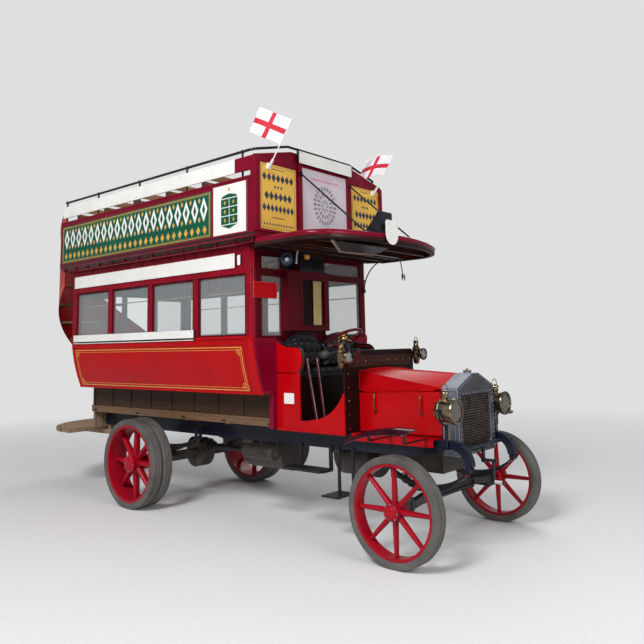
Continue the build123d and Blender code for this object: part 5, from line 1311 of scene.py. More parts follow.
@dataclass
class Flags:
    """Two flags with a red cross on white, rippling back from their poles."""

    hoist: float = 0.270
    fly: float = 0.400
    across: int = 56
    down: int = 38
    ripple: float = 0.017
    tip_gap: float = 0.004
    pole_gap: float = 0.0074
    cloth_thickness: float = 0.0006

    def cloth(self) -> bpy.types.Material:
        """White cloth with a red upright cross, drawn from the piece's own UV map.

        Returns:
            The material.
        """
        nodes = Nodes("flag_cloth")
        nodes.shader.inputs["Roughness"].default_value = 0.85
        nodes.shader.inputs["Sheen Weight"].default_value = 0.2
        uv = nodes.add("ShaderNodeUVMap", uv_map="flat")
        split = nodes.add("ShaderNodeSeparateXYZ")
        nodes.link(uv, 0, split, 0)
        arms = []
        for axis, half in (("X", 0.068), ("Y", 0.100)):
            arm = nodes.math("COMPARE", (split, axis), 0.5)
            arm.inputs[2].default_value = half
            arms.append(arm)
        cross = nodes.math("MAXIMUM", (arms[0], 0), (arms[1], 0))
        stain = nodes.noise(18.0, 4.0)
        red = nodes.ramp(stain, "Fac", [(0.3, (0.52, 0.012, 0.030)), (0.7, (0.62, 0.018, 0.040))])
        white = nodes.ramp(stain, "Fac", [(0.3, (0.74, 0.73, 0.78)), (0.7, (0.84, 0.83, 0.86))])
        colour = nodes.mix((cross, 0), (white, 0), (red, 0))
        nodes.link(colour, 2, nodes.shader, "Base Color")
        weave = []
        for axis in ("X", "Y"):
            wave = nodes.add("ShaderNodeTexWave", Scale=42.0, Distortion=0.4)
            wave.bands_direction = axis
            nodes.link(uv, 0, wave, "Vector")
            weave.append(wave)
        height = nodes.math("MULTIPLY", (weave[0], "Fac"), (weave[1], "Fac"))
        nodes.bump(height, 0, 0.35, 0.0005)
        return nodes.material

    def make(self) -> None:
        """Builds both flags and the ties at their hoists."""
        cloth = self.cloth()
        for side, word in SIDES:
            fly = Vector((-0.78, -0.38, 0.50) if side < 0 else (-0.72, -0.40, 0.16)).normalized()
            lift = fly.cross(POLE_WAY).normalized()
            sag, shake = (0.030, 1.0) if side < 0 else (0.135, 1.5)
            rise = POLE_LENGTH - self.hoist - self.tip_gap
            corner = pole_foot(side) + POLE_WAY * rise + fly * self.pole_gap
            phase = 0.6 if side < 0 else 2.1
            points, uvs = [], []
            for j in range(self.down + 1):
                v = j / self.down
                for i in range(self.across + 1):
                    u = i / self.across
                    swell = u ** 0.8
                    wave = math.sin(u * 8.2 + v * 1.6 + phase) * 0.75
                    wave += math.sin(u * 15.0 - v * 2.2 + phase * 2) * 0.25
                    fall = sag * u ** 1.6 * (1.0 - 0.35 * v)
                    reach = self.fly * u * (0.965 - 1.2 * sag * u)
                    points.append(corner + POLE_WAY * (self.hoist * v) - Vector((0, 0, fall))
                                  + fly * reach + lift * (self.ripple * shake * swell * wave))
                    uvs.append((u, v))
            row = self.across + 1
            faces = [(j * row + i, j * row + i + 1, (j + 1) * row + i + 1, (j + 1) * row + i)
                     for j in range(self.down) for i in range(self.across)]
            mesh = bpy.data.meshes.new(f"flag_{word}")
            mesh.from_pydata(points, [], faces)
            layer = mesh.uv_layers.new(name="flat")
            for polygon in mesh.polygons:
                for loop in polygon.loop_indices:
                    layer.data[loop].uv = uvs[mesh.loops[loop].vertex_index]
            mesh.shade_smooth()
            flag = bpy.data.objects.new(f"flag_{word}", mesh)
            bpy.context.scene.collection.objects.link(flag)
            wall = flag.modifiers.new("cloth", "SOLIDIFY")
            wall.thickness = self.cloth_thickness
            wall.offset = 0
            settle(flag, cloth, "bus")
            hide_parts("flags")
            ties = Row(f"flag_ties_{word}", Head.DOME, (0.018, 0.018, 0.010), WHITE_PAINT, slot="flag_cloth")
            for v in (0.03, 0.35, 0.66, 0.97):
                ties.mark(corner + POLE_WAY * (self.hoist * v) - fly * 0.0065, POLE_WAY)
            band = ties.make()


def circle_through(a: tuple[float, float], b: tuple[float, float],
                   c: tuple[float, float]) -> tuple[float, float, float]:
    """Centre and radius of the circle through three points of a plane."""
    d = 2 * (a[0] * (b[1] - c[1]) + b[0] * (c[1] - a[1]) + c[0] * (a[1] - b[1]))
    squares = [p[0] ** 2 + p[1] ** 2 for p in (a, b, c)]
    u = (squares[0] * (b[1] - c[1]) + squares[1] * (c[1] - a[1]) + squares[2] * (a[1] - b[1])) / d
    v = (squares[0] * (c[0] - b[0]) + squares[1] * (a[0] - c[0]) + squares[2] * (b[0] - a[0])) / d
    return u, v, math.dist((u, v), a)


@dataclass
class Saloon:
    """Gold lining, mouldings, sashes, boards and the inside of the lower saloon."""

    front: float = at(-1.615)
    rear: float = at(-5.040)
    waist: float = 1.865
    head: float = 2.525
    post_edges: tuple[float, ...] = (1.715, 2.461, 2.541, 3.287, 3.367, 4.113, 4.193, 4.940)

    def __post_init__(self) -> None:
        """Works out the curve of the tumble-under side."""
        self.curve = circle_through(*TUMBLE_UNDER)

    def skin(self, side: int, x: float, z: float) -> tuple[Vector, Vector]:
        """Point on the curved side and its outward direction.

        Args:
            side: -1 offside, 1 nearside.
            x: place along the bus.
            z: height.

        Returns:
            The point and the direction.
        """
        u, v, radius = self.curve
        y = u + math.sqrt(radius ** 2 - (z - v) ** 2)
        return Vector((x, side * y, z)), Vector((0, side * (y - u), z - v)).normalized()

    def make(self) -> None:
        """Builds everything on the saloon."""
        for side, word in SIDES:
            self.lining(side, word)
            self.mouldings(side, word)
            self.sashes(side, word)
            self.boards(side, word)
            self.lower_wall(side, word)
        self.inside()

    def line(self, shape: Shape, side: int, path: Sequence[tuple[float, float]], width: float,
             closed: bool = False) -> None:
        """Adds a painted line on the curved side.

        Args:
            shape: shape that gets the line.
            side: -1 offside, 1 nearside.
            path: (x, z) points.
            width: width of the line.
            closed: whether it is a loop.
        """
        places, lifts = zip(*(self.skin(side, x, z) for x, z in path))
        shape.ribbon(places, lifts, width, 0.0008, closed)

    def lining(self, side: int, word: str) -> None:
        """Gold lines with notched corners and scrolls.

        Args:
            side: -1 offside, 1 nearside.
            word: name of the side.
        """
        x_low, x_high, z_low, z_high = at(-4.955), at(-1.800), 1.338, 1.772
        gold = Shape()
        step = 0.03

        def edge(a: tuple[float, float], b: tuple[float, float]) -> list[tuple[float, float]]:
            count = max(2, int(math.dist(a, b) / step))
            return [(a[0] + (b[0] - a[0]) * k / count,
                     a[1] + (b[1] - a[1]) * k / count) for k in range(count + 1)]

        outer = [(x_low, z_low), (x_high, z_low), (x_high, z_high), (x_low, z_high)]
        for i in range(4):
            self.line(gold, side, edge(outer[i], outer[(i + 1) % 4]), 0.009)
        inset, notch = 0.026, 0.052
        for i, (x, z) in enumerate(outer):
            dx, dz = (1 if x == x_low else -1), (1 if z == z_low else -1)
            corner = (x + dx * inset, z + dz * inset)
            arc = [(corner[0] + dx * notch * math.cos(t), corner[1] + dz * notch * math.sin(t))
                   for t in sweep(8, math.pi / 2)]
            self.line(gold, side, arc, 0.004)
            for flip in (0, 1):
                scroll = []
                for k in range(22):
                    t = k / 21
                    r = 0.030 * (1 - 0.8 * t)
                    turn = t * 4.6
                    a, b = 0.052 + r * math.sin(turn) * 0.9, 0.014 + r * (1 - math.cos(turn)) * 0.55
                    if flip:
                        a, b = b, a
                    scroll.append((x + dx * (a + 0.004), z + dz * (b + 0.004)))
                self.line(gold, side, scroll, 0.0055)
            leaf = [(x + dx * (0.016 + 0.034 * k / 6), z + dz * (0.016 + 0.034 * k / 6)) for k in range(7)]
            self.line(gold, side, leaf, 0.010)
        for z in (z_low + inset, z_high - inset):
            self.line(gold, side, edge((x_low + inset + notch, z), (x_high - inset - notch, z)), 0.004)
        for x in (x_low + inset, x_high - inset):
            self.line(gold, side, edge((x, z_low + inset + notch), (x, z_high - inset - notch)), 0.004)
        Piece(f"gold_lining_{word}", gold, GOLD_LEAF).make()

    def mouldings(self, side: int, word: str) -> None:
        """Belt and foot beads, the sill, the rounded corner post and post beads.

        Args:
            side: -1 offside, 1 nearside.
            word: name of the side.
        """
        beads = Shape()
        for z, radius in ((1.806, 0.009), (1.306, 0.010), (1.846, 0.006)):
            beads.bead([self.skin(side, x, z)[0] for x in (self.rear, self.front - 0.002)], radius)
        for station in (1.668, 1.762, 4.990):
            beads.bead([self.skin(side, at(-station), z)[0] for z in (1.304, 1.42, 1.54, 1.66, 1.78, 1.86)],
                       0.009)
        low, high = side * 0.912, side * 0.944
        beads.box((self.rear, low, self.waist - 0.004), (self.front - 0.004, high, self.waist + 0.018))
        beads.tube([self.skin(side, at(-1.668),
                              z)[0] - Vector((0, side * 0.012, 0)) for z in (1.310, 1.45, 1.60, 1.75, 1.87)],
                   0.030, 14)
        Piece(f"saloon_beads_{word}", beads, BODY_RED, bevel=0.002).make()
        # The corner post and the strip over the windows take the darker post red as painted shade.
        post = Shape().tube([(at(-1.665), side * 0.922, z) for z in (1.870, 2.10, 2.40, 2.78)], 0.034, 14)
        low, high = side * 0.912, side * 0.938
        post.box((self.rear, low, self.head - 0.014), (self.front - 0.004, high, self.head + 0.016))
        Piece(f"corner_post_{word}", post, POST_SHADE_RED).make()

    def sashes(self, side: int, word: str) -> None:
        """Thin sash frames round every pane, with a lifting strap bar.

        Args:
            side: -1 offside, 1 nearside.
            word: name of the side.
        """
        frames, bars = Shape(), Shape()
        low_y, high_y = side * 0.902, side * 0.924
        for start, end in zip(self.post_edges[::2], self.post_edges[1::2]):
            x_low, x_high = at(-end), at(-start)
            z_low, z_high = self.waist + 0.014, self.head - 0.010
            wide = 0.022
            frames.box((x_low, low_y, z_low), (x_high, high_y, z_low + wide))
            frames.box((x_low, low_y, z_high - wide), (x_high, high_y, z_high))
            frames.box((x_low, low_y, z_low + wide), (x_low + wide, high_y, z_high - wide))
            frames.box((x_high - wide, low_y, z_low + wide), (x_high, high_y, z_high - wide))
            bars.tube([(x_low + 0.02, side * 0.880, 2.33), (x_high - 0.02, side * 0.880, 2.33)], 0.006, 8)
        Piece(f"window_sashes_{word}", frames, DEEP_RED, bevel=0.003).make()
        Piece(f"window_guard_bars_{word}", bars, BRASS).make()

    def boards(self, side: int, word: str) -> None:
        """Black ends, edge lines and screws of the blank name boards.

        Args:
            side: -1 offside, 1 nearside.
            word: name of the side.
        """
        face = side * 0.944
        ends = Shape()
        low, high = side * 0.930, side * 0.9455
        ends.box((at(-2.520), low, 1.853), (at(-2.498), high, 1.967))
        ends.box((at(-1.862), low, 2.575), (at(-1.850), high, 2.727))
        ends.box((at(-1.777), low, 2.598), (at(-1.772), high, 2.704))
        Piece(f"board_ends_{word}", ends, GLOSS_BLACK, bevel=0.001).make()
        screws = Row(f"board_screws_{word}", Head.DOME, (0.011, 0.011, 0.006), BRASS)
        for z in (2.592, 2.710):
            screws.run((at(-1.90), face, z), (at(-4.93), face, z), 8, (0, side, 0))
        for z in (1.868, 1.952):
            screws.run((at(-2.56), face, z), (at(-4.93), face, z), 6, (0, side, 0))
        screws.make()

    def lower_wall(self, side: int, word: str) -> None:
        """Brown boards of the recessed wall over the wheel, with battens, kept dark as painted shade under
        the panel above.

        Args:
            side: -1 offside, 1 nearside.
            word: name of the side.
        """
        low, high = side * 0.5995, side * 0.607
        wall = Shape().box((at(-5.035), low, 1.054), (at(-1.655), high, 1.294))
        Piece(f"lower_wall_{word}", wall, WALL_SHADE_BROWN, bevel=0.002).make()
        battens = Row(f"wall_battens_{word}", Head.BAR, (0.030, 0.236, 0.014), WALL_SHADE_BROWN)
        battens.run((at(-1.70), side * 0.609, 1.174), (at(-4.99), side * 0.609, 1.174), 9,
                    (0, side, 0)).make()
        sill = Shape()
        low, high = side * 0.6195, side * 0.628
        sill.box((at(-5.035), low, 1.030), (at(-1.655), high, 1.050))
        Piece(f"sill_strip_{word}", sill, SILL_OAK, slot="floor_wood", bevel=0.003).make()
        bolts = Row(f"sill_bolts_{word}", Head.HEX, (0.022, 0.022, 0.010), FRAME_BLACK)
        for station in (1.70, 2.40, 3.10, 4.00, 4.95):
            for dx in (-0.018, 0.018):
                bolts.mark((at(-station) + dx, side * 0.624, 0.995), (0, side, 0))
        bolts.make()

    def inside(self) -> None:
        """Seat slats, ceiling rails with straps, and the ceiling boards."""
        rail_inset, rail_height = 0.360, 2.690
        for side, word in SIDES:
            slats = Row(f"bench_slats_{word}", Head.BAR, (3.16, 0.036, 0.012), SLAT_OAK)
            slats.run((at(-3.345), side * 0.450, 1.446), (at(-3.345), side * 0.700, 1.446), 6, (0, 0, 1))
            slats.make()
            rail = Shape().tube([(at(-1.68), side * rail_inset, rail_height),
                                 (at(-4.98), side * rail_inset, rail_height)], 0.011, 10)
            hangers = Row(f"rail_hangers_{word}", Head.BAR, (0.014, 0.014, 0.110), BRASS)
            hangers.run((at(-1.80), side * rail_inset, 2.745), (at(-4.90), side * rail_inset, 2.745), 6,
                        (0, 0, 1)).make()
            Piece(f"ceiling_rail_{word}", rail, BRASS).make()
            straps = Shape()
            for k in range(9):
                x = at(-2.00 - 0.34 * k)
                loop = [(x, side * rail_inset + 0.055 * math.sin(t) * 0.5, 2.575 + 0.060 * math.cos(t))
                        for t in sweep(14)]
                straps.tube(loop, 0.006, 6, closed=True)
                straps.tube([(x, side * rail_inset, 2.632), (x, side * rail_inset, rail_height)], 0.008, 6)
            Piece(f"hand_straps_{word}", straps, BLACK_HIDE).make()
        ceiling = Shape().box((at(-5.00), -0.872, 2.793), (at(-1.66), 0.872, 2.799))
        Piece("ceiling_boards", ceiling, CREAM_LINING).make()


@dataclass
class Canopy:
    """Nosing, dark boarded underside with painted shade, lamps, blank plate and brackets of the driver's
    canopy.
    """

    nose: float = -0.400
    shoulder: tuple[float, float] = (-0.560, 0.800)
    half: float = 1.050
    low: float = 2.738
    top: float = 2.830

    def outline(self, inset: float, end: float) -> list[tuple[float, float]]:
        """Plan of the canopy's edge from the offside wall round the nose to the nearside wall.

        Args:
            inset: how far inside the edge.
            end: station that both ends stop at.

        Returns:
            Points in plan.
        """
        bow = self.nose - self.shoulder[0]
        radius = (self.shoulder[1] ** 2 + bow ** 2) / (2 * bow)
        lean = math.asin(self.shoulder[1] / radius)
        corner = (self.half - self.shoulder[1]) / (1 - math.cos(math.pi / 2 - lean))
        start = self.shoulder[0] - corner * math.cos(lean)
        half = [(self.nose - radius + (radius - inset) * math.cos(lean * k / 12),
                 (radius - inset) * math.sin(lean * k / 12))
                for k in range(12)]
        for k in range(11):
            turn = lean + (math.pi / 2 - lean) * k / 10
            half.append((start + (corner - inset) * math.cos(turn),
                         self.half - corner + (corner - inset) * math.sin(turn)))
        half.append((end, self.half - inset))
        return [(at(x), -y) for x, y in reversed(half[1:])] + [(at(x), y) for x, y in half]

    def inward(self, inset: float, more: float, end: float) -> list[tuple[float, float]]:
        """Steps from the points of one outline to those of an outline further in.

        Args:
            inset: how far inside the edge the first outline is.
            more: how much further in the second is.
            end: station that both ends stop at.

        Returns:
            A step in plan for each point.
        """
        pairs = zip(self.outline(inset, end), self.outline(inset + more, end))
        return [(b[0] - a[0], b[1] - a[1]) for a, b in pairs]

    def make(self) -> None:
        """Builds everything on the canopy."""
        middle = (self.low + self.top) / 2
        nosing = Shape().tube([(x, y, middle + 0.013) for x, y in self.outline(0.026, -1.437)], 0.030, 18)
        for point in nosing.points:
            point.z = middle + 0.013 + (point.z - middle - 0.013) * 1.16
        Piece("canopy_nosing", nosing, CORNICE_RED, smooth=60).make()
        quirk = Shape().tube([(x, y, self.low + 0.009) for x, y in self.outline(0.016, -1.437)], 0.0165, 12)
        Piece("canopy_quirk", quirk, DASH_BROWN, smooth=60).make()
        # The underside's rim, ceiling and ribs are dark brown boards, kept near black as painted shade under
        # the canopy.
        under = self.outline(0.018, -1.436)
        under_rim = Shape().rings([[(x, y, self.low - 0.0012), (x, y, self.low + 0.002),
                                    (x + dx, y + dy, self.low + 0.002), (x + dx, y + dy, self.low - 0.0012)]
                                   for (x, y), (dx, dy) in zip(under, self.inward(0.018, 0.028, -1.436))])
        Piece("canopy_under_rim", under_rim, SOFFIT_SHADE_BROWN).make()
        inner = [(x, y, 2.8020) for x, y in self.outline(0.047, -1.416)]
        Piece("canopy_ceiling", Shape().prism(inner, (0, 0, 0.0055)), SOFFIT_SHADE_BROWN).make()
        battens = Row("canopy_battens", Head.BAR, (0.78, 0.007, 0.005), SILL_OAK)
        battens.run((at(-0.99), -0.92, 2.8010), (at(-0.99), 0.92, 2.8010), 15, (0, 0, -1)).make()
        rib = Shape()
        for station in (-0.80, -1.20, -1.395):
            rib.box((at(station) - 0.018, -0.975, 2.746), (at(station) + 0.018, 0.975, 2.8025))
        Piece("canopy_ribs", rib, SOFFIT_SHADE_BROWN, bevel=0.004).make()
        self.tray()
        self.lamps()
        self.plate()
        self.brackets()

    def tray(self) -> None:
        """A shallow panel with pale edges under the canopy."""
        outline = [(-0.640, -0.850), (-1.060, -0.225), (-0.985, 0.235), (-0.826, 0.175), (-0.590, -0.030)]
        panel = Shape().prism([(at(x), y, 2.726) for x, y in outline], (0, 0, 0.018))
        Piece("canopy_tray", panel, DASH_BROWN, bevel=0.003).make()
        edge = Shape()
        corners = [Vector((at(x), y, 2.728)) for x, y in outline]
        for a, b in zip(corners[:2], corners[1:3]):
            edge.tube([a, b], 0.016, 8)
        Piece("canopy_tray_edge", edge, TAN_EDGE).make()

    def lamps(self) -> None:
        """The round blue lamp on its pale rod and the small amber lamp."""
        centre, facing = Vector((at(-1.490), -0.575, 2.655)), (0.80, -0.60, -0.10)
        body = Shape().lathe([(-0.040, 0.0), (-0.040, 0.034), (-0.022, 0.056), (0.0, 0.064), (0.020, 0.062),
                              (0.030, 0.066),
                              (0.040, 0.066), (0.040, 0.058)], centre, facing, 32)
        Piece("canopy_lamp", body, LAMP_BLUE).make()
        lens = Shape().lathe([(0.034, 0.059), (0.044, 0.050), (0.050, 0.030), (0.052, 0.0)], centre, facing,
                             32)
        Piece("canopy_lamp_lens", lens, LAMP_BLUE, slot="glass").make()
        # A white spot on the lens centre: the lens's pale centre with a painted highlight.
        spot = Shape().lathe([(0.050, 0.020), (0.054, 0.016), (0.056, 0.0)], centre, facing, 24)
        Piece("canopy_lamp_highlight", spot, WHITE_PAINT, slot="glass").make()
        stem = Shape().tube([centre + Vector((-0.02, 0.02, 0.02)), centre + Vector((-0.03, 0.03, 0.122))],
                            0.014, 10)
        Piece("canopy_lamp_stem", stem, LAMP_BLUE).make()
        rod = Shape().tube([centre + Vector((0.075, 0.075, -0.030)), centre + Vector((0.055, 0.105, 0.050)),
                            centre + Vector((0.060, 0.120, 0.122))], 0.0075, 8)
        rod.ball(centre + Vector((0.075, 0.075, -0.034)), 0.012, 10)
        Piece("canopy_lamp_rod", rod, WHITE_PAINT).make()
        amber = Vector((at(-1.450), -0.300, 2.779))
        glow = Shape().lathe([(0.052, 0.032), (0.070, 0.035), (0.092, 0.030), (0.106, 0.018), (0.110, 0.0)],
                             amber, (0, 0, -1), 24)
        Piece("canopy_amber", glow, AMBER).make()
        stem = Shape().lathe([(0.0, 0.044), (0.006, 0.044), (0.014, 0.030), (0.044, 0.030), (0.050, 0.038),
                              (0.058, 0.038),
                              (0.058, 0.0)], amber, (0, 0, -1), 24)
        Piece("canopy_amber_holder", stem, LAMP_BLUE).make()

    def plate(self) -> None:
        """The blank white plate with a round foot hung in front of the lamp box, and the box's seams."""
        centre_y, face, wide, top, knee = -0.244, at(-0.396), 0.101, 2.955, 2.818
        outline = [(face, centre_y - wide, knee), (face, centre_y - wide, top - 0.018),
                   (face, centre_y - wide + 0.018, top),
                   (face, centre_y + wide - 0.018, top), (face, centre_y + wide, top - 0.018),
                   (face, centre_y + wide, knee)]
        outline += [(face, centre_y + wide * math.cos(t), knee - wide * math.sin(t)) for t in
                    sweep(16, math.pi)[1:-1]]
        Piece("blank_plate", Shape().prism(outline, (0.006, 0, 0)), WHITE_PAINT, bevel=0.0012).make()
        hook = Shape()
        for y in (centre_y - 0.045, centre_y + 0.065):
            hook.box((at(-0.470), y - 0.010, 2.905), (face + 0.001, y + 0.010, 2.920))
        Piece("plate_straps", hook, GLOSS_BLACK, bevel=0.002).make()
        rivets = Row("plate_rivets", Head.DOME, (0.012, 0.012, 0.006), BRASS)
        for y in (centre_y - 0.045, centre_y + 0.065):
            rivets.mark((face + 0.006, y, 2.912), (1, 0, 0))
        rivets.make()
        trims = Row("lamp_box_rivets", Head.DOME, (0.010, 0.010, 0.005), FRAME_BLACK)
        for y, way in ((-0.3202, -1), (-0.1298, 1)):
            trims.run((at(-0.478), y, 2.860), (at(-0.478), y, 3.030), 5, (0, way, 0))
            trims.run((at(-0.500), y, 2.842), (at(-0.650), y, 2.842), 4, (0, way, 0))
        trims.make()

    def brackets(self) -> None:
        """The curved bracket from the nearside post, the hanging rod with its clamp, and the stay bolts."""
        low, high = Vector((at(-1.600), 0.890, 2.405)), Vector((at(-1.190), 0.830, 2.800))
        curve = []
        for k in range(13):
            t = math.pi / 2 * k / 12
            curve.append(Vector((low.x + (high.x - low.x) * (1 - math.cos(t)),
                                 low.y + (high.y - low.y) * (1 - math.cos(t)),
                                 low.z + (high.z - 0.045 - low.z) * math.sin(t))))
        curve.append(high)
        iron = Shape().tube(curve, 0.0075, 8)
        iron.box((at(-1.617), 0.868, 2.383), (at(-1.592), 0.908, 2.427))
        iron.box((at(-1.215), 0.805, 2.794), (at(-1.165), 0.855, 2.803))
        rod_top = Vector((at(-1.045), 0.850, 2.736))
        rod_low = rod_top + Vector((0.0, 0.055, -0.215))
        iron.tube([rod_top, rod_low], 0.006, 8)
        iron.box((rod_top.x - 0.022, rod_top.y - 0.022, 2.731), (rod_top.x + 0.022, rod_top.y + 0.020, 2.739))
        for dy in (-0.026, 0.026):
            iron.tube([rod_low + Vector((0, dy, -0.03)), rod_low + Vector((0, dy, 0.040))], 0.006, 8)
        iron.tube([rod_low + Vector((0, -0.026, 0.005)), rod_low + Vector((0, 0.026, 0.005))], 0.007, 8)
        Piece("canopy_irons", iron, GLOSS_BLACK).make()
        bolts = Row("stay_bolts", Head.HEX, (0.018, 0.018, 0.010), FRAME_BLACK)
        for side in (-1, 1):
            for dx in (-0.014, 0.014):
                bolts.mark((at(-0.573) + dx, side * 0.427, 2.850), (0, 0, 1))
            for dz in (-0.014, 0.014):
                bolts.mark((at(-1.396), side * 0.415, 3.570 + dz), (1, 0, 0))
        bolts.make()


@dataclass
class Bulkhead:
    """Mouldings, panels and beads on the wall behind the driver."""

    face: float = at(-1.615)
    box_face: float = at(-1.525)
    openings: tuple[tuple[float, float, float, float], ...] = (
        (-0.810, -0.525, 1.884, 2.488), (-0.810, -0.525, 2.560, 2.690), (0.170, 0.810, 1.884, 2.488),
        (0.170, 0.810, 2.560, 2.690))
    recess: tuple[float, float, float, float] = (-0.290, 0.060, 1.985, 2.470)

    def make(self) -> None:
        """Builds the wall's woodwork."""
        frames = Shape()
        for opening in self.openings:
            frames.frame(self.face - 0.002, self.face + 0.010, opening, 0.022)
        frames.frame(self.box_face - 0.002, self.box_face + 0.006, self.recess, 0.014)
        for z in (1.929, 2.548):
            frames.box((self.box_face - 0.002, -0.520, z), (self.box_face + 0.008, 0.140, z + 0.012))
        Piece("bulkhead_frames", frames, DEEP_RED, bevel=0.003).make()
        # The black sheets at the wall's head and on the lamp box's front paint the shade between the box's
        # top and the canopy.
        for name, low, high, finish, bevel in (
                ("recess_back", (-1.5500, -0.2895, 1.9855), (-1.5485, 0.0595, 2.4695), DASH_BROWN, 0.0),
                ("bulkhead_head_shade", (-1.6155, -0.512, 2.562), (-1.6090, 0.146, 2.736), GLOSS_BLACK, 0.0),
                ("recess_strip", (-1.5385, -0.108, 1.992), (-1.5365, 0.022, 2.463), PARCHMENT, 0.0),
                ("lamp_box_front_shade", (-1.527, -0.3315, 2.5605), (-1.5235, -0.1285, 2.6985), GLOSS_BLACK, 0.0),
                ("square_board", (-1.6155, -0.9305, 2.2585), (-1.5985, -0.5995, 2.4215), BODY_RED, 0.002)):
            board = Shape().box((at(low[0]), *low[1:]), (at(high[0]), *high[1:]))
            Piece(name, board, finish, bevel=bevel).make()
        screws = Row("square_board_screws", Head.DOME, (0.009, 0.009, 0.005), BRASS)
        for z in (2.280, 2.400):
            screws.run((at(-1.5985), -0.910, z), (at(-1.5985), -0.620, z), 2, (1, 0, 0))
        screws.make()
        self.wings()

    def wings(self) -> None:
        """Panels that close the wall out to the curved sides, with the posts below them."""
        u, v, radius = circle_through(*TUMBLE_UNDER)
        inner, low, high = 0.6115, 1.302, 1.8605
        for side, word in SIDES:
            curve = [(u + math.sqrt(radius ** 2 - (z - v) ** 2) - 0.002, z) for z in
                     [low + (high - low) * k / 10 for k in range(11)]]
            outline = [(inner, low)] + curve + [(inner, high)]
            panel = Shape().prism([(self.face - 0.0005, side * y, z) for y, z in outline], (0.0125, 0, 0))
            panel.box((self.face - 0.046, side * 0.6005, 0.956), (self.face + 0.010, side * 0.672, low))
            Piece(f"wing_panel_{word}", panel, CORNICE_RED, slot="dark_red", bevel=0.003).make()
            inset = [(inner + 0.022, low + 0.026)] + [(y - 0.026, z) for y,
                                                      z in curve[1:-1]] + [(inner + 0.022, high - 0.055)]
            lines = Shape().tube([(self.face + 0.012, side * y, z) for y, z in inset], 0.0045, 6, closed=True)
            Piece(f"wing_beads_{word}", lines, CORNICE_RED, slot="dark_red").make()


def pad_faces(columns: int, rows: int) -> list[tuple[int, ...]]:
    """Faces that close a pad made of two grids of points, the front grid first.

    Args:
        columns: cells along a row.
        rows: rows of cells.

    Returns:
        The faces.
    """
    row = columns + 1
    size = row * (rows + 1)
    faces = []
    for j in range(rows):
        for i in range(columns):
            a = j * row + i
            faces += [(a, a + 1, a + row + 1, a + row),
                      (size + a, size + a + row, size + a + row + 1, size + a + 1)]
    rim = list(range(row)) + [j * row + columns for j in range(1, rows + 1)]
    rim += [rows * row + i for i in range(columns - 1, -1, -1)]
    rim += [j * row for j in range(rows - 1, 0, -1)]
    return faces + [(a, b, size + b, size + a) for a, b in zip(rim, rim[1:] + rim[:1])]


def tufted(low: Point, high: Point, pitch: float, dent: float, crown: float, axis: int, columns: int = 46,
           rows: int = 30) -> tuple[list[Vector], list[tuple[int, ...]]]:
    """A closed buttoned pad: a plump grid with dents, closed over a flat back.

    Args:
        low: lower corner of its box.
        high: upper corner of its box.
        pitch: distance of the buttons.
        dent: depth of a dent.
        crown: how far the middle rises over the edge.
        axis: 2 for a pad that faces up, 0 for one that faces ahead.
        columns: cells along Y.
        rows: cells along the other side.

    Returns:
        The points and faces.
    """
    low_v, high_v = Vector(low), Vector(high)
    other = 0 if axis == 2 else 2
    wide, long = high_v.y - low_v.y, high_v[other] - low_v[other]
    points = []
    edge = 0.040
    for layer in (1, 0):
        for j in range(rows + 1):
            for i in range(columns + 1):
                u, v = i / columns, j / rows
                y, w = low_v.y + wide * u, low_v[other] + long * v
                reach = min(u * wide, (1 - u) * wide, v * long, (1 - v) * long)
                rise = math.sqrt(max(0.0, 1 - max(0.0, 1 - reach / edge) ** 2))
                height = low_v[axis] + 0.004
                if layer:
                    row_number = round((w - low_v[other]) / pitch)
                    shift = 0.5 * pitch * (row_number % 2)
                    near = math.hypot((y - low_v.y + shift) % pitch - pitch / 2,
                                      (w - low_v[other] + pitch / 2) % pitch - pitch / 2)
                    puckers = math.exp(-(near / (0.20 * pitch)) ** 2)
                    deep = high_v[axis] - low_v[axis] - crown
                    height = low_v[axis] + deep * (0.35 + 0.65 * rise) + crown * rise - dent * puckers * rise
                p = Vector((0, y, 0))
                p[other] = w
                p[axis] = height
                points.append(p)
    return points, pad_faces(columns, rows)


def swell(thing: bpy.types.Object, voxel: float, pressure: float, cap: float) -> None:
    """Puffs a closed pad up with a short cloth simulation and keeps the result as its mesh.

    Args:
        thing: the pad, at the origin.
        voxel: size of the remeshed cells.
        pressure: pressure inside the cloth.
        cap: the most that a point may move.
    """
    scene = bpy.context.scene
    remesh = thing.modifiers.new("even", "REMESH")
    remesh.mode = "VOXEL"
    remesh.voxel_size = voxel
    even = bpy.data.meshes.new_from_object(thing.evaluated_get(bpy.context.evaluated_depsgraph_get()))
    thing.modifiers.remove(remesh)
    thing.data = even
    before = [v.co.copy() for v in even.vertices]
    cloth = thing.modifiers.new("cloth", "CLOTH")
    cloth.settings.use_pressure = True
    cloth.settings.uniform_pressure_force = pressure
    cloth.settings.effector_weights.gravity = 0.0
    cloth.point_cache.frame_start, cloth.point_cache.frame_end = 1, 20
    for frame in range(1, 21):
        scene.frame_set(frame)
    puffed = bpy.data.meshes.new_from_object(thing.evaluated_get(bpy.context.evaluated_depsgraph_get()))
    thing.modifiers.remove(cloth)
    scene.frame_set(1)
    for vertex, start in zip(puffed.vertices, before):
        move = vertex.co - start
        if move.length > cap:
            vertex.co = start + move.normalized() * cap
    thing.data = puffed
    puffed.shade_smooth()


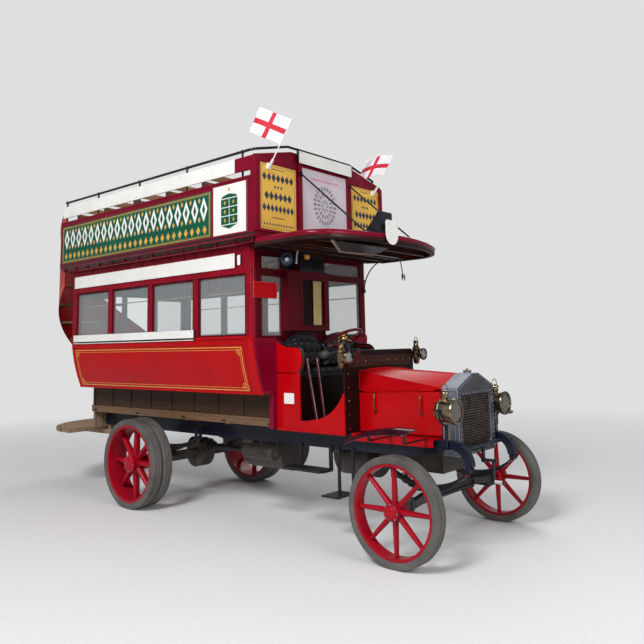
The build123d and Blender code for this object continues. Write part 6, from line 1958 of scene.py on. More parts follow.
@dataclass
class Cushions:
    """The driver's bench: a buttoned seat and two buttoned backs in black hide."""

    inner: float = 0.574
    seat: float = 1.450
    front: float = at(-1.309)
    rear: float = at(-1.584)

    def pad(self, name: str, shape: tuple[list[Vector], list[tuple[int, ...]]]) -> bpy.types.Object:
        """Makes one pad.

        Args:
            name: name of the piece.
            shape: its points and faces.

        Returns:
            The object.
        """
        thing = Piece(name, Shape().add(*shape), BLACK_HIDE, smooth=80).make()
        swell(thing, 0.006, 3.0, 0.006)
        settle(thing, BLACK_HIDE, "bus")
        return thing

    def make(self) -> None:
        """Builds the pads, their piping and buttons."""
        seat_top = self.seat + 0.086
        seat = self.pad("seat_pad", tufted((self.rear + 0.004, -self.inner + 0.006, self.seat + 0.006),
                                           (self.front - 0.004, self.inner - 0.006, seat_top), 0.115, 0.020,
                                           0.022, 2, 60, 20))
        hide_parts("seat_cushions")
        buttons = Row("pad_buttons", Head.DOME, (0.017, 0.017, 0.008), BLACK_HIDE)
        for row in range(2):
            for k in range(9):
                y = -0.46 + 0.115 * k + (0.0575 if row else 0)
                if abs(y) < self.inner - 0.06:
                    buttons.mark((self.rear + 0.085 + 0.115 * row, y, seat_top - 0.018), (0, 0, 1))
        piping = Shape()
        loop = [(self.front - 0.010, -self.inner + 0.014), (self.front - 0.010, self.inner - 0.014)]
        piping.tube([(x, y, self.seat + 0.060) for x, y in loop], 0.006, 8)
        piping.tube([(self.front - 0.005, y, self.seat + 0.012) for _, y in loop], 0.006, 8)
        for side, word in SIDES:
            self.squab(side, word, buttons, piping)
        Piece("pad_piping", piping, BLACK_HIDE).make()
        buttons.make()

    def squab(self, side: int, word: str, buttons: Row, piping: Shape) -> None:
        """A back pad with an arched top.

        Args:
            side: -1 offside, 1 nearside.
            word: name of the side.
            buttons: row that gets its buttons.
            piping: shape that gets its piping.
        """
        low_z, near, far = 1.548, 0.016, self.inner - 0.006
        columns, rows, edge, pitch = 34, 30, 0.045, 0.105
        back = self.rear + 0.004

        def top(y: float) -> float:
            t = (y - near) / (far - near)
            return 1.762 + 0.143 * math.sin(math.pi * min(1.0, max(0.0, t * 0.96 + 0.04))) ** 0.8 + 0.026 * t

        points = []
        for layer in (1, 0):
            for j in range(rows + 1):
                for i in range(columns + 1):
                    u, v = i / columns, j / rows
                    y = near + (far - near) * u
                    z = low_z + (top(y) - low_z) * v
                    x = back
                    if layer:
                        reach = min(u * (far - near), (1 - u) * (far - near), v * (top(y) - low_z),
                                    (1 - v) * (top(y) - low_z))
                        rise = math.sqrt(max(0.0, 1 - max(0.0, 1 - reach / edge) ** 2))
                        row_number = round((z - low_z - 0.05) / pitch)
                        shift = 0.5 * pitch * (row_number % 2)
                        near_button = math.hypot((y + shift) % pitch - pitch / 2,
                                                 (z - low_z - 0.05 + pitch / 2) % pitch - pitch / 2)
                        x = back + 0.030 + 0.052 * rise - 0.020 * math.exp(-(near_button / 0.024) ** 2) * rise
                    points.append(Vector((x, side * y, z)))
        squab = self.pad(f"squab_{word}", (points, pad_faces(columns, rows)))
        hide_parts("seat_cushions")
        for level in range(3):
            z = low_z + 0.05 + pitch * level
            shift = 0.5 * pitch * (level % 2)
            for k in range(8):
                y = pitch / 2 - shift + pitch * k
                if near + 0.05 < y < far - 0.04 and z < top(y) - 0.05:
                    buttons.mark((back + 0.064, side * y, z), (1, 0, 0))
        crest = [near + 0.01 + (far - near - 0.02) * k / 16 for k in range(17)]
        ridge = [Vector((back + 0.058, side * y, top(y) - 0.006)) for y in crest]
        piping.tube(ridge, 0.006, 8)


@dataclass
class Cab:
    """Steering wheel, controls, horn, side lamps, dash and seat fittings."""

    hub: tuple[float, float, float] = (at(-1.000), -0.270, 1.840)
    rake: float = math.radians(25.0)
    side_levers: tuple[tuple[float, float], ...] = ((-1.190, -0.060), (-1.130, -0.030))

    def make(self) -> None:
        """Builds everything in the cab."""
        self.wheel()
        self.levers()
        self.pedals()
        self.horn()
        self.dash()
        self.lamps()
        self.arms()
        self.panels()

    def wheel(self) -> None:
        """A smooth red rim on five brass spokes with a brass boss and advance levers."""
        centre = Vector(self.hub)
        up = Vector((-math.sin(self.rake), 0, math.cos(self.rake)))
        first = Vector((0, 1, 0))
        second = up.cross(first)
        rim = Shape()
        loop = [centre + (first * math.cos(t) + second * math.sin(t)) * 0.191 for t in sweep(64)]
        rim.tube(loop, 0.0142, 14, closed=True)
        rim_piece = Piece("steering_rim", rim, DEEP_RED, "steering_wheel", smooth=80).make()
        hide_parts("steering_wheel")
        spider = Shape().lathe([(-0.0238, 0.0), (-0.0238, 0.036), (-0.010, 0.038), (0.004, 0.036),
                                (0.012, 0.026), (0.020, 0.024),
                                (0.024, 0.018), (0.026, 0.0)], centre, up, 28)
        for k in range(5):
            turn = math.radians(90 + 72 * k)
            out = first * math.cos(turn) + second * math.sin(turn)
            across = out.cross(up)
            stations = [(0.020, 0.014, 0.006), (0.070, 0.011, 0.005), (0.130, 0.009, 0.0045),
                        (0.182, 0.012, 0.006)]
            rings = []
            for along, wide, deep in stations:
                middle = centre + out * along - up * 0.005
                rings.append([middle + across * (wide * math.cos(a)) + up * (deep * math.sin(a)) for a in
                              sweep(10)])
            spider.rings(rings)
        Piece("steering_spider", spider, BRASS, "steering_wheel", smooth=50).make()
        quadrant = Shape()
        for start, reach, drop in ((0.4, 0.115, 0.030), (1.1, 0.100, 0.036)):
            out = first * math.cos(start) + second * math.sin(start)
            quadrant.tube([centre + up * drop, centre + up * drop + out * reach * 0.9,
                           centre + up * (drop + 0.012) + out * reach],
                          0.0045, 8)
            quadrant.ball(centre + up * (drop + 0.014) + out * reach, 0.010, 12)
        quadrant.lathe([(0.018, 0.0), (0.018, 0.030), (0.024, 0.032), (0.034, 0.022), (0.040, 0.0)], centre,
                       up, 24)
        Piece("advance_levers", quadrant, BRASS, "steering_wheel").make()

    def levers(self) -> None:
        """Ratchet rods, grips and quadrant plates of the two red side levers."""
        rods, plates = Shape(), Shape()
        for k, (station, lean) in enumerate(self.side_levers):
            y = -(0.574 - 0.034 - 0.045 * k) - 0.004
            foot, head = Vector((at(station + 0.086), y - 0.020,
                                 1.02)), Vector((at(station + lean + 0.038), y - 0.020, 1.545))
            rods.tube([foot, head, head + Vector((-0.010, 0, 0.045))], 0.0045, 8)
            rods.tube([head + Vector((-0.012, 0, 0.042)), head + Vector((-0.020, 0, 0.105))], 0.0065, 8)
            plates.prism([(at(station + 0.02), y + 0.014, 0.979), (at(station + 0.20), y + 0.014, 0.979),
                          (at(station + 0.20), y + 0.014, 1.045), (at(station + 0.11), y + 0.014, 1.085),
                          (at(station + 0.02), y + 0.014, 1.045)], (0, -0.006, 0))
        Piece("lever_ratchets", rods, BARE_STEEL).make()
        Piece("lever_quadrants", plates, FRAME_BLACK, bevel=0.002).make()
        grips = Shape()
        for k, (station, lean) in enumerate(self.side_levers):
            y = -(0.574 - 0.034 - 0.045 * k) - 0.007
            grips.lathe([(-0.050, 0.0), (-0.050, 0.0145), (-0.030, 0.0185), (0.010, 0.0175), (0.040, 0.020),
                         (0.052, 0.014),
                         (0.055, 0.0)], (at(station + lean + 0.012), y, 1.600), (-0.10, 0, 1.0), 20)
        Piece("lever_grips", grips, DEEP_RED).make()

    def pedals(self) -> None:
        """Two pedals and the accelerator."""
        pads, stems = Shape(), Shape()
        for y, size in ((-0.385, 0.050), (-0.165, 0.050), (-0.275, 0.026)):
            top = Vector((at(-0.905), y, 1.150))
            stems.tube([Vector((at(-0.800), y, 0.980)), Vector((at(-0.850), y, 1.080)),
                        top - Vector((0.01, 0, 0))], 0.009, 8)
            pads.prism([top + Vector((-0.006, -size, -size * 0.8)), top + Vector((-0.006, size, -size * 0.8)),
                        top + Vector((0.030, size, size * 0.8)), top + Vector((0.030, -size, size * 0.8))],
                       (0.012, 0, -0.005))
        Piece("pedal_pads", pads, BARE_STEEL, bevel=0.003).make()
        Piece("pedal_stems", stems, FRAME_BLACK).make()

    def horn(self) -> None:
        """A black bulb horn on the offside of the dash."""
        mouth = Vector((at(-0.640), -0.545, 1.680))
        bell = Shape()
        path = [Vector((at(-0.900), -0.600, 1.700)), Vector((at(-0.860), -0.590, 1.712)),
                Vector((at(-0.800), -0.575, 1.716)),
                Vector((at(-0.720), -0.558, 1.702)), mouth]
        bell.tube(path, 0.01, 20, radii=[0.010, 0.013, 0.018, 0.032, 0.062])
        bell.tube([mouth, mouth + Vector((0.014, 0.003, -0.005))], 0.01, 20, radii=[0.062, 0.070])
        Piece("horn_bell", bell, GLOSS_BLACK, smooth=60).make()
        bulb = Shape().lathe([(-0.060, 0.0), (-0.056, 0.020), (-0.030, 0.040), (0.0, 0.043), (0.026, 0.034),
                              (0.044, 0.016),
                              (0.056, 0.010), (0.060, 0.0)], (at(-0.955), -0.612, 1.688), (0.97, 0.2, 0.15),
                             24)
        Piece("horn_bulb", bulb, BLACK_RUBBER, smooth=80).make()
        bracket = Shape().box((at(-0.790), -0.590, 1.660), (at(-0.765), -0.560, 1.712))
        Piece("horn_bracket", bracket, BRASS, bevel=0.003).make()

    def dash(self) -> None:
        """Edge moulding, panel, gauges, taps and screws of the dash."""
        x_front, x_rear, gauge_height = at(-0.7495), at(-0.7725), 1.600
        edge = Shape()
        side_path = [(0.580, 0.955), (0.580, 1.680), (0.571, 1.701), (0.550, 1.710)]
        path = [(-y, z) for y, z in side_path] + side_path[::-1]
        edge.tube([(at(-0.761), y, z) for y, z in path], 0.0125, 12)
        Piece("dash_edge", edge, DASH_BROWN, smooth=60).make()
        # The panel takes the dark brown used under the canopy, painted shade included.
        panel = Shape().box((x_front - 0.001, -0.540, 1.560), (x_front + 0.006, 0.540, 1.668))
        Piece("dash_panel", panel, SOFFIT_SHADE_BROWN, bevel=0.003).make()
        gauges, faces = Shape(), Shape()
        for y, radius in ((-0.020, 0.042), (0.110, 0.030), (0.210, 0.030)):
            gauges.lathe([(0.0, radius), (0.022, radius), (0.026, radius * 0.94), (0.026, radius * 0.80),
                          (0.018, radius * 0.78),
                          (0.018, 0.0)], (x_rear, y, gauge_height), (-1, 0, 0), 28)
            faces.lathe([(0.0182, radius * 0.78), (0.0192, 0.0)], (x_rear, y, gauge_height), (-1, 0, 0), 28)
        Piece("dash_gauges", gauges, BRASS).make()
        Piece("dash_gauge_faces", faces, PAPER_PALE).make()
        taps = Shape()
        for k in range(3):
            y = 0.32 + 0.055 * k
            taps.tube([(x_rear, y, gauge_height), (x_rear - 0.030, y, gauge_height)], 0.007, 8)
            taps.tube([(x_rear - 0.026, y - 0.018, gauge_height), (x_rear - 0.026, y + 0.018, gauge_height)],
                      0.0045, 8)
        taps.tube([(x_rear - 0.004, -0.30, 1.52), (x_rear - 0.004, 0.42, 1.52)], 0.005, 8)
        taps.tube([(x_rear - 0.004, 0.42, 1.52), (x_rear - 0.004, 0.45, 1.40), (x_rear - 0.004, 0.45, 1.00)],
                  0.005, 8)
        Piece("dash_taps", taps, BRASS).make()
        screws = Row("dash_screws", Head.DOME, (0.012, 0.012, 0.005), BRASS)
        for y in (-0.525, 0.525):
            screws.run((x_front + 0.0005, y, 1.00), (x_front + 0.0005, y, 1.50), 5, (1, 0, 0))
        screws.run((x_front + 0.006, -0.50, 1.614), (x_front + 0.006, 0.50, 1.614), 9, (1, 0, 0))
        screws.make()

    def lamps(self) -> None:
        """Chimneys, hoods, lenses, fonts and rims of the two brass side lamps."""
        trim, glass = Shape(), Shape()
        for side in (-1, 1):
            x, y, z = at(-0.740), side * 0.640, 1.660
            trim.lathe([(0.0, 0.043), (0.006, 0.046), (0.012, 0.043), (0.040, 0.027), (0.046, 0.030),
                        (0.052, 0.026), (0.076, 0.025),
                        (0.080, 0.031), (0.086, 0.031), (0.100, 0.014), (0.104, 0.0)], (x, y, z + 0.044),
                       (0, 0, 1), 28)
            trim.lathe([(0.0, 0.031), (0.004, 0.036), (0.012, 0.036), (0.050, 0.030), (0.060, 0.018),
                        (0.062, 0.0)],
                       (x, y, z - 0.044), (0, 0, -1), 28)
            trim.lathe([(-0.010, 0.044), (0.0, 0.052), (0.008, 0.063), (0.020, 0.066), (0.029, 0.061),
                        (0.029, 0.050),
                        (0.0, 0.037)], (x + 0.070, y, z), (1, 0, 0), 36, loop=True)
            glass.lathe([(0.0, 0.049), (0.010, 0.046), (0.018, 0.028), (0.021, 0.0)], (x + 0.084, y, z),
                        (1, 0, 0), 28)
            handle = [(x, y + 0.034 * math.cos(t), z + 0.140 + 0.040 * math.sin(t))
                      for t in sweep(12, math.pi)]
            trim.tube(handle, 0.0035, 8)
        Piece("side_lamp_trim", trim, DULL_BRASS, smooth=50).make()
        Piece("side_lamp_glass", glass, clear_glass("side_lamp_glass", (0.30, 0.31, 0.32), 0.6),
              slot="glass").make()

    def arms(self) -> None:
        """Dark rolled piping along the tops of the seat arms."""
        def arm(side: int) -> list[Vector]:
            plan = [(-1.306, 1.515), (-1.290, 1.530), (-1.268, 1.570), (-1.256, 1.620), (-1.256, 1.662),
                    (-1.262, 1.700),
                    (-1.278, 1.730), (-1.305, 1.755), (-1.336, 1.766), (-1.370, 1.770), (-1.425, 1.771),
                    (-1.480, 1.776),
                    (-1.522, 1.788), (-1.560, 1.806), (-1.590, 1.823)]
            return [Vector((at(x), side * 0.590, z)) for x, z in plan]
        roll = Shape()
        for side in (-1, 1):
            roll.tube(arm(side), 0.0145, 12)
        Piece("arm_rolls", roll, BLACK_HIDE, smooth=80).make()
        nails = Row("arm_nails", Head.DOME, (0.009, 0.009, 0.005), BRASS)
        for side in (-1, 1):
            path = arm(side)
            for a, b in zip(path, path[1:]):
                steps = max(1, round((b - a).length / 0.022))
                for k in range(steps):
                    p = a.lerp(b, k / steps)
                    inward = Vector((-0.4, 0, -1)).normalized()
                    nails.mark((p.x + inward.x * 0.022, side * 0.6002, p.z + inward.z * 0.022), (0, side, 0))
        nails.make()

    def panels(self) -> None:
        """Beads, cheeks and linings of the cab's sides, and the floor's boards."""
        for side, word in SIDES:
            low, high = side * 0.6003, side * 0.6085
            bead = Shape()
            bead.box((at(-1.610), low, 0.945), (at(-0.765), high, 0.965))
            bead.box((at(-1.610), low, 0.965), (at(-1.598), high, 1.500))
            Piece(f"cab_beads_{word}", bead, BODY_RED, bevel=0.003).make()
            arm = [(-1.612, 1.512), (-1.325, 1.512), (-1.296, 1.528), (-1.272, 1.572), (-1.262, 1.620),
                   (-1.262, 1.662),
                   (-1.270, 1.702), (-1.288, 1.730), (-1.318, 1.750), (-1.372, 1.757), (-1.480, 1.763),
                   (-1.522, 1.774),
                   (-1.560, 1.792), (-1.612, 1.822)]
            cheek = Shape().prism([(at(x), side * 0.5995, z) for x, z in arm], (0, side * 0.0165, 0))
            Piece(f"arm_cheek_{word}", cheek, BODY_RED, bevel=0.005).make()
            inside = [(-1.300, 1.052), (-1.233, 1.052), (-1.075, 1.077), (-0.960, 1.118), (-0.870, 1.182),
                      (-0.800, 1.262),
                      (-0.775, 1.318), (-0.775, 0.984), (-1.300, 0.984)]
            lining = Shape().prism([(at(x), side * 0.5795, z - 0.006) for x, z in inside],
                                   (0, -side * 0.0045, 0))
            lining.prism([(at(x), side * 0.5795, z - 0.008) for x,
                          z in arm[1:-1]] + [(at(-1.560), side * 0.5795, 1.512)],
                         (0, -side * 0.0045, 0))
            Piece(f"cab_lining_{word}", lining, BLACK_HIDE).make()
        boards = Row("cab_floor_boards", Head.BAR, (0.80, 0.108, 0.006), FLOOR_BOARDS)
        boards.run((at(-1.19), -0.50, 0.981), (at(-1.19), 0.50, 0.981), 9, (0, 0, 1)).make()


@dataclass
class FrontEnd:
    """Fittings of the radiator, bonnet, headlamps, frame front and starting handle."""

    shell_front: float = at(0.290)
    shell_rear: float = at(0.130)
    half: float = 0.330

    def make(self) -> None:
        """Builds everything ahead of the dash."""
        self.radiator()
        self.core()
        self.bonnet()
        self.headlamps()
        self.irons()
        self.handle()

    def radiator(self) -> None:
        """Bolts, ribs and filler cap of the radiator shell."""
        f, r = self.shell_front, self.shell_rear
        bolts = Row("radiator_bolts", Head.HEX, (0.019, 0.019, 0.009), RADIATOR_GREY)
        for side in (-1, 1):
            bolts.run((f, side * 0.303, 0.835), (f, side * 0.303, 1.345), 14, (1, 0, 0))
            for x in (f - 0.020, r + 0.020):
                bolts.run((x, side * self.half, 0.850), (x, side * self.half, 1.360), 11, (0, side, 0))
            bolts.run((f, side * 0.292, 1.378), (f, side * 0.075, 1.4700), 8, (1, 0, 0))
            bolts.run((r + 0.030, side * self.half, 1.374), (f - 0.030, side * self.half, 1.374), 5,
                      (0, side, 0))
        bolts.run((f, -0.190, 0.820), (f, 0.190, 0.820), 7, (1, 0, 0))
        bolts.run((f, -0.250, 1.334), (f, 0.250, 1.334), 9, (1, 0, 0))
        bolts.make()
        ribs = Shape()
        for side in (-1, 1):
            low, high = side * self.half, side * (self.half + 0.010)
            for x in (f - 0.040, r + 0.040):
                ribs.box((x - 0.005, low, 0.812), (x + 0.005, high, 1.388))
            for z in (0.815, 1.362):
                ribs.box((r + 0.012, low, z - 0.006), (f - 0.012, high, z + 0.006))
        Piece("radiator_ribs", ribs, RADIATOR_GREY, bevel=0.003).make()
        cap = Shape().lathe([(0.0, 0.035), (0.002, 0.040), (0.010, 0.040), (0.013, 0.034), (0.014, 0.014),
                             (0.026, 0.013),
                             (0.029, 0.0)], (at(0.210), 0, 1.512), (0, 0, 1), 32)
        Piece("filler_cap", cap, NICKEL, smooth=50).make()

    def core(self) -> None:
        """Level brown slats with thin upright bars."""
        face = at(0.259)
        slats = Shape()
        for k in range(21):
            z = 0.848 + 0.0224 * k
            half = 0.268 - max(0.0, 0.911 - z)
            slats.prism([(face - 0.004, -half, z), (face + 0.015, -half, z - 0.005),
                         (face + 0.0155, -half, z + 0.001),
                         (face - 0.003, -half, z + 0.006)], (0, 2 * half, 0))
        Piece("core_slats", slats, CORE_BROWN).make()
        bars = Shape()
        for k in range(9):
            y = -0.248 + 0.062 * k
            foot = 0.838 + max(0.0, abs(y) - 0.199)
            bars.box((face + 0.006, y - 0.002, foot), (face + 0.0130, y + 0.002, 1.312))
        Piece("core_bars", bars, CORE_BROWN).make()

    @staticmethod
    def bonnet_taper(station: float) -> tuple[float, float]:
        """Share of the bonnet's length from the dash and its half width there."""
        share = (station + 0.750) / 0.880
        return share, 0.370 - 0.036 * share

    def bonnet(self) -> None:
        """Centre bead, end beads, rivets and clips of the bonnet."""
        beads = Shape().tube([(at(-0.745), 0, 1.540), (at(0.125), 0, 1.490)], 0.0035, 8)
        for station in (-0.743, 0.121):
            t, half = self.bonnet_taper(station)
            shoulder, crest = 1.525 - 0.145 * t, 1.540 - 0.050 * t
            beads.tube([(at(station), -half, 1.362), (at(station), -half, shoulder),
                        (at(station), -0.060, crest),
                        (at(station), 0.060, crest), (at(station), half, shoulder),
                        (at(station), half, 1.362)], 0.0055, 8)
        for side in (-1, 1):
            beads.tube([(at(-0.745), side * 0.3702, 1.525), (at(0.125), side * 0.3342, 1.3810)], 0.003, 8)
            beads.tube([(at(-0.745), side * 0.060, 1.5402), (at(0.125), side * 0.060, 1.4902)], 0.0022, 6)
        Piece("bonnet_beads", beads, BODY_RED).make()
        for side, word in SIDES:
            body = f"bonnet_side_{word}"
            clips = Shape()
            for station in (-0.560, -0.070):
                y = side * (self.bonnet_taper(station)[1] + 0.018)
                bow = [(at(station), y + side * 0.016 * math.sin(math.pi * k / 10),
                        1.316 - 0.0156 * k) for k in range(11)]
                clips.tube(bow, 0.0055, 8)
                clips.ball((at(station), y + side * 0.002, 1.318), 0.011, 12)
                clips.lathe([(-0.014, 0.0), (-0.014, 0.009), (0.014, 0.009), (0.014, 0.0)],
                            (at(station), y, 1.150), (1, 0, 0), 16)
            Piece(f"bonnet_clips_{word}", clips, DULL_BRASS, body).make()
            low = Shape()
            low.tube([(at(-0.735), side * 0.3705, 0.973), (at(0.118), side * 0.3355, 0.973)], 0.006, 8)
            Piece(f"bonnet_foot_bead_{word}", low, BODY_RED, body).make()
            studs = Row(f"bonnet_side_rivets_{word}", Head.DOME, (0.010, 0.010, 0.004), BODY_RED, body)
            studs.run((at(-0.725), side * 0.3702, 1.02), (at(-0.725), side * 0.3702, 1.28), 5, (0, side, 0))
            studs.run((at(0.105), side * 0.3360, 1.02), (at(0.105), side * 0.3360, 1.30), 5, (0, side, 0))
            studs.make()
        lip = Shape()
        for side in (-1, 1):
            lip.tube([(at(-0.745), side * 0.499, 0.953), (at(0.124), side * 0.499, 0.953)], 0.006, 8)
        Piece("ledge_lip", lip, BODY_RED).make()

    def headlamps(self) -> None:
        """Rims, reflectors, lenses, chimneys and forks of the two headlamps."""
        rims, glass, irons = Shape(), Shape(), Shape()
        middle, fork_foot = 0.240, -0.128
        for side in (-1, 1):
            c = Vector((at(0.0), side * 0.462, 1.200))
            rims.lathe([(0.314, 0.093), (0.316, 0.106), (0.322, 0.109), (0.334, 0.110), (0.346, 0.109),
                        (0.354, 0.104),
                        (0.355, 0.094), (0.350, 0.090), (0.330, 0.092)], c, (1, 0, 0), 48, loop=True)
            rims.lathe([(0.196, 0.090), (0.200, 0.097), (0.208, 0.097), (0.212, 0.092)], c, (1, 0, 0), 48,
                       loop=True)
            rims.lathe([(0.168, 0.076), (0.172, 0.083), (0.178, 0.083), (0.180, 0.078)], c, (1, 0, 0), 48,
                       loop=True)
            rims.lathe([(0.130, 0.0), (0.132, 0.020), (0.140, 0.036), (0.152, 0.041)], c, (1, 0, 0), 32)
            rims.lathe([(0.0, 0.031), (0.006, 0.038), (0.014, 0.038), (0.018, 0.033), (0.040, 0.033),
                        (0.044, 0.041), (0.050, 0.041),
                        (0.066, 0.026), (0.072, 0.0)], c + Vector((middle, 0, 0.104)), (0, 0, 1), 28)
            ring = [c + Vector((middle, 0.046 * math.cos(t),
                                0.172 + 0.050 * math.sin(t))) for t in sweep(14, math.pi)]
            rims.tube(ring, 0.004, 8)
            rims.lathe([(0.246, 0.0), (0.248, 0.012), (0.256, 0.016), (0.272, 0.012), (0.280, 0.0)], c,
                       (1, 0, 0), 20)
            glass.lathe([(0.338, 0.0925), (0.347, 0.078), (0.354, 0.050), (0.357, 0.0)], c, (1, 0, 0), 48)
            irons.tube([c + Vector((middle, -0.112, 0.02)), c + Vector((middle, -0.100, -0.080)),
                        c + Vector((middle, 0, fork_foot)),
                        c + Vector((middle, 0.100, -0.080)), c + Vector((middle, 0.112, 0.02))], 0.0085, 10)
            for way in (-1, 1):
                irons.lathe([(-0.012, 0.0), (-0.012, 0.012), (0.012, 0.012), (0.012, 0.0)],
                            c + Vector((middle, way * 0.104, 0.012)),
                            (0, 1, 0), 16)
            irons.tube([c + Vector((middle, 0, fork_foot)), c + Vector((middle, 0, -0.30))], 0.012, 10)
        Piece("headlamp_trim", rims, NICKEL, slot="brass", smooth=50).make()
        Piece("headlamp_glass", glass, clear_glass("headlamp_glass", (0.34, 0.33, 0.30), 0.22),
              slot="glass").make()
        Piece("headlamp_forks", irons, BLUE_BLACK).make()

    def irons(self) -> None:
        """Rivets on the front of the frame's rails and bolts on the dumb irons."""
        bolts = Row("iron_bolts", Head.HEX, (0.026, 0.026, 0.014), FRAME_BLACK)
        rail = Row("rail_rivets", Head.DOME, (0.020, 0.020, 0.008), FRAME_BLACK)
        for side in (-1, 1):
            for station in (-0.62, -0.35, -0.05, 0.18):
                for z in (0.862, 0.912):
                    rail.mark((at(station), side * FRAME_RAIL_FACE, z), (0, side, 0))
            for station in (0.30, 0.35, 0.40):
                bolts.mark((at(station), side * FRAME_RAIL_FACE, 0.880), (0, side, 0))
        bolts.make()
        rail.make()

    def handle(self) -> None:
        """White cord bound round the starting handle's grip."""
        cord = Shape()
        turns, pitch, grip_height = 22, 0.0036, 0.565
        for k in range(turns):
            x = at(0.4245) + pitch * k
            cord.lathe([(0.0, 0.0142), (0.0006, 0.0158), (0.0018, 0.0164), (0.0030, 0.0158), (pitch, 0.0142)],
                       (x, 0, grip_height),
                       (1, 0, 0), 18)
        Piece("handle_cord", cord, GRIP_CORD).make()
        ends = Shape()
        for x, way in ((at(0.5045), 1), (at(0.4310), -1)):
            ends.lathe([(0.0, 0.019), (0.004, 0.020), (0.008, 0.015), (0.009, 0.0)], (x, 0, grip_height),
                       (way, 0, 0), 18)
        ends.lathe([(0.0, 0.0), (0.0, 0.017), (0.022, 0.017), (0.026, 0.010), (0.027, 0.0)],
                   (at(0.4300), 0, 0.745), (1, 0, 0), 18)
        Piece("handle_ends", ends, FRAME_BLACK).make()


@dataclass
class WheelSet:
    """Fittings of one axle's wheels; places are distances from the bus's middle and radii."""

    end: str
    tyre_node: str
    station: float
    height: float
    cap: tuple[tuple[float, float], ...]
    cap_sides: int
    nut_size: tuple[float, float, float]
    nut_ring: tuple[float, float, int]
    bolt_size: tuple[float, float, float]
    bolt_ring: tuple[float, float, int]
    beads: tuple[tuple[tuple[float, float], ...], ...]
    bands: tuple[tuple[float, float], ...]
    tyre_inner: float
    tyre_outer: float


WHEEL_SETS = (
    WheelSet("front", "front_tyre", 0.0, 0.438,
             ((0.955, 0.066), (0.966, 0.070), (0.974, 0.070), (0.980, 0.058), (0.990, 0.056), (0.9985, 0.048),
              (1.0035, 0.030), (1.0050, 0.0)), 36,
             (0.019, 0.019, 0.013), (0.974, 0.0615, 8), (0.013, 0.013, 0.007), (0.958, 0.366, 24),
             (((0.9545, 0.3795), (0.9590, 0.3795), (0.9605, 0.376), (0.9590, 0.3725), (0.9545, 0.3725)),
              ((0.9545, 0.3590), (0.9590, 0.3590), (0.9600, 0.3565), (0.9590, 0.3540), (0.9545, 0.3540))),
             ((0.8435, 0.9675),), 0.3795, 0.4380),
    WheelSet("rear", "rear_tyres", -WHEELBASE, 0.492,
             ((1.012, 0.092), (1.020, 0.096), (1.028, 0.096), (1.034, 0.080), (1.040, 0.076), (1.0445, 0.060),
              (1.0470, 0.036), (1.0475, 0.0)), 40,
             (0.020, 0.020, 0.012), (1.028, 0.086, 10), (0.015, 0.015, 0.008), (1.038, 0.412, 28),
             (((1.0345, 0.4275), (1.0390, 0.4275), (1.0405, 0.4240), (1.0390, 0.4205), (1.0345, 0.4205)),),
             ((0.7885, 0.9080), (0.9265, 1.0455)), 0.4275, 0.4920),
)


class Wheels:
    """Hub caps, bolts, rings and treads of the four wheels."""

    def make(self) -> None:
        """Builds the wheels' fittings and tyres."""
        for side, word in SIDES:
            for wheel in WHEEL_SETS:
                self.fit(wheel, side, word)

    def fit(self, wheel: WheelSet, side: int, word: str) -> None:
        """Fittings of one wheel.

        Args:
            wheel: what its axle's wheels have.
            side: -1 offside, 1 nearside.
            word: name of the side.
        """
        body = f"{wheel.end}_wheel_{word}"
        centre = Vector((at(wheel.station), 0.0, wheel.height))
        axis = Vector((0, side, 0))
        cap = Shape().lathe(wheel.cap, centre, axis, wheel.cap_sides)
        Piece(f"{wheel.end}_hub_cap_{word}", cap, WHEEL_RED, body, smooth=50).make()
        nuts = Row(f"{wheel.end}_hub_bolts_{word}", Head.HEX, wheel.nut_size, BARE_STEEL, body)
        reach, radius, count = wheel.nut_ring
        nuts.ring(centre + axis * reach, axis, radius, count, 0.2).make()
        bolts = Row(f"{wheel.end}_rim_bolts_{word}", Head.DOME, wheel.bolt_size, WHEEL_RED, body)
        reach, radius, count = wheel.bolt_ring
        bolts.ring(centre + axis * reach, axis, radius, count, 0.1).make()
        rings = Shape()
        for bead in wheel.beads:
            rings.lathe(bead, centre, axis, 96, loop=True)
        Piece(f"{wheel.end}_rim_beads_{word}", rings, WHEEL_RED, body).make()
        self.tyre(f"{wheel.end}_tread_{word}", f"{wheel.tyre_node}_{word}", centre, axis, wheel.bands,
                  wheel.tyre_inner,
                  wheel.tyre_outer, body)

    @staticmethod
    def tyre(name: str, node: str, centre: Vector, axis: Vector, bands: Sequence[tuple[float, float]],
             inner: float,
             outer: float, body: str) -> None:
        """Solid tyres with rounded shoulders and two tread grooves.

        Args:
            name: name of the piece.
            node: tyre node that it stands for.
            centre: point on the wheel's axis at mid bus.
            axis: outward axis.
            bands: inner and outer face of each tyre along the axis.
            inner: inner radius.
            outer: outer radius.
            body: body that it rides on.
        """
        shape = Shape()
        for low, high in bands:
            wide, round_off, groove = high - low, 0.014, 0.006
            third = wide / 3
            profile = [(low + 0.003, inner), (low, inner + 0.010), (low, outer - round_off),
                       (low + 0.004, outer - 0.004),
                       (low + round_off, outer)]
            for middle in (low + third, low + 2 * third):
                profile += [(middle - 0.005, outer), (middle - 0.003, outer - groove),
                            (middle + 0.003, outer - groove),
                            (middle + 0.005, outer)]
            profile += [(high - round_off, outer), (high - 0.004, outer - 0.004), (high, outer - round_off),
                        (high, inner + 0.010),
                        (high - 0.003, inner)]
            shape.lathe(profile, centre, axis, 72, loop=True)
        thing = Piece(name, shape, TYRE_GREY, body, smooth=40).make()
        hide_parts(node)


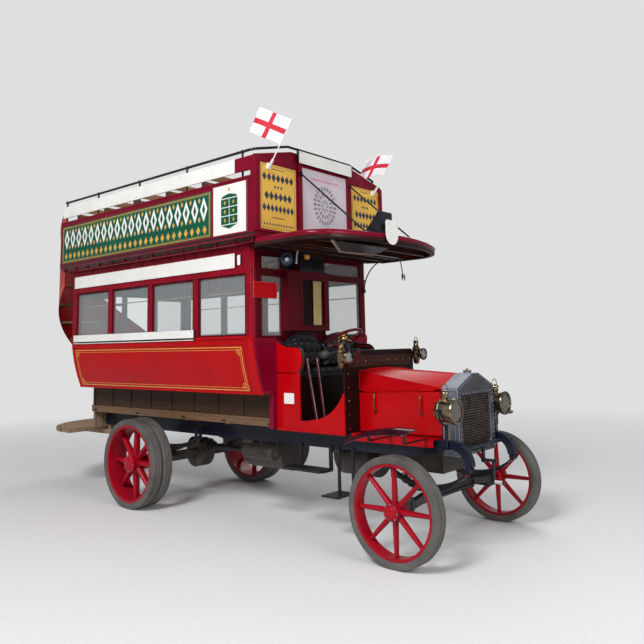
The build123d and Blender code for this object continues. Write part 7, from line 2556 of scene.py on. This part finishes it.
@dataclass
class Guards:
    """Rolled edges, stay bolts and rivets of the front mudguards."""

    radius: float = 1.300
    axis: tuple[float, float] = (0.060, -0.205)
    inner: float = 0.780
    outer: float = 0.996
    crown: float = 0.046

    def __post_init__(self) -> None:
        """Works out the curve across a guard and the round end in plan."""
        self.arch = circle_through((self.inner, -self.crown * 0.3),
                                   (self.inner * 0.6 + self.outer * 0.4, 0.0),
                                   (self.outer, -self.crown))
        self.nose = circle_through((0.0222, self.inner), (0.195, 0.928), (0.0222, self.outer))

    def skin(self, station: float, y: float) -> Vector:
        """Point on the guard's upper face for the nearside."""
        u, v, arch = self.arch
        reach = self.radius + v + math.sqrt(arch ** 2 - (y - u) ** 2)
        return Vector((at(station), y, self.axis[1] + math.sqrt(reach ** 2 - (station - self.axis[0]) ** 2)))

    def make(self) -> None:
        """Builds the edges and bolts."""
        edges = Shape()
        bolts = Row("guard_bolts", Head.DOME, (0.018, 0.018, 0.007), FRAME_BLACK)
        inset = 0.0015
        loop = [(-0.438 + 0.460 * k / 12, self.outer - inset) for k in range(13)]
        u, v, radius = self.nose
        start = math.atan2(self.outer - v, 0.0222 - u)
        for k in range(25):
            turn = start - 2 * start * k / 24
            y = min(max(v + (radius - inset) * math.sin(turn), self.inner + inset), self.outer - inset)
            loop.append((u + (radius - inset) * math.cos(turn), y))
        loop += [(0.022 - 0.460 * k / 12, self.inner + inset) for k in range(13)]
        wide = self.outer - self.inner - 2 * inset
        back = [(-0.438, self.inner + inset + wide * k / 8) for k in range(1, 8)]
        for side in (-1, 1):
            line = []
            for station, y in loop + back:
                point = self.skin(station, y)
                line.append((point.x, side * point.y, point.z - 0.0020))
            edges.tube(line, 0.0052, 8, closed=True)
            for station in (-0.300, 0.060):
                for y in (0.834, 0.870):
                    point = self.skin(station, y)
                    bolts.mark((point.x, side * y, point.z), (0, 0, 1))
        Piece("guard_edges", edges, GUARD_PAINT).make()
        bolts.make()


@dataclass
class Rear:
    """Stair nosings, the stair panel's rolls and lines, pole collars and the rear platform's slats."""

    centre: float = at(-5.150)
    newel: float = at(-5.270)
    start: float = 112.0
    step: float = 19.0
    treads: int = 8
    platform: float = 0.760
    rise: float = (FLOOR_TOP - 0.760) / 9
    panel_middle: float = 0.9362
    panel_face: float = 0.9424
    panel_over_tread: float = 0.800
    panel_under_tread: float = 0.050
    tread_reach: float = 0.915
    platform_radius: float = 0.930

    def stair(self, radius: float, turns: float, lift: float) -> Vector:
        """Point on the stairs.

        Args:
            radius: distance from the stairs' axis.
            turns: how many treads round from the first one's start.
            lift: height over the helix through the tread edges.

        Returns:
            The point.
        """
        turn = math.radians(self.start + self.step * turns)
        return Vector((self.centre + radius * math.cos(turn), radius * math.sin(turn),
                       self.platform + self.rise * turns + lift))

    def panel_edges(self) -> None:
        """Rolls along the panel's edges and two gold lines inside them."""
        spots = [self.treads * k / 64 for k in range(65)]
        rolls, gold = Shape(), Shape()
        high, low = self.rise + self.panel_over_tread - 0.001, 0.001 - self.panel_under_tread
        for lift, radius in ((high, 0.0135), (low, 0.0095)):
            rolls.tube([self.stair(self.panel_middle, t, lift) for t in spots], radius, 10)
        for t in (0.0, self.treads):
            rolls.tube([self.stair(self.panel_middle, t, z) for z in (low, high)], 0.0095, 10)
        Piece("stair_panel_rolls", rolls, CORNICE_RED, smooth=60).make()
        for inset, width in ((0.070, 0.009), (0.096, 0.004)):
            inner = spots[1:-1]
            loop = [self.stair(self.panel_face, t, self.rise + self.panel_over_tread - inset) for t in inner]
            loop += [self.stair(self.panel_face, t, inset - self.panel_under_tread) for t in reversed(inner)]
            lifts = [Vector((p.x - self.centre, p.y, 0)).normalized() for p in loop]
            gold.ribbon(loop, lifts, width, 0.0008, closed=True)
        Piece("stair_panel_lines", gold, GOLD_LEAF).make()

    def nosings(self) -> None:
        """Brass strips along the tread edges."""
        strips = Shape()
        for k in range(self.treads):
            turn = math.radians(self.start + self.step * k - 2)
            level = self.platform + self.rise * (k + 1)
            outer = Vector((self.centre + self.tread_reach * math.cos(turn),
                            self.tread_reach * math.sin(turn), level))
            newel = Vector((self.newel, 0, level))
            way = (outer - newel).normalized()
            strips.tube([newel + way * 0.045, outer], 0.006, 8)
        Piece("stair_nosings", strips, BRASS).make()

    def make(self) -> None:
        """Builds the rear's fittings."""
        slats = Shape()
        count, first, pitch, half_width, end_gap = 14, 5.090, 0.062, 0.018, 0.045
        for k in range(count):
            station = first + pitch * k
            reach = max(0.0, station + half_width - 5.150)
            half = math.sqrt(self.platform_radius ** 2 - reach ** 2) - end_gap
            slats.box((at(-station) - half_width, -half, 0.7595), (at(-station) + half_width, half, 0.770))
        Piece("platform_slats", slats, SLAT_OAK, bevel=0.003).make()
        collars = Shape()
        for z in (0.762, 2.790):
            way = 1 if z < 1 else -1
            collars.lathe([(0.0, 0.040), (0.008, 0.040), (0.020, 0.024), (0.036, 0.020), (0.036, 0.0)],
                          (at(-5.100), 0.890, z),
                          (0, 0, way), 24)
        Piece("pole_collars", collars, BRASS).make()
        self.panel_edges()
        self.nosings()


@dataclass
class Underframe:
    """Rivets along the frame rails."""

    def make(self) -> None:
        """Builds the rivets."""
        rivets = Row("frame_rivets", Head.DOME, (0.022, 0.022, 0.009), FRAME_BLACK)
        for side in (-1, 1):
            for station in (-0.90, -1.30, -1.70, -2.20, -2.70, -3.20, -3.90, -4.40, -4.80):
                for dx, z in ((-0.03, 0.845), (0.03, 0.845), (-0.03, 0.915), (0.03, 0.915)):
                    rivets.mark((at(station) + dx, side * FRAME_RAIL_FACE, z), (0, side, 0))
        rivets.make()


ASSEMBLIES = (UpperDeck, Flags, Saloon, Canopy, Bulkhead, Cushions, Cab, FrontEnd, Wheels, Guards, Rear,
              Underframe)


@dataclass
class Studio:
    """Floor, lamps and the camera of the photograph."""

    place: Point = (6.0335, -5.536, 1.784)
    yaw: float = 130.219
    pitch: float = 7.368
    roll: float = -1.249
    lens: float = 37.55
    shift: tuple[float, float] = (-0.0058, -0.1004)

    def make(self) -> None:
        """Builds the floor, the world, the lamps and the camera."""
        self.floor()
        self.world()
        self.lamps()
        self.camera()

    def floor(self) -> None:
        """A plain pale floor."""
        nodes = Nodes("pale_floor")
        nodes.shader.inputs["Roughness"].default_value = 0.9
        grain = nodes.noise(40.0, 4.0)
        colour = nodes.ramp(grain, "Fac", [(0.3, (0.70, 0.70, 0.70)), (0.7, (0.76, 0.76, 0.76))])
        nodes.link(colour, 0, nodes.shader, "Base Color")
        away = nodes.add("ShaderNodeVectorMath", operation="LENGTH")
        nodes.link(nodes.coords, "Object", away, 0)
        fade = nodes.add("ShaderNodeMapRange")
        fade.inputs["From Min"].default_value, fade.inputs["From Max"].default_value = 4.0, 12.0
        nodes.link(away, "Value", fade, "Value")
        rays = nodes.add("ShaderNodeLightPath")
        share = nodes.math("MULTIPLY", (fade, 0), (rays, "Is Camera Ray"))
        haze = nodes.add("ShaderNodeEmission", Color=BACKDROP)
        blend = nodes.add("ShaderNodeMixShader")
        nodes.link(share, 0, blend, 0)
        nodes.link(nodes.shader, "BSDF", blend, 1)
        nodes.link(haze, 0, blend, 2)
        nodes.link(blend, 0, nodes.out, "Surface")
        mesh = bpy.data.meshes.new("floor")
        reach = 60.0
        mesh.from_pydata([(-reach, -reach, 0), (reach, -reach, 0), (reach, reach, 0), (-reach, reach, 0)], [],
                         [(0, 1, 2, 3)])
        floor = bpy.data.objects.new("floor", mesh)
        floor.data.materials.append(nodes.material)
        bpy.context.scene.collection.objects.link(floor)

    def world(self) -> None:
        """A soft even sky that the camera sees as pale grey."""
        world = bpy.data.worlds.new("studio")
        bpy.context.scene.world = world
        world.use_nodes = True
        tree = world.node_tree
        tree.nodes.clear()
        out = tree.nodes.new("ShaderNodeOutputWorld")
        seen, cast = tree.nodes.new("ShaderNodeBackground"), tree.nodes.new("ShaderNodeBackground")
        seen.inputs["Color"].default_value = BACKDROP
        cast.inputs["Color"].default_value = (0.93, 0.96, 1.0, 1)
        cast.inputs["Strength"].default_value = 0.34
        rays = tree.nodes.new("ShaderNodeLightPath")
        mix = tree.nodes.new("ShaderNodeMixShader")
        either = tree.nodes.new("ShaderNodeMath")
        either.operation = "MAXIMUM"
        tree.links.new(rays.outputs["Is Camera Ray"], either.inputs[0])
        tree.links.new(rays.outputs["Is Transmission Ray"], either.inputs[1])
        tree.links.new(either.outputs[0], mix.inputs[0])
        tree.links.new(cast.outputs[0], mix.inputs[1])
        tree.links.new(seen.outputs[0], mix.inputs[2])
        tree.links.new(mix.outputs[0], out.inputs[0])

    def lamps(self) -> None:
        """Three broad soft lamps."""
        table = (("key", (3.5, -10.0, 9.5), (0.4, 0.0, 1.6), 3.6, 1300.0),
                 ("front", (11.0, -2.0, 5.0), (1.0, 0.0, 2.0), 5.0, 420.0),
                 ("rim", (-3.0, 9.0, 8.0), (0.0, 0.0, 2.0), 6.0, 300.0))
        for name, place, aim, size, power in table:
            light = bpy.data.lights.new(name, "AREA")
            light.size = size
            light.energy = power
            lamp = bpy.data.objects.new(name, light)
            lamp.location = place
            lamp.rotation_euler = (Vector(aim) - Vector(place)).to_track_quat("-Z", "Y").to_euler()
            bpy.context.scene.collection.objects.link(lamp)

    def camera(self) -> None:
        """The camera at the photograph's place."""
        yaw, pitch, roll = (math.radians(a) for a in (self.yaw, self.pitch, self.roll))
        ahead = Vector((math.cos(yaw) * math.cos(pitch), math.sin(yaw) * math.cos(pitch), math.sin(pitch)))
        right = ahead.cross(Vector((0, 0, 1))).normalized()
        up = right.cross(ahead)
        right_rolled = right * math.cos(roll) + up * math.sin(roll)
        up_rolled = up * math.cos(roll) - right * math.sin(roll)
        data = bpy.data.cameras.new("camera")
        data.sensor_width = 36.0
        data.lens = self.lens
        data.shift_x, data.shift_y = self.shift
        camera = bpy.data.objects.new("camera", data)
        turn = Matrix((right_rolled, up_rolled, -ahead)).transposed().to_4x4()
        camera.matrix_world = Matrix.Translation(Vector(self.place)) @ turn
        bpy.context.scene.collection.objects.link(camera)
        bpy.context.scene.camera = camera


NODE_FINISHES = (
    (BLUE_BLACK, ("chassis_frame",)),
    (FRAME_BLACK, ("springs", "front_axle_beam", "knuckle_offside", "knuckle_nearside", "track_rod",
                   "starting_handle", "cab_steps")),
    (OILY_IRON, ("rear_axle", "engine_block", "electric_drive", "silencer")),
    (WHEEL_RED, ("front_wheel_offside", "front_wheel_nearside", "rear_wheel_offside", "rear_wheel_nearside")),
    (TYRE_GREY, ("front_tyre_offside", "front_tyre_nearside", "rear_tyres_offside", "rear_tyres_nearside")),
    (CORE_BROWN, ("radiator_core",)),
    (BONNET_RED, ("bonnet_top",)),
    (BODY_RED, ("bonnet_side_offside", "bonnet_side_nearside", "bonnet_ledge", "cab_sides", "stair_panel")),
    (DASH_BROWN, ("dash_board", "driver_seat")),
    (NICKEL, ("lamps",)),
    (GUARD_PAINT, ("front_mudguards",)),
    (FLOOR_BOARDS, ("cab_floor", "rear_platform")),
    (BLACK_HIDE, ("seat_cushions",)),
    (GLOSS_BLACK, ("steering_column", "canopy_stays", "deck_rails")),
    (DEEP_RED, ("steering_wheel", "control_levers", "front_bulkhead", "rear_bulkhead")),
    (SILL_OAK, ("saloon_floor", "staircase")),
    # Window frames take the darker post red: painted shade under the overhang.
    (POST_SHADE_RED, ("window_frames",)),
    (SLAT_OAK, ("saloon_benches", "deck_seats")),
    (WHITE_PAINT, ("sign_boards", "deck_boards", "flag_poles", "flags")),
    (CORNICE_RED, ("deck_side_panels", "deck_front_panel")),
)


def dress_nodes(nodes: dict[str, bpy.types.Object]) -> None:
    """Gives every node of the frame its finish.

    Args:
        nodes: the frame's nodes by name.
    """
    pane = clear_glass("window_pane", (0.62, 0.68, 0.70), 0.16)
    special = {"window_glass": pane,
               # Forward faces of the radiator shell take the darker grey as painted shade.
               "radiator_shell": two_tone("radiator_shell_grey_and_shaded_front", RADIATOR_FRONT_SHADE, RADIATOR_GREY, 0.9, axis="X"),
               # Faces of the canopy that do not look up take the dark brown painted shade.
               "canopy": two_tone("canopy_red_and_shaded_underside", CORNICE_RED, SOFFIT_SHADE_BROWN, 0.3),
               # Downward faces of the deck floor take the dark brown painted shade.
               "upper_floor": two_tone("deck_floor_red_and_shaded_underside", CORNICE_RED, SOFFIT_SHADE_BROWN, -0.3),
               # Above the waist the saloon side takes the darker post red: painted shade under the overhang.
               "saloon_sides": two_tone("saloon_side_red_and_shaded_upper", POST_SHADE_RED, BODY_RED, 1.868, True)}
    finishes = {name: finish for finish, names in NODE_FINISHES for name in names}
    for name, thing in nodes.items():
        material = special.get(name) or finishes[name].material()
        thing.data.materials.clear()
        thing.data.materials.append(material)


def main() -> None:
    """Loads the frame, builds every sub-assembly in order and sets up the studio."""
    logging.basicConfig(level=logging.INFO, format="%(message)s")
    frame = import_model()
    bpy.context.scene.view_settings.view_transform = "Standard"
    dress_nodes(frame["nodes"])
    for part in ASSEMBLIES:
        part().make()
    Studio().make()


if __name__ == "__main__":
    main()
